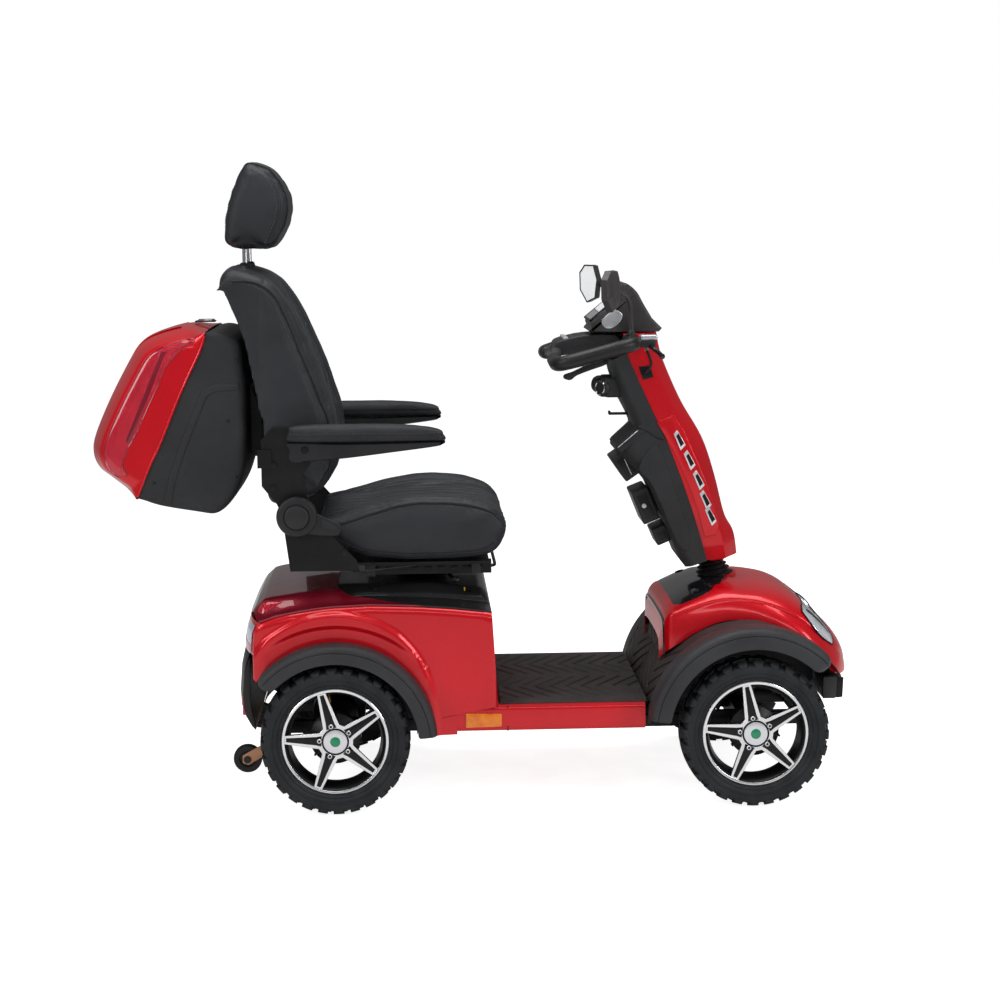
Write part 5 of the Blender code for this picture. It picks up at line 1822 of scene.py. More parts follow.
def headrest():
    def form(x, y, z):
        share = abs(y) / HEAD_HALF
        return x - 0.004 * share**3, z - 0.012 * share**4 * smooth(1.30, 1.41, z)

    body = pad_mesh(
        "headrest_cover",
        outline_inset(curve_through(HEAD, 3, closed=True)[::3], 0.003),
        HEAD_HALF - 0.005,
        0.034,
        LEATHER,
        form,
    )
    remesh(body, 0.0045)
    inflate(body, 0.006, lambda p: p.z < 1.236 or abs(abs(p.y) - 0.095) < 0.003)
    finer(body, 1)

    def depth(x, y, z, n):
        around = math.degrees(math.atan2(z - 1.325, x + 0.158))
        d = 0.0030 * valley(abs(y) - 0.095, 0.0065)
        low = 1 - smooth(1.232, 1.290, z)
        d += 0.0042 * low * (0.5 + 0.5 * math.sin(y * 330 + 3 * math.sin(x * 60)))
        d += 0.0028 * valley(x - lookup(z, HEAD_SEAM), 0.0060) * (1 if abs(y) > 0.095 else 0)
        d += 0.0010 * math.sin(math.radians(around * 14)) * valley(abs(y) - 0.095, 0.016)
        return d + noise.noise(Vector((x * 26, y * 22, z * 24))) * 0.0012

    press(body, depth)
    surface = surface_of(body)
    extras = []
    ring = [HEAD[i] for i in range(len(HEAD))] + [HEAD[0]]
    for side in (RIGHT, LEFT):
        for inset in (0.101, 0.089):
            extras.append(
                stitching("head_stitch", surface, [(x, side * inset, z) for x, z in ring], 0.0042, 0.0030)
            )
        extras.append(
            piping(
                "head_piping",
                surface,
                [(x, side * 0.0950, z) for x, z in ring],
                0.0018,
                LEATHER_CENTRE,
                0.0004,
            )
        )
        side_seam = [(x - 0.004, side * 0.125, z) for z, x in HEAD_SEAM]
        extras.append(stitching("head_stitch", surface, side_seam, 0.0050, 0.0040, 0.0009))
    put(body, "headrest", "headrest", slot="leather")
    put(join("headrest_trim", extras), "headrest", slot="leather")
    collars = []
    for y in (-0.060, 0.060):
        low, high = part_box("headrest_posts")
        at = (REAR - 0.190, y, low.z)
        collars.append(
            lathe(
                "post",
                [(0.0001, 0.0), (0.0060, 0.002), (0.0060, high.z - low.z)],
                at,
                (0, 0, 1),
                CHROME,
                steps=24,
            )
        )
    put(join("headrest_posts_look", collars), "headrest", "headrest_posts", slot="chrome")
    sockets = []
    for y in (-0.060, 0.060):
        ring = [
            (0.0066, 0.0), (0.0130, 0.0), (0.0140, 0.002), (0.0120, 0.008), (0.0090, 0.011),
            (0.0066, 0.011),
        ]
        sockets.append(
            lathe("collar", ring, (REAR - 0.190, y, 1.1900), (0, 0, 1), PLASTIC, steps=28, closed=True)
        )
    put(join("headrest_collars", sockets), "backrest", slot="black_plastic")


# Armrests


def armrests():
    upper = [
        (-0.0870, 0.8220), (-0.0880, 0.8440), (-0.0800, 0.8540), (0.0300, 0.8548),
        (0.152, 0.8545), (0.217, 0.8485), (0.2410, 0.8410), (0.2450, 0.8320), (0.2440, 0.8210),
        (0.150, 0.8190), (0.020, 0.8185),
    ]
    lower = [
        (-0.0860, 0.8205), (0.020, 0.8170), (0.150, 0.8175), (0.2425, 0.8195), (0.2400, 0.8140),
        (0.2290, 0.8080), (0.1200, 0.7945), (0.0320, 0.7845), (-0.0500, 0.7785),
        (-0.0740, 0.7755), (-0.0890, 0.7860), (-0.0885, 0.8050),
    ]
    for side_name, side in (("right", RIGHT), ("left", LEFT)):
        mid = side * 0.284
        cover = pad_mesh(f"armrest_{side_name}_pad", upper, 0.0222, 0.0100, LEATHER_CENTRE, middle_y=mid)
        remesh(cover, 0.0035)
        inflate(cover, 0.003, lambda p: p.z < 0.8240)
        finer(cover, 1)
        press(
            cover,
            lambda x,
            y,
            z,
            n: 0.0010 * valley(z - 0.8330, 0.0040) + noise.noise(
                Vector((x * 50, y * 50, z * 50))
            ) * 0.0005,
        )
        put(cover, f"armrest_{side_name}", f"armrest_{side_name}", slot="leather")
        fine = curve_through(lower, 4, closed=True)
        rows = []
        for y in (-0.0205, -0.0198, -0.0170, -0.0120, 0.0, 0.0120, 0.0170, 0.0198, 0.0205):
            inset = 0.0030 * (abs(y) / 0.0205) ** 6
            rows.append([(REAR + x, mid + y, z) for x, z in outline_inset(fine, inset)])
        shell = grid("arm_shell", rows, PLASTIC, close_across=True, caps=True, crease=40)
        pieces = [shell]
        hub = [(0.0085, 0.0), (0.0080, 0.0006), (0.0066, 0.0006), (0.0060, 0.0001), (0.0001, 0.0001)]
        pieces.append(
            lathe(
                "arm_pivot",
                hub,
                (REAR - 0.054, mid + side * 0.0205, 0.8050),
                (0, side, 0),
                RIM_BLACK,
                steps=36,
            )
        )
        pieces.append(
            lathe(
                "arm_bolt",
                [(0.0050, 0.0), (0.0045, 0.0006), (0.0001, 0.0007)],
                (REAR - 0.054, mid + side * 0.0207, 0.8050),
                (0, side, 0),
                STEEL,
                steps=6,
            )
        )
        surface = surface_of(cover)
        pieces.append(
            stitching(
                "arm_stitch",
                surface,
                [(x, mid + side * 0.0222, 0.8380) for x in np.linspace(-0.078, 0.236, 8)],
                0.0042,
                0.0028,
                0.0006,
            )
        )
        put(join(f"armrest_{side_name}_shell", pieces), f"armrest_{side_name}", slot="black_plastic")


# Recline cover, seat frame details


def recline_lever():
    low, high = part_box("recline_lever")
    inner, outer = high.y, low.y
    centre = (REAR - 0.076, inner - 0.0005, 0.655)
    depth = inner - outer - 0.001
    dial = [
        (0.0001, 0.0), (0.0430, 0.0), (0.0445, 0.0030), (0.0445, depth * 0.55),
        (0.0425, depth * 0.72), (0.0400, depth * 0.80), (0.0370, depth * 0.82),
        (0.0290, depth * 0.82), (0.0280, depth * 0.74), (0.0262, depth * 0.74),
        (0.0255, depth * 0.92), (0.0225, depth), (0.0001, depth),
    ]
    pieces = [lathe("dial", dial, centre, (0, -1, 0), PLASTIC, steps=64, crease=30)]
    arm = [
        (-0.076, 0.681), (-0.040, 0.6650), (0.006, 0.643), (0.018, 0.6370), (0.0205, 0.6300),
        (0.018, 0.620), (0.002, 0.612), (-0.076, 0.625),
    ]
    pieces.append(
        plate(
            "arm", curve_through(arm, 3, closed=True), inner - 0.0035, inner - 0.0145, PLASTIC, 0.0030, 3
        )
    )
    grip = [(-0.020, 0.6500), (0.006, 0.6380), (0.0140, 0.6310), (0.0040, 0.6230), (-0.022, 0.6310)]
    pieces.append(plate("arm_inset", grip, inner - 0.0142, inner - 0.0154, MATTE, 0.0010, 2))
    put(join("recline_lever_look", pieces), "recline_lever", "recline_lever", slot="black_plastic")


def under_seat():
    bolts, dark, cables = [], [], []
    for side in (RIGHT, LEFT):
        for x, z in ((0.026, 0.574), (-0.030, 0.622)):
            head = [
                (0.0085, 0.0), (0.0085, 0.0010), (0.0062, 0.0012), (0.0060, 0.0050),
                (0.0040, 0.0056), (0.0001, 0.0056),
            ]
            bolts.append(lathe("bolt", head, (REAR + x, side * 0.2615, z), (0, side, 0), STEEL, steps=18))
        # The rail's holes are dark plates of painted shade, not cut through.
        holes = np.arange(0.085, 0.340, 0.0290)
        for x in holes:
            dark.append(
                block(
                    "rail_hole_painted_shade",
                    (x, side * 0.1628 - 0.0008, 0.5160),
                    (x + 0.016, side * 0.1628 + 0.0008, 0.5240),
                    RIM_BLACK,
                    0.0007,
                )
            )
        cables.append(
            pipe(
                "cable",
                [
                    (0.012, side * 0.2500, 0.5390),
                    (0.055, side * 0.2560, 0.5300),
                    (0.120, side * 0.2440, 0.5330),
                    (0.180, side * 0.2200, 0.5360),
                ],
                0.0022,
                BOOT,
                sides=10,
                steps=6,
            )
        )
        dark.append(
            block(
                "stop_block",
                (0.0700, side * 0.1900 - 0.010, 0.5080),
                (0.0920, side * 0.1900 + 0.010, 0.5340),
                PLASTIC,
                0.002,
            )
        )
        dark.append(
            block(
                "stop_block",
                (0.3050, side * 0.1900 - 0.010, 0.5120),
                (0.3250, side * 0.1900 + 0.010, 0.5340),
                PLASTIC,
                0.002,
            )
        )
    dark.append(block("tie_block", (0.1200, -0.0900, 0.5180), (0.2700, 0.0900, 0.5330), STEEL, 0.002))
    put(join("seat_hardware", bolts + dark + cables), "seat", slot="black_steel")
    # Bracket bolts that the armrests hang from.
    pins = []
    for side in (RIGHT, LEFT):
        for x, z in ((-0.125, 0.767), (-0.127, 0.716)):
            head = [(0.0090, 0.0), (0.0090, 0.0012), (0.0064, 0.0014), (0.0060, 0.0056), (0.0001, 0.0060)]
            pins.append(lathe("bolt", head, (REAR + x, side * 0.2475, z), (0, side, 0), STEEL, steps=18))
    put(join("backrest_bolts", pins), "backrest", slot="black_steel")


seat_cushion()
backrest_cushion()
headrest()
armrests()
recline_lever()
under_seat()


# Steering column and tiller

COVER_FRONT = [
    (0.926, 0.523), (0.917, 0.575), (0.895, 0.617), (0.871, 0.711), (0.843, 0.793),
    (0.796, 0.874), (0.764, 0.944), (0.747, 0.990), (0.738, 1.0350),
]
SEAM = [
    (0.848, 0.5135), (0.838, 0.550), (0.813, 0.631), (0.785, 0.712), (0.751, 0.799),
    (0.716, 0.872), (0.664, 0.990), (0.6550, 1.0350),
]
COVER_BACK = [
    (0.800, 0.497), (0.786, 0.516), (0.758, 0.586), (0.739, 0.632), (0.717, 0.685),
    (0.694, 0.713), (0.640, 0.768), (0.641, 0.783), (0.684, 0.822), (0.673, 0.848),
    (0.655, 0.882), (0.634, 0.945), (0.628, 0.974),
]


def along(points, count):
    """count places spread evenly along a broken line."""
    pts = [np.array(p, float) for p in points]
    gaps = [float(np.linalg.norm(b - a)) for a, b in zip(pts, pts[1:])]
    total = np.concatenate([[0], np.cumsum(gaps)])
    spots = np.linspace(0, total[-1], count)
    return [
        tuple(float(np.interp(s, total, [p[k] for p in pts])) for k in range(len(pts[0]))) for s in spots
    ]


def front_cover():
    outer = along(curve_through(COVER_FRONT, 5), 90)
    inner = along(curve_through(SEAM, 5), 90)
    rows = []
    for (ox, oz), (sx, sz) in zip(outer, inner):
        wide = lookup(
            oz,
            [
                (0.52, 0.080), (0.56, 0.088), (0.65, 0.0925), (0.80, 0.0935), (1.0, 0.0900),
                (1.035, 0.0880),
            ],
        )
        row = []
        crease = 0.56
        for t in np.linspace(0.0, crease, 12):
            row.append((sx + (ox - sx) * t, wide - 0.002 * (1 - t / crease), sz + (oz - sz) * t))
        # Facet from the crease to the darker front face.
        for t in np.linspace(0.06, 1.0, 9):
            back = crease + (0.955 - crease) * t
            row.append((sx + (ox - sx) * back, wide - 0.038 * t**1.15, sz + (oz - sz) * back))
        for t in np.linspace(0.08, 1.0, 12):
            y = (wide - 0.038) * (1 - t)
            out = 0.955 + 0.045 * (1 - (y / (wide - 0.038)) ** 2)
            row.append((sx + (ox - sx) * out, y, sz + (oz - sz) * out))
        rows.append(
            [(REAR + x, y, z) for x, y, z in row] + [(REAR + x, -y, z) for x, y, z in reversed(row[:-1])]
        )
    pieces = [skin("front_cover_skin", rows, RED, (1, 0, 0.4), 0.003, crease=24)]
    # The louvre band: five bright framed slots a side on a raised facet; each slot is a dark plate of
    # painted shade.
    marks = [(0.783, 0.793), (0.806, 0.747), (0.827, 0.701), (0.843, 0.655), (0.855, 0.618)]
    for side in (RIGHT, LEFT):
        top = [
            (0.731, 0.834), (0.769, 0.851), (0.792, 0.815), (0.818, 0.757), (0.842, 0.700),
            (0.859, 0.650), (0.874, 0.600), (0.868, 0.575), (0.842, 0.568), (0.826, 0.630),
            (0.801, 0.700), (0.772, 0.765), (0.744, 0.812),
        ]
        pieces.append(plate("louvre_band", top, side * 0.0880, side * 0.0946, RED, 0.0016, 2))
        for x, z in marks:
            lean = Vector((0.36, 0, -0.93)).normalized()
            wide_way = Vector((0.93, 0, 0.36))
            quad = [(-0.0235, 0.0030), (-0.0180, -0.0080), (0.0235, -0.0065), (0.0160, 0.0085)]
            outline = [
                (x + lean.x * a + wide_way.x * b, z + lean.z * a + wide_way.z * b) for a, b in quad
            ]
            slot = [(x + (px - x) * 0.66 + 0.0008, z + (pz - z) * 0.66) for px, pz in outline]
            pieces.append(
                plate("louvre_frame", outline, side * 0.0930, side * 0.0966, WHITE_CAP, 0.0012, 2)
            )
            # Dark plate in the slot: painted shade.
            pieces.append(plate("louvre_slot_painted_shade", slot, side * 0.0960, side * 0.0969, STEEL, 0.0004, 1))
    # The faceted lip along the bottom.
    pieces.append(
        plate(
            "cover_sole",
            [
                (0.9180, 0.5240), (0.8900, 0.5105), (0.8620, 0.5060), (0.8500, 0.5130),
                (0.8560, 0.5200), (0.9120, 0.5330),
            ],
            -0.0560,
            0.0560,
            RED,
            0.0030,
            3,
        )
    )
    # The hose openings are dark plates of painted shade.
    for side in (RIGHT, LEFT):
        pieces.append(
            plate(
                "hose_opening_painted_shade",
                [(0.700, 0.930), (0.724, 0.936), (0.716, 0.962), (0.690, 0.960)],
                side * 0.0905,
                side * 0.0925,
                RIM_BLACK,
                0.0030,
                3,
            )
        )
    put(join("tiller_front_look", pieces), "tiller", "tiller_front_cover", slot="red_paint")


def rear_cover():
    back = along(COVER_BACK, 110)
    seam = [(x - 0.0008, z) for x, z in along(curve_through([(0.848, 0.5135), *SEAM[1:7]], 5), 110)]
    rows = []
    for (bx, bz), (sx, sz) in zip(back, seam):
        row = []
        for t in np.linspace(0.0, 1.0, 14):
            y = 0.0915 - 0.022 * max(0.0, (t - 0.62) / 0.38) ** 2
            row.append((sx + (bx - sx) * t, y, sz + (bz - sz) * t))
        for t in np.linspace(0.1, 1.0, 10):
            row.append((bx, (0.0915 - 0.022) * (1 - t), bz))
        rows.append(
            [(REAR + x, y, z) for x, y, z in row] + [(REAR + x, -y, z) for x, y, z in reversed(row[:-1])]
        )
    shape = skin("rear_cover_skin", rows, MATTE, (-1, 0, 0), 0.003, crease=30)
    pieces = [shape]
    # Upper and lower halves meet on a slanting joint; the pocket's mouth has a pale edge.
    for side in (RIGHT, LEFT):
        pieces.append(
            pipe(
                "cover_joint",
                [
                    (0.684, side * 0.0900, 0.822),
                    (0.706, side * 0.0917, 0.815),
                    (0.728, side * 0.0917, 0.800),
                    (0.748, side * 0.0912, 0.792),
                ],
                0.0014,
                RIM_BLACK,
                sides=8,
                steps=4,
            )
        )
        trim = [
            (0.6400, 0.7760), (0.6620, 0.7960), (0.6860, 0.8190), (0.6990, 0.8190),
            (0.7050, 0.8110), (0.6980, 0.8020), (0.6740, 0.7850), (0.6520, 0.7660),
        ]
        pieces.append(plate("pocket_trim", trim, side * 0.0860, side * 0.0930, PLASTIC, 0.0018, 2))
        edge = [
            (0.6425, side * 0.0922, 0.7770),
            (0.6640, side * 0.0932, 0.7950),
            (0.6880, side * 0.0930, 0.8155),
        ]
        pieces.append(pipe("pocket_edge", edge, 0.0012, SILVER, sides=8, steps=5))
        panel = [
            (0.6900, 0.7300), (0.7150, 0.7000), (0.7400, 0.6480), (0.7640, 0.5900),
            (0.7860, 0.5450), (0.8060, 0.5400), (0.8050, 0.5850), (0.7800, 0.6600),
            (0.7500, 0.7450), (0.7260, 0.7840),
        ]
        pieces.append(
            plate(
                "side_panel",
                curve_through(panel, 3, closed=True),
                side * 0.0895,
                side * 0.0931,
                MATTE,
                0.0022,
                3,
            )
        )
    boxes = (
        ((0.6440, -0.055, 0.7000), (0.6900, 0.055, 0.7640), -0.60, "upper"),
        ((0.6900, -0.060, 0.5980), (0.7300, 0.060, 0.6780), -0.38, "middle"),
        ((0.7300, -0.050, 0.5480), (0.7660, 0.050, 0.5880), -0.40, "lower"),
    )
    for low, high, lean, tag in boxes:
        turn = Matrix.Rotation(lean, 3, "Y")
        pieces.append(block(f"rear_box_{tag}", low, high, PLASTIC, 0.004, 3, turn))
        mid = [(a + b) / 2 for a, b in zip(low, high)]
        inset_low = (low[0] + 0.008, low[1] - 0.0012, low[2] + 0.010)
        inset_high = (high[0] - 0.008, high[1] + 0.0012, high[2] - 0.010)
        pieces.append(block("rear_box_face", inset_low, inset_high, STEEL, 0.002, 2, turn))
        if tag == "upper":
            for side in (RIGHT, LEFT):
                pieces.append(
                    pipe(
                        "box_trim",
                        [
                            (low[0] + 0.012, side * 0.0565, high[2] - 0.006),
                            (high[0] - 0.012, side * 0.0565, low[2] + 0.010),
                        ],
                        0.0010,
                        SILVER,
                        sides=6,
                        steps=1,
                    )
                )
        if tag == "middle":
            for side in (RIGHT, LEFT):
                oval = [(0.0001, 0.0012), (0.0050, 0.0010), (0.0056, 0.0)]
                pieces.append(
                    lathe(
                        "box_badge",
                        oval,
                        (REAR + mid[0] - 0.004, side * 0.0612, mid[2]),
                        (0, side, 0),
                        SILVER,
                        steps=20,
                    )
                )
    # Round pods with bright rings, and the bag hook.
    for side in (RIGHT, LEFT):
        pod = [(0.0001, 0.0165), (0.0150, 0.0165), (0.0190, 0.0130), (0.0205, 0.0080), (0.0205, 0.0)]
        centre = (REAR + 0.6180, side * 0.0510, 0.9090)
        mount = block(
            "pod_mount",
            (0.6140, side * 0.0510 - 0.0170, 0.8880),
            (0.6660, side * 0.0510 + 0.0170, 0.9320),
            MATTE,
            0.009,
            4,
        )
        pieces.append(mount)
        pieces.append(lathe("pod", pod, centre, (-0.80, side * 0.60, 0.10), PLASTIC, steps=36))
        ring = [(0.0130, 0.0172), (0.0140, 0.0180), (0.0158, 0.0178), (0.0165, 0.0166)]
        pieces.append(lathe("pod_ring", ring, centre, (-0.80, side * 0.60, 0.10), CHROME, steps=36))
    pieces.append(
        block("bag_hook", (0.6300, -0.0120, 0.8435), (0.6800, 0.0120, 0.8480), PLASTIC, 0.0015, 2)
    )
    pieces.append(
        block("hook_tip", (0.6300, -0.0120, 0.8435), (0.6345, 0.0120, 0.8520), PLASTIC, 0.0015, 2)
    )
    put(join("tiller_rear_look", pieces), "tiller", "tiller_rear_cover", slot="black_plastic")


def dash():
    ring = [
        (0.738, 1.0374), (0.7220, 1.0680), (0.703, 1.100), (0.6880, 1.1270), (0.669, 1.1440),
        (0.6580, 1.1465), (0.6480, 1.1330), (0.632, 1.100), (0.6180, 1.0910), (0.606, 1.0830),
        (0.5940, 1.0710), (0.583, 1.0600), (0.5860, 1.0480), (0.592, 1.0374),
    ]
    rows = []
    for y in (
        -0.0870, -0.0860, -0.0820, -0.0740, -0.0600, -0.0300, 0.0, 0.0300, 0.0600, 0.0740, 0.0820,
        0.0860, 0.0870,
    ):
        past = max(0.0, abs(y) - 0.073) / 0.014
        inset = 0.006 * (1 - math.sqrt(max(0.0, 1 - past**2)))
        rows.append(
            [
                (REAR + x, y, max(1.0374, z))
                for x, z in outline_inset(curve_through(ring, 3, closed=True), inset)
            ]
        )
    body = grid("dash_skin", rows, SMOKE, close_across=True, caps=True, crease=28)
    pieces = [body]
    # The pale display faces the rider; a gloss brow stands over it.
    glass = []
    for t in np.linspace(0.04, 0.96, 9):
        x, z = 0.5838 + (0.6290 - 0.5838) * t, 1.0610 + (1.0985 - 1.0610) * t
        glass.append([(REAR + x - 0.0030, y, z + 0.0036) for y in np.linspace(-0.0700, 0.0700, 15)])
    pieces.append(skin("display", glass, LENS, (-0.7, 0, 0.7), 0.002))
    frame_line = [
        (0.5830, -0.0740, 1.0640), (0.6260, -0.0720, 1.1000), (0.6270, 0.0720, 1.1000),
        (0.5830, 0.0740, 1.0640), (0.5830, -0.0740, 1.0640),
    ]
    pieces.append(pipe("display_frame", frame_line, 0.0030, RIM_BLACK, sides=8, steps=0))
    brow = [
        (0.6480, 1.1320), (0.6570, 1.1440), (0.6690, 1.1430), (0.6860, 1.1260), (0.7010, 1.0990),
        (0.6950, 1.0960), (0.6700, 1.1300),
    ]
    pieces.append(
        plate("dash_ridge", curve_through(brow, 2, closed=True), -0.0560, 0.0560, GLOSSY, 0.0022, 3)
    )
    for side in (RIGHT, LEFT):
        cheek = [
            (0.6050, 1.0620), (0.6220, 1.0820), (0.6380, 1.0900), (0.6560, 1.0760),
            (0.6420, 1.0520), (0.6180, 1.0450),
        ]
        pieces.append(
            plate(
                "dash_cheek",
                curve_through(cheek, 3, closed=True),
                side * 0.0780,
                side * 0.0874,
                SILVER,
                0.0030,
                3,
            )
        )
        line = [
            (0.7340, side * 0.0810, 1.0400),
            (0.7180, side * 0.0800, 1.0700),
            (0.7000, side * 0.0760, 1.1000),
            (0.6860, side * 0.0660, 1.1210),
        ]
        pieces.append(pipe("dash_seam", line, 0.0012, RIM_BLACK, sides=8, steps=5))
    put(join("dash_look", pieces), "tiller", "dash_cowl", slot="grey_plastic")


def handlebar():
    pieces = [
        pipe(
            "cross_bar", [(0.668, -0.189, 1.020), (0.668, 0.189, 1.020)], 0.0115, STEEL, sides=20, steps=1
        )
    ]
    foam, caps = [], []
    for side in (RIGHT, LEFT):
        loop = [
            (0.668, 0.172, 1.0200), (0.667, 0.198, 1.0200), (0.662, 0.2240, 1.0185),
            (0.648, 0.2340, 1.0150), (0.628, 0.2375, 1.0100), (0.584, 0.2380, 0.9985),
            (0.540, 0.2380, 0.9870), (0.520, 0.2345, 0.9820), (0.505, 0.2240, 0.9780),
            (0.498, 0.2060, 0.9768), (0.497, 0.1850, 0.9770), (0.497, 0.1500, 0.9790),
            (0.497, 0.1220, 0.9805),
        ]
        foam.append(
            pipe(
                "foam",
                [(x, side * y, z) for x, y, z in loop],
                0.0163,
                FOAM,
                sides=24,
                steps=5,
                taper=lambda t: 1.0 - 0.10 * (1 - smooth(0.0, 0.012, t)) - 0.10 * smooth(0.988, 1.0, t),
            )
        )
        stub = [
            (0.497, side * 0.1230, 0.9805),
            (0.498, side * 0.1080, 0.9815),
            (0.504, side * 0.0780, 0.9880),
            (0.511, side * 0.0380, 0.9960),
        ]
        caps.append(pipe("stub", stub, 0.0122, SMOKE, sides=20, steps=4))
        for k in range(5):
            caps.append(
                lathe(
                    "stub_ring",
                    [(0.0122, -0.0018), (0.0136, 0.0), (0.0122, 0.0018)],
                    (REAR + 0.4975, side * (0.1200 - 0.0052 * k), 0.9807),
                    (0, 1, 0),
                    SMOKE,
                    steps=24,
                )
            )
        # Clamp for the levers.
        caps.append(
            lathe(
                "clamp",
                [(0.0122, -0.011), (0.0185, -0.010), (0.0195, 0.0), (0.0185, 0.010), (0.0122, 0.011)],
                (REAR + 0.668, side * 0.1270, 1.0200),
                (0, 1, 0),
                PLASTIC,
                steps=28,
            )
        )
    mast = pipe(
        "mast",
        [(0.8580, 0, 0.5180), (0.7600, 0, 0.7700), (0.6700, 0, 1.0180)],
        0.0160,
        STEEL,
        sides=20,
        steps=6,
    )
    shell = [
        (0.5000, 0.9840), (0.5020, 1.0020), (0.5080, 1.0160), (0.5400, 1.0250), (0.5750, 1.0310),
        (0.6400, 1.0320), (0.6520, 1.0060), (0.6000, 0.9980), (0.5420, 0.9880),
    ]
    console = plate("console", curve_through(shell, 2, closed=True), -0.0640, 0.0640, PLASTIC, 0.0060, 4)
    neck = plate(
        "neck",
        [(0.6300, 1.0060), (0.6300, 1.0330), (0.6800, 1.0330), (0.6860, 1.0060)],
        -0.0400,
        0.0400,
        PLASTIC,
        0.0030,
        3,
    )
    pieces += foam + caps + [mast, console, neck]
    for k in range(6):
        y = -0.0500 + 0.0200 * k
        pieces.append(
            block("button", (0.5230, y - 0.0070, 1.0205), (0.5340, y + 0.0070, 1.0262), LENS, 0.0016, 2)
        )
        if k % 2:
            pieces.append(
                lathe(
                    "button_light",
                    [(0.0022, 0.0), (0.0020, 0.0008), (0.0001, 0.0010)],
                    (REAR + 0.5420, y - 0.0100, 1.0262),
                    (0, 0, 1),
                    CONSOLE_GREEN,
                    steps=14,
                )
            )
    # Brake cylinder with its pale reservoir on the right-hand bar.
    pieces.append(
        block("cylinder", (0.6860, -0.1480, 1.0060), (0.7230, -0.1120, 1.0240), PLASTIC, 0.004, 3)
    )
    pieces.append(
        block("reservoir", (0.6880, -0.1460, 1.0230), (0.7270, -0.1140, 1.0340), SILVER, 0.003, 3)
    )
    put(join("handlebar_look", pieces), "tiller", "handlebar_frame", slot="black_steel")
    hose = pipe(
        "hose",
        [
            (0.704, -0.104, 1.004), (0.712, -0.110, 0.985), (0.716, -0.112, 0.965),
            (0.706, -0.104, 0.948), (0.699, -0.096, 0.942),
        ],
        0.0031,
        BOOT,
        sides=12,
        steps=6,
    )
    nut = lathe(
        "nut",
        [(0.0031, -0.004), (0.0050, -0.004), (0.0050, 0.004), (0.0031, 0.004)],
        (REAR + 0.706, -0.106, 1.000),
        (0.3, -0.25, -0.9),
        CHROME,
        steps=6,
        crease=20,
    )
    put(join("brake_hose_look", [hose, nut]), "tiller", "brake_hose", slot="rubber")


def levers():
    outline = [
        (0.614, 0.984), (0.6020, 0.9890), (0.5700, 0.9765), (0.534, 0.9590), (0.516, 0.9530),
        (0.5120, 0.9480), (0.5140, 0.9430), (0.528, 0.9400), (0.5420, 0.9500), (0.5740, 0.9620),
        (0.606, 0.9730),
    ]
    arm = plate("throttle", curve_through(outline, 3, closed=True), -0.2008, -0.1892, PLASTIC, 0.0028, 3)
    pin = lathe(
        "pin",
        [(0.0062, 0.0), (0.0060, 0.0014), (0.0040, 0.0020), (0.0001, 0.0020)],
        (REAR + 0.606, -0.2006, 0.9800),
        (0, -1, 0),
        STEEL,
        steps=18,
    )
    put(join("throttle_look", [arm, pin]), "throttle_lever", "throttle_lever", slot="black_plastic")
    blade = pipe(
        "blade",
        [(0.703, -0.120, 1.012), (0.712, -0.150, 1.007), (0.722, -0.185, 0.999), (0.727, -0.212, 0.993)],
        0.0052,
        GLOSSY,
        sides=14,
        steps=5,
    )
    ball = lathe(
        "ball",
        [(0.0001, -0.0068), (0.0048, -0.0048), (0.0068, 0.0), (0.0048, 0.0048), (0.0001, 0.0068)],
        (REAR + 0.728, -0.2195, 0.9912),
        (0, 0, 1),
        GLOSSY,
        steps=20,
    )
    put(join("brake_lever_look", [blade, ball]), "brake_lever", "brake_lever", slot="black_steel")
    low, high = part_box("speed_knob")
    tall = high.z - low.z
    mid = (low + high) / 2
    ribbed = [
        (0.0128, 0.0), (0.0130, tall * 0.30), (0.0118, tall * 0.45), (0.0114, tall * 0.86),
        (0.0098, tall), (0.0001, tall),
    ]
    knob = [lathe("knob", ribbed, (mid.x, mid.y, low.z), (0, 0, 1), PLASTIC, steps=40)]
    for k in range(14):
        a = 2 * math.pi * k / 14
        knob.append(
            pipe(
                "knob_rib",
                [
                    (
                        mid.x - REAR + 0.0114 * math.cos(a),
                        mid.y + 0.0114 * math.sin(a),
                        low.z + tall * 0.4,
                    ),
                    (
                        mid.x - REAR + 0.0112 * math.cos(a),
                        mid.y + 0.0112 * math.sin(a),
                        low.z + tall * 0.88,
                    ),
                ],
                0.0009,
                PLASTIC,
                sides=6,
                steps=1,
            )
        )
    knob.append(
        block(
            "knob_mark",
            (mid.x - REAR - 0.0090, mid.y - 0.0008, high.z - 0.0009),
            (mid.x - REAR, mid.y + 0.0008, high.z + 0.0002),
            WHITE_CAP,
            0.0002,
            1,
        )
    )
    put(join("speed_knob_look", knob), "speed_knob", "speed_knob", slot="black_plastic")
    low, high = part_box("horn_button")
    mid, tall = (low + high) / 2, high.z - low.z
    put(
        lathe(
            "horn_look",
            [(0.0078, 0.0), (0.0078, tall * 0.7), (0.0066, tall * 0.95), (0.0001, tall)],
            (mid.x, mid.y, low.z),
            (0, 0, 1),
            CONSOLE_GREEN,
            steps=32,
        ),
        "horn_button",
        "horn_button",
        slot="grey_plastic",
    )


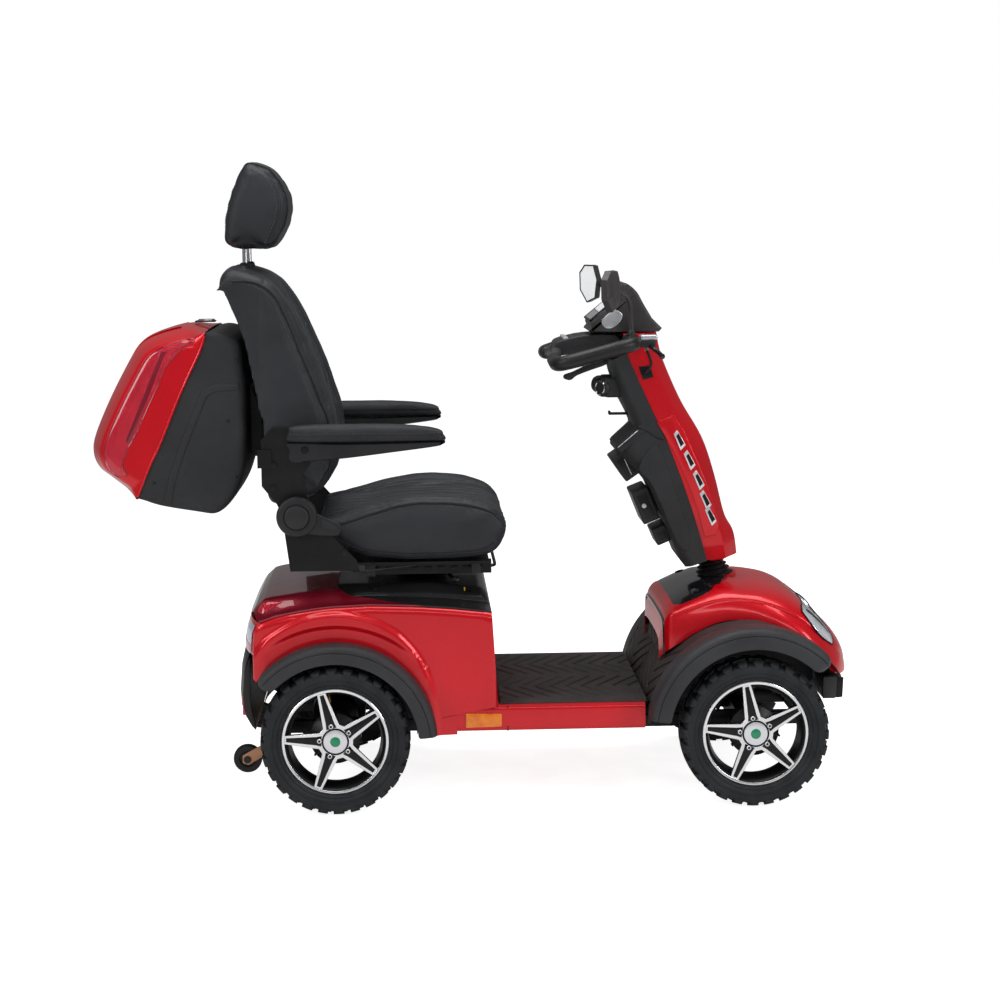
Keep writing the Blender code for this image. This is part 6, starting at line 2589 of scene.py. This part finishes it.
def mirrors():
    for side_name, side in (("right", RIGHT), ("left", LEFT)):
        body = f"mirror_{side_name}"
        outline = [
            (-0.034, -0.012), (-0.030, 0.030), (-0.006, 0.0455), (0.034, 0.040), (0.0455, 0.004),
            (0.030, -0.0395), (-0.008, -0.0455),
        ]
        turn = Matrix.Rotation(math.radians(-side * 62), 3, "Z") @ Matrix.Rotation(
            math.radians(-8), 3, "Y"
        )
        fine = []
        for i, (x, z) in enumerate(outline):
            ax, az = outline[i - 1]
            bx, bz = outline[(i + 1) % len(outline)]
            for a, b, share in ((ax, az, 0.22), (x, z, None), (bx, bz, 0.22)):
                fine.append((x, z) if share is None else (x + (a - x) * share, z + (b - z) * share))
        fine = curve_through(fine, 2, closed=True)
        centre = Vector((REAR + 0.612, side * 0.262, 1.136))

        def ring(scale, y):
            return [centre + turn @ Vector((x * scale, y, z * scale)) for x, z in fine]

        glass_way = 1.0 if (turn @ Vector((0, 1, 0))).x < 0 else -1.0
        rows = [
            ring(0.97, glass_way * 0.0080), ring(1.0, glass_way * 0.0095),
            ring(1.0, glass_way * 0.0040), ring(0.96, -glass_way * 0.0040),
            ring(0.72, -glass_way * 0.0098), ring(0.40, -glass_way * 0.0108),
            ring(0.02, -glass_way * 0.0109),
        ]
        shell = grid("mirror_shell", rows, SMOKE, close_across=True, crease=30)
        # The pane's glow is a painted reflection, not a lamp.
        pane = grid(
            "mirror_pane_painted_reflection",
            [
                ring(0.93, glass_way * 0.0084),
                ring(0.50, glass_way * 0.0088),
                ring(0.01, glass_way * 0.0089),
            ],
            MIRROR_PAINTED_REFLECTION,
            close_across=True,
        )
        rim = grid(
            "mirror_rim",
            [
                ring(0.92, glass_way * 0.0080),
                ring(0.935, glass_way * 0.0102),
                ring(0.99, glass_way * 0.0102),
                ring(1.0, glass_way * 0.0085),
            ],
            RIM_BLACK,
            close_across=True,
        )
        stem_line = [
            (0.668, 0.150, 1.035), (0.667, 0.150, 1.060), (0.6655, 0.1525, 1.080),
            (0.664, 0.158, 1.097), (0.655, 0.180, 1.119), (0.640, 0.215, 1.131),
            (0.620, 0.248, 1.135),
        ]
        stem = pipe(
            "stem",
            [(x, side * y, z) for x, y, z in stem_line],
            0.0052,
            SMOKE,
            sides=16,
            steps=5,
            taper=lambda t: 1.25 - 0.35 * t,
        )
        base = lathe(
            "stem_foot",
            [(0.0050, 0.0), (0.0092, 0.0), (0.0092, 0.006), (0.0070, 0.010), (0.0055, 0.011)],
            (REAR + 0.668, side * 0.150, 1.0345),
            (0, 0, 1),
            PLASTIC,
            steps=24,
            closed=True,
        )
        put(join(f"{body}_look", [shell, pane, rim, stem, base]), body, body, slot="grey_plastic")


def bellows():
    lean = Vector((-0.204, 0, 1)).normalized()
    foot = Vector((REAR + 0.872 + 0.204 * (0.483 - 0.4655), 0, 0.4655))
    folds = [
        (0.0420, 0.0), (0.0425, 0.0035), (0.0370, 0.0070), (0.0345, 0.0095), (0.0390, 0.0130),
        (0.0385, 0.0150), (0.0320, 0.0180), (0.0300, 0.0200), (0.0345, 0.0230), (0.0340, 0.0250),
        (0.0280, 0.0275), (0.0262, 0.0290), (0.0305, 0.0320), (0.0300, 0.0340), (0.0245, 0.0362),
        (0.0228, 0.0375), (0.0265, 0.0402), (0.0255, 0.0420), (0.0215, 0.0440),
    ]
    obj = lathe("tiller_boot", curve_through(folds, 3), foot, lean, BOOT, steps=64, crease=60)
    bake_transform(obj)
    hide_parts("tiller_bellows")


front_cover()
rear_cover()
dash()
handlebar()
levers()
mirrors()
bellows()


# Storage box

BOX_BACK = [
    (-0.4290, 0.6900), (-0.4390, 0.6800), (-0.4730, 0.7040), (-0.5050, 0.7300), (-0.5300, 0.7520),
    (-0.5410, 0.7820), (-0.5350, 0.8220), (-0.5000, 0.9020), (-0.4550, 0.9860), (-0.4280, 1.0260),
    (-0.3900, 1.0480), (-0.3260, 1.0640), (-0.2860, 1.0600), (-0.2705, 1.0565),
]
BOX_SPLIT = [
    (-0.4290, 0.6900), (-0.3990, 0.7620), (-0.3750, 0.8100), (-0.3280, 0.9200), (-0.2820, 1.0150),
    (-0.2700, 1.0520),
]
BOX_HALF = 0.2048


def box_rows(outer, split, count, half, edge, drawn):
    """Rows round the box from one side's split line over the outside to the other side's.

    drawn is how far the outline draws in towards the sides. The flank has FLANK columns a side.
    """
    rows = []
    path = along(curve_through(outer, 8), count + 1)
    inner = along(curve_through(split, 8), count + 1)
    for (ox, oz), (sx, sz) in zip(path, inner):
        length = max(1e-6, math.hypot(ox - sx, oz - sz))
        way = ((sx - ox) / length, (sz - oz) / length)
        most = min(drawn, length * 0.5)
        round_part = min(edge, (length - most) * 0.9)
        row = []
        for t in np.linspace(0.0, 1.0, FLANK + 1)[:-1]:
            gap = (length - most) * (1 - t)
            past = max(0.0, round_part - gap) / round_part
            x, z = ox + way[0] * (most + gap), oz + way[1] * (most + gap)
            row.append((x, half - round_part * 0.62 * (1 - math.sqrt(max(0.0, 1 - past**2))), z))
        reach = half - round_part * 0.62
        for t in np.linspace(0.0, 1.0, 22):
            y = reach * (1 - t)
            inset = most * (y / reach) ** 2.6
            row.append((ox + way[0] * inset, y, oz + way[1] * inset))
        left = [(REAR + x, y, z) for x, y, z in row]
        right = [(REAR + x, -y, z) for x, y, z in reversed(row[:-1])]
        rows.append(left + right)
    return rows


FLANK = 36


def box_lid():
    count = 120
    rows = box_rows(BOX_BACK, BOX_SPLIT, count, BOX_HALF, 0.036, 0.030)
    lid = face_out(grid("box_lid_skin", rows, [RED, RED_LENS], crease=42), (-1, 0, 0.3))
    columns = len(rows[0]) - 1
    # The see-through panel let into each flank, with a sunken line round it.
    bounds = [
        (0.0, 0.80), (0.16, 0.62), (0.35, 0.46), (0.60, 0.44), (0.80, 0.52), (0.95, 0.72), (1.0, 0.80)
    ]
    for face in lid.data.polygons:
        row, column = divmod(face.index, columns)
        share = (min(column, columns - 1 - column) + 0.5) / FLANK
        u = row / count
        if lookup(u, bounds) < share < 0.90 and 0.17 < u < 0.93:
            face.material_index = 1
    solid = lid.modifiers.new("wall", "SOLIDIFY")
    solid.thickness = 0.003
    solid.offset = -1.0
    bake(lid)
    smooth_off(lid, 42)
    pieces = [lid]
    for mirror in (False, True):
        line, rim = [], []
        for number in range(int(0.17 * count), int(0.93 * count) + 1, 3):
            row = rows[number]
            column = round(lookup(number / count, bounds) * FLANK)
            x, y, z = row[-1 - column if mirror else column]
            line.append((x - REAR, y, z))
            x, y, z = row[-1 - round(0.90 * FLANK) if mirror else round(0.90 * FLANK)]
            rim.append((x - REAR, y, z))
        ring = line + rim[::-1] + line[:1]
        pieces.append(pipe("lens_line", ring, 0.0013, DARK_RED, sides=8, steps=2))
        lip = [
            (x, y * 0.9995, z)
            for x, y, z in (
                (p[0] - REAR, p[1], p[2]) for p in (row[-1] if mirror else row[0] for row in rows[2:-2:4])
            )
        ]
        pieces.append(pipe("lid_lip", lip, 0.0026, RED, sides=10, steps=2))
    for side in (RIGHT, LEFT):
        strip = [
            (-0.3680, 1.0120), (-0.3540, 1.0160), (-0.4370, 0.8140), (-0.4480, 0.8080), (-0.4500, 0.8200)
        ]
        pieces.append(
            plate(
                "lens_strip", strip, side * (BOX_HALF - 0.0080), side * (BOX_HALF + 0.0001),
                DARK_RED, 0.0012, 2,
            )
        )
    # A raised centre fold down the back.
    path = along(curve_through(BOX_BACK, 8), 97)
    rear = []
    for number in range(12, 86):
        x, z = path[number]
        rise = math.sin(math.pi * (number - 12) / 73)
        rear.append(
            [
                (REAR + x + 0.0046 - 0.0044 * (1 - (v / 0.09) ** 2) * rise, v, z + 0.0004)
                for v in np.linspace(-0.09, 0.09, 15)
            ]
        )
    pieces.append(skin("lid_fold", rear, RED, (-1, 0, 0.2), 0.002, crease=42))
    put(join("box_lid_look", pieces), "box_lid", "box_lid", slot="red_paint")


BOX_FRONT = [
    (-0.4280, 0.6900), (-0.3790, 0.6710), (-0.2910, 0.6550), (-0.2590, 0.6510), (-0.2360, 0.6620),
    (-0.2180, 0.6840), (-0.2000, 0.7130), (-0.1860, 0.7610), (-0.1835, 0.8000), (-0.1830, 0.8700),
    (-0.1830, 0.9380), (-0.1880, 0.9900), (-0.1940, 1.0340), (-0.2250, 1.0520), (-0.2480, 1.0565),
    (-0.2690, 1.0520),
]


def box_shell():
    rows = box_rows(
        BOX_FRONT, [(x + 0.0006, z) for x, z in BOX_SPLIT], 110, BOX_HALF - 0.0018, 0.022, 0.004
    )
    shell = skin("box_shell_skin", rows, MATTE, (1, 0, -0.2), 0.003, crease=42)
    pieces = [shell]
    for side in (RIGHT, LEFT):
        bend = [
            (-0.3720, 0.6800), (-0.3530, 0.6780), (-0.3440, 0.7250), (-0.3200, 0.7950),
            (-0.2720, 0.9080), (-0.2620, 0.9190), (-0.2480, 0.9240), (-0.1990, 0.9270),
            (-0.1990, 0.9420), (-0.2500, 0.9405), (-0.2700, 0.9340), (-0.2850, 0.9180),
            (-0.3360, 0.8010), (-0.3600, 0.7300),
        ]
        pieces.append(
            plate(
                "bent_rib", bend, side * (BOX_HALF - 0.012), side * (BOX_HALF + 0.0002), MATTE, 0.0030, 3
            )
        )
        spots = [(-0.2100, 0.7350), (-0.2020, 0.9900), (-0.3900, 0.7250), (-0.2250, 0.8600)]
        pieces.append(
            dots(
                "rivet",
                [(REAR + x, side * (BOX_HALF - 0.0006), z) for x, z in spots],
                0.0032,
                STEEL,
                (0, side, 0),
            )
        )
    seal = [(x - 0.0004, z) for x, z in BOX_SPLIT]
    for side in (RIGHT, LEFT):
        pieces.append(
            pipe(
                "box_seal",
                [(x, side * (BOX_HALF - 0.0020), z) for x, z in seal],
                0.0018,
                RIM_BLACK,
                sides=8,
                steps=6,
            )
        )
    put(join("box_shell_look", pieces), "backrest", "box_shell", slot="black_plastic")


def box_latch():
    low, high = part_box("box_latch")
    x0, x1 = low.x - REAR, high.x - REAR
    pieces = [block("latch_base", (x0, low.y, low.z), (x1, high.y, low.z + 0.0030), PLASTIC, 0.0010)]
    pieces.append(
        block(
            "latch_lever",
            (x0 + 0.006, low.y + 0.003, low.z + 0.0026),
            (x1 - 0.003, high.y - 0.003, high.z),
            CHROME,
            0.0014,
        )
    )
    put(join("box_latch_look", pieces), "box_latch", "box_latch", slot="black_plastic")


box_lid()
box_shell()
box_latch()


# Frame under the bodywork

RAIL_LOW, RAIL_HIGH = 0.1340, 0.1660


def frame_rails():
    column_top = (0.872 + 0.204 * (0.483 - 0.415), 0.0, 0.415)
    column_foot = (0.872 + 0.204 * (0.483 - 0.245), 0.0, 0.245)
    post = middle("seat_post").x - REAR
    pieces = [
        block(
            "rear_beam", (-0.150, -0.195, RAIL_LOW), (-0.122, 0.195, RAIL_HIGH - 0.004), BRONZE, 0.003, 3
        ),
        block(
            "front_beam",
            (WHEELBASE - 0.018, -0.195, RAIL_LOW),
            (WHEELBASE + 0.018, 0.195, 0.182),
            STEEL,
            0.003,
            3,
        ),
        block("mid_beam", (0.330, -0.122, RAIL_LOW), (0.360, 0.122, RAIL_HIGH), STEEL, 0.003, 3),
        block("nose_beam", (1.060, -0.122, RAIL_LOW), (1.085, 0.122, 0.215), STEEL, 0.003, 3),
        block("post_beam", (0.170, -0.118, 0.398), (0.224, 0.118, 0.424), STEEL, 0.003, 3),
        lathe(
            "post_socket",
            [(0.0230, 0.0), (0.0335, 0.0), (0.0335, 0.140), (0.0230, 0.140)],
            (REAR + post, 0, 0.2820),
            (0, 0, 1),
            STEEL,
            steps=32,
            closed=True,
        ),
        pipe("head_tube", [column_foot, column_top], 0.0250, STEEL, sides=28, steps=1),
        block("head_stand", (0.885, -0.030, RAIL_HIGH - 0.010), (0.945, 0.030, 0.258), STEEL, 0.003, 3),
    ]
    for side in (RIGHT, LEFT):
        y = side * 0.107
        pieces.append(
            block(
                "rail",
                (-0.130, y - 0.014, RAIL_LOW + 0.001),
                (1.070, y + 0.014, RAIL_HIGH - 0.001),
                STEEL,
                0.003,
                3,
            )
        )
        pieces.append(
            block(
                "post_leg",
                (0.172, y - 0.011, RAIL_HIGH - 0.006),
                (0.222, y + 0.011, 0.405),
                STEEL,
                0.003,
                3,
            )
        )
        centre = middle(f"anti_tip_wheel_{'right' if side == RIGHT else 'left'}")
        x, z, wheel_y = centre.x - REAR, centre.z, abs(centre.y)
        arm = [
            (x - 0.011, z - 0.008), (x - 0.011, z + 0.009), (x - 0.004, z + 0.013),
            (x + 0.058, 0.149), (x + 0.084, 0.149), (x + 0.084, 0.128), (x + 0.066, 0.126),
            (x + 0.002, z - 0.013),
        ]
        pieces.append(
            plate(
                "anti_tip_arm", arm, side * (wheel_y + 0.0097), side * (wheel_y + 0.0143), BRONZE,
                0.0014, 2,
            )
        )
        pieces.append(
            block(
                "anti_tip_foot",
                (-0.148, min(side * 0.195, side * (wheel_y + 0.012)), 0.1165),
                (-0.123, max(side * 0.195, side * (wheel_y + 0.012)), 0.1375),
                BRONZE,
                0.002,
                2,
            )
        )
        pin = [
            (0.0001, -0.0115), (0.0055, -0.0110), (0.0055, 0.0140), (0.0085, 0.0142),
            (0.0085, 0.0158), (0.0001, 0.0160),
        ]
        pieces.append(
            lathe("anti_tip_pin", pin, (REAR + x, side * wheel_y, z), (0, side, 0), PLASTIC, steps=16)
        )
    put(join("main_frame_look", pieces), "chassis", "main_frame", slot="bronze_paint")


def arch_liners():
    """Dark splash guards over the wheels, inside the fenders."""
    pieces = []
    for centre, radius, span, far in (
        (REAR_ARCH, 0.1800, (4.0, 150.0), 0.2800), (FRONT_ARCH, 0.2290, (30.0, 166.0), 0.2580)
    ):
        for side in (RIGHT, LEFT):
            rows = []
            for number in range(61):
                angle = math.radians(span[0] + (span[1] - span[0]) * number / 60)
                ripple = 0.0012 * math.sin(number * 0.9)
                r = radius - 0.0015 + ripple
                rows.append(
                    [
                        (
                            REAR + centre[0] + r * math.cos(angle),
                            side * y,
                            centre[1] + r * math.sin(angle),
                        )
                        for y in np.linspace(0.125, far, 9)
                    ]
                )
            pieces.append(skin("liner", rows, MATTE, (0, 0, -1), 0.002))
            wall = []
            for number in range(61):
                angle = math.radians(span[0] + (span[1] - span[0]) * number / 60)
                wall.append(
                    [
                        (
                            REAR + centre[0] + r * math.cos(angle),
                            side * 0.1255,
                            centre[1] + r * math.sin(angle),
                        )
                        for r in np.linspace(0.085, radius - 0.001, 9)
                    ]
                )
            pieces.append(skin("liner_wall", wall, MATTE, (0, side, 0), 0.002))
    put(join("arch_liners", pieces), "chassis", slot="black_plastic")


def transaxle():
    axle = [
        (0.0001, -0.268), (0.0150, -0.268), (0.0200, -0.240), (0.0220, -0.110), (0.0430, -0.100),
        (0.0450, -0.050), (0.0600, -0.048), (0.0615, -0.030), (0.0610, 0.022), (0.0500, 0.030),
        (0.0495, 0.094), (0.0440, 0.0995), (0.0220, 0.1010), (0.0200, 0.240), (0.0150, 0.268),
        (0.0001, 0.268),
    ]
    centre = (REAR, 0, AXLE)
    pieces = [lathe("axle_case", axle, centre, (0, 1, 0), STEEL, steps=48, crease=30)]
    for number in range(12):
        angle = 2 * math.pi * number / 12
        x, z = 0.0497 * math.cos(angle), AXLE + 0.0497 * math.sin(angle)
        pieces.append(
            pipe("motor_fin", [(x, 0.0330, z), (x, 0.0930, z)], 0.0018, STEEL, sides=6, steps=1)
        )
    put(join("transaxle_look", pieces), "chassis", "transaxle", slot="black_steel")


def battery():
    low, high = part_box("battery_pack")
    x0, x1 = low.x - REAR, high.x - REAR
    pieces = [block("case", (x0, low.y, low.z), (x1, high.y, high.z - 0.012), PLASTIC, 0.005, 3),
              block("cover", (x0, low.y, high.z - 0.011), (x1, high.y, high.z), MATTE, 0.004, 3)]
    for number in range(7):
        y = low.y + 0.020 + number * (high.y - low.y - 0.040) / 6
        pieces.append(
            block(
                "case_rib",
                (x0 + 0.006, y - 0.002, low.z + 0.012),
                (x1 - 0.006, y + 0.002, high.z - 0.001),
                MATTE,
                0.001,
                1,
            )
        )
    put(join("battery_look", pieces), "chassis", "battery_pack", slot="black_plastic")


def seat_support():
    low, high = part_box("seat_post")
    mid = (low + high) / 2
    profile = [(0.0001, 0.0), (0.0205, 0.0), (0.0218, 0.002), (0.0218, high.z - low.z - 0.0090)]
    pieces = [lathe("post", profile, (mid.x, mid.y, low.z), (0, 0, 1), STEEL, steps=40)]
    half_x, half_y = (high.x - low.x) / 2, (high.y - low.y) / 2
    centre = mid.x - REAR
    pieces.append(
        block(
            "swivel_plate",
            (centre - half_x, -half_y, high.z - 0.0066),
            (centre + half_x, half_y, high.z),
            STEEL,
            0.0016,
            2,
        )
    )
    spots = [(mid.x - half_x + 0.014, b * (half_y - 0.014), high.z - 0.0066) for b in (-1, 1)]
    pieces.append(dots("plate_bolt", spots, 0.0060, CHROME, (0, 0, -1)))
    put(join("seat_post_look", pieces), "seat_turntable", "seat_post", slot="black_steel")
    shaft = pipe(
        "swivel_shaft",
        [
            (0.252, -0.060, 0.4938),
            (0.258, -0.100, 0.4938),
            (0.264, -0.145, 0.4940),
            (0.268, -0.173, 0.4942),
        ],
        0.0042,
        STEEL,
        sides=14,
        steps=5,
    )
    ball = lathe(
        "swivel_ball",
        [(0.0001, -0.0080), (0.0055, -0.0057), (0.0078, 0.0), (0.0055, 0.0057), (0.0001, 0.0080)],
        (REAR + 0.269, -0.1795, 0.4952),
        (0, 1, 0),
        GLOSSY,
        steps=24,
    )
    put(join("swivel_lever_look", [shaft, ball]), "swivel_lever", "swivel_lever", slot="black_steel")
    low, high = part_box("slide_lever")
    x0, x1, z = low.x - REAR, high.x - REAR, (low.z + high.z) / 2
    bar = [
        (x0 + 0.006, 0.122, z), (x1 - 0.012, 0.124, z), (x1 - 0.006, 0.112, z),
        (x1 - 0.005, 0.080, z), (x1 - 0.005, 0.0, z), (x1 - 0.005, -0.080, z),
        (x1 - 0.006, -0.112, z), (x1 - 0.012, -0.124, z), (x0 + 0.006, -0.122, z),
    ]
    put(
        pipe("slide_lever_look", bar, 0.0038, STEEL, sides=14, steps=6),
        "slide_lever",
        "slide_lever",
        slot="black_steel",
    )


frame_rails()
arch_liners()
transaxle()
battery()
seat_support()


# Frame parts that keep their CAD shape, with worked finishes


def repaint():
    finishes = {
        "bronze_paint": BRONZE, "black_steel": STEEL, "black_plastic": PLASTIC, "grey_plastic": SMOKE,
        "rubber": BOOT, "chrome": CHROME, "alloy": ALLOY, "leather": LEATHER, "red_paint": RED,
        "dark_red_paint": DARK_RED, "clear_lens": LENS, "red_lens": RED_LENS,
    }
    named = {row["node"]: row["material_slot"] for row in frame["record"]["subparts"]}
    for node, obj in frame["nodes"].items():
        if obj.hide_render:
            continue
        obj.data.materials.clear()
        obj.data.materials.append(finishes[named[node]])
        bevel = obj.modifiers.new("edges", "BEVEL")
        bevel.width = 0.0008
        bevel.segments = 2
        bevel.limit_method = "ANGLE"
        bevel.angle_limit = math.radians(40)
        smooth_off(obj, 40)


repaint()


# Studio


def studio():
    scene = bpy.context.scene
    world = bpy.data.worlds.new("studio")
    world.use_nodes = True
    nodes, links = world.node_tree.nodes, world.node_tree.links
    nodes["Background"].inputs["Color"].default_value = (1.0, 1.0, 1.0, 1.0)
    seen = nodes.new("ShaderNodeLightPath").outputs["Is Camera Ray"]
    share = nodes.new("ShaderNodeMapRange")
    share.inputs["To Min"].default_value = 0.17
    share.inputs["To Max"].default_value = 1.0
    links.new(seen, share.inputs["Value"])
    links.new(share.outputs["Result"], nodes["Background"].inputs["Strength"])
    scene.world = world
    scene.view_settings.view_transform = "Standard"

    ground = material(
        "pale_floor", (0.90, 0.90, 0.90), (0.87, 0.87, 0.87), 0.7, 0.05, grain=60.0, depth=0.02,
        specular=0.1, glow=0.9,
    )
    lit = ground.node_tree.nodes.new("ShaderNodeLightPath").outputs["Is Camera Ray"]
    ground.node_tree.links.new(lit, ground.node_tree.nodes["Principled BSDF"].inputs["Emission Strength"])
    floor = new_mesh(
        "floor",
        [(-30, -12, -0.0005), (30, -12, -0.0005), (30, 40, -0.0005), (-30, 40, -0.0005)],
        [(0, 1, 2, 3)],
        ground,
    )

    def lamp(name, at, aim, size, power, tall=None):
        data = bpy.data.lights.new(name, "AREA")
        data.shape = "RECTANGLE"
        data.size = size
        data.size_y = tall or size
        data.energy = power
        obj = bpy.data.objects.new(name, data)
        obj.location = at
        obj.rotation_mode = "QUATERNION"
        obj.rotation_quaternion = (Vector(aim) - Vector(at)).to_track_quat("-Z", "Y")
        scene.collection.objects.link(obj)
        obj.visible_camera = False

    lamp("top_box", (0.0, 0.0, 4.0), (0, 0, 0.5), 3.0, 110.0)
    lamp("left_box", (-3.4, -2.4, 2.6), (0, 0, 0.7), 1.2, 52.0, 2.4)
    lamp("right_box", (3.4, -2.6, 2.2), (0, 0, 0.6), 1.0, 52.0, 2.4)
    lamp("front_box", (0.0, -5.2, 3.2), (0, 0, 0.6), 3.2, 24.0, 0.8)

    camera = bpy.data.cameras.new("camera")
    camera.lens = 75.9
    camera.sensor_width = 36.0
    eye = bpy.data.objects.new("camera", camera)
    scene.collection.objects.link(eye)
    yaw, pitch, roll = math.radians(2.45), math.radians(-7.85), math.radians(-0.50)
    forward = Vector((math.sin(yaw) * math.cos(pitch), math.cos(yaw) * math.cos(pitch), math.sin(pitch)))
    right = Vector((math.cos(yaw), -math.sin(yaw), 0.0))
    up = right.cross(forward)
    across = math.cos(roll) * right + math.sin(roll) * up
    upward = -math.sin(roll) * right + math.cos(roll) * up
    turn = Matrix((across, upward, -forward)).transposed().to_4x4()
    eye.matrix_world = Matrix.Translation((-0.1395, -4.824, 1.314)) @ turn
    scene.camera = eye


studio()
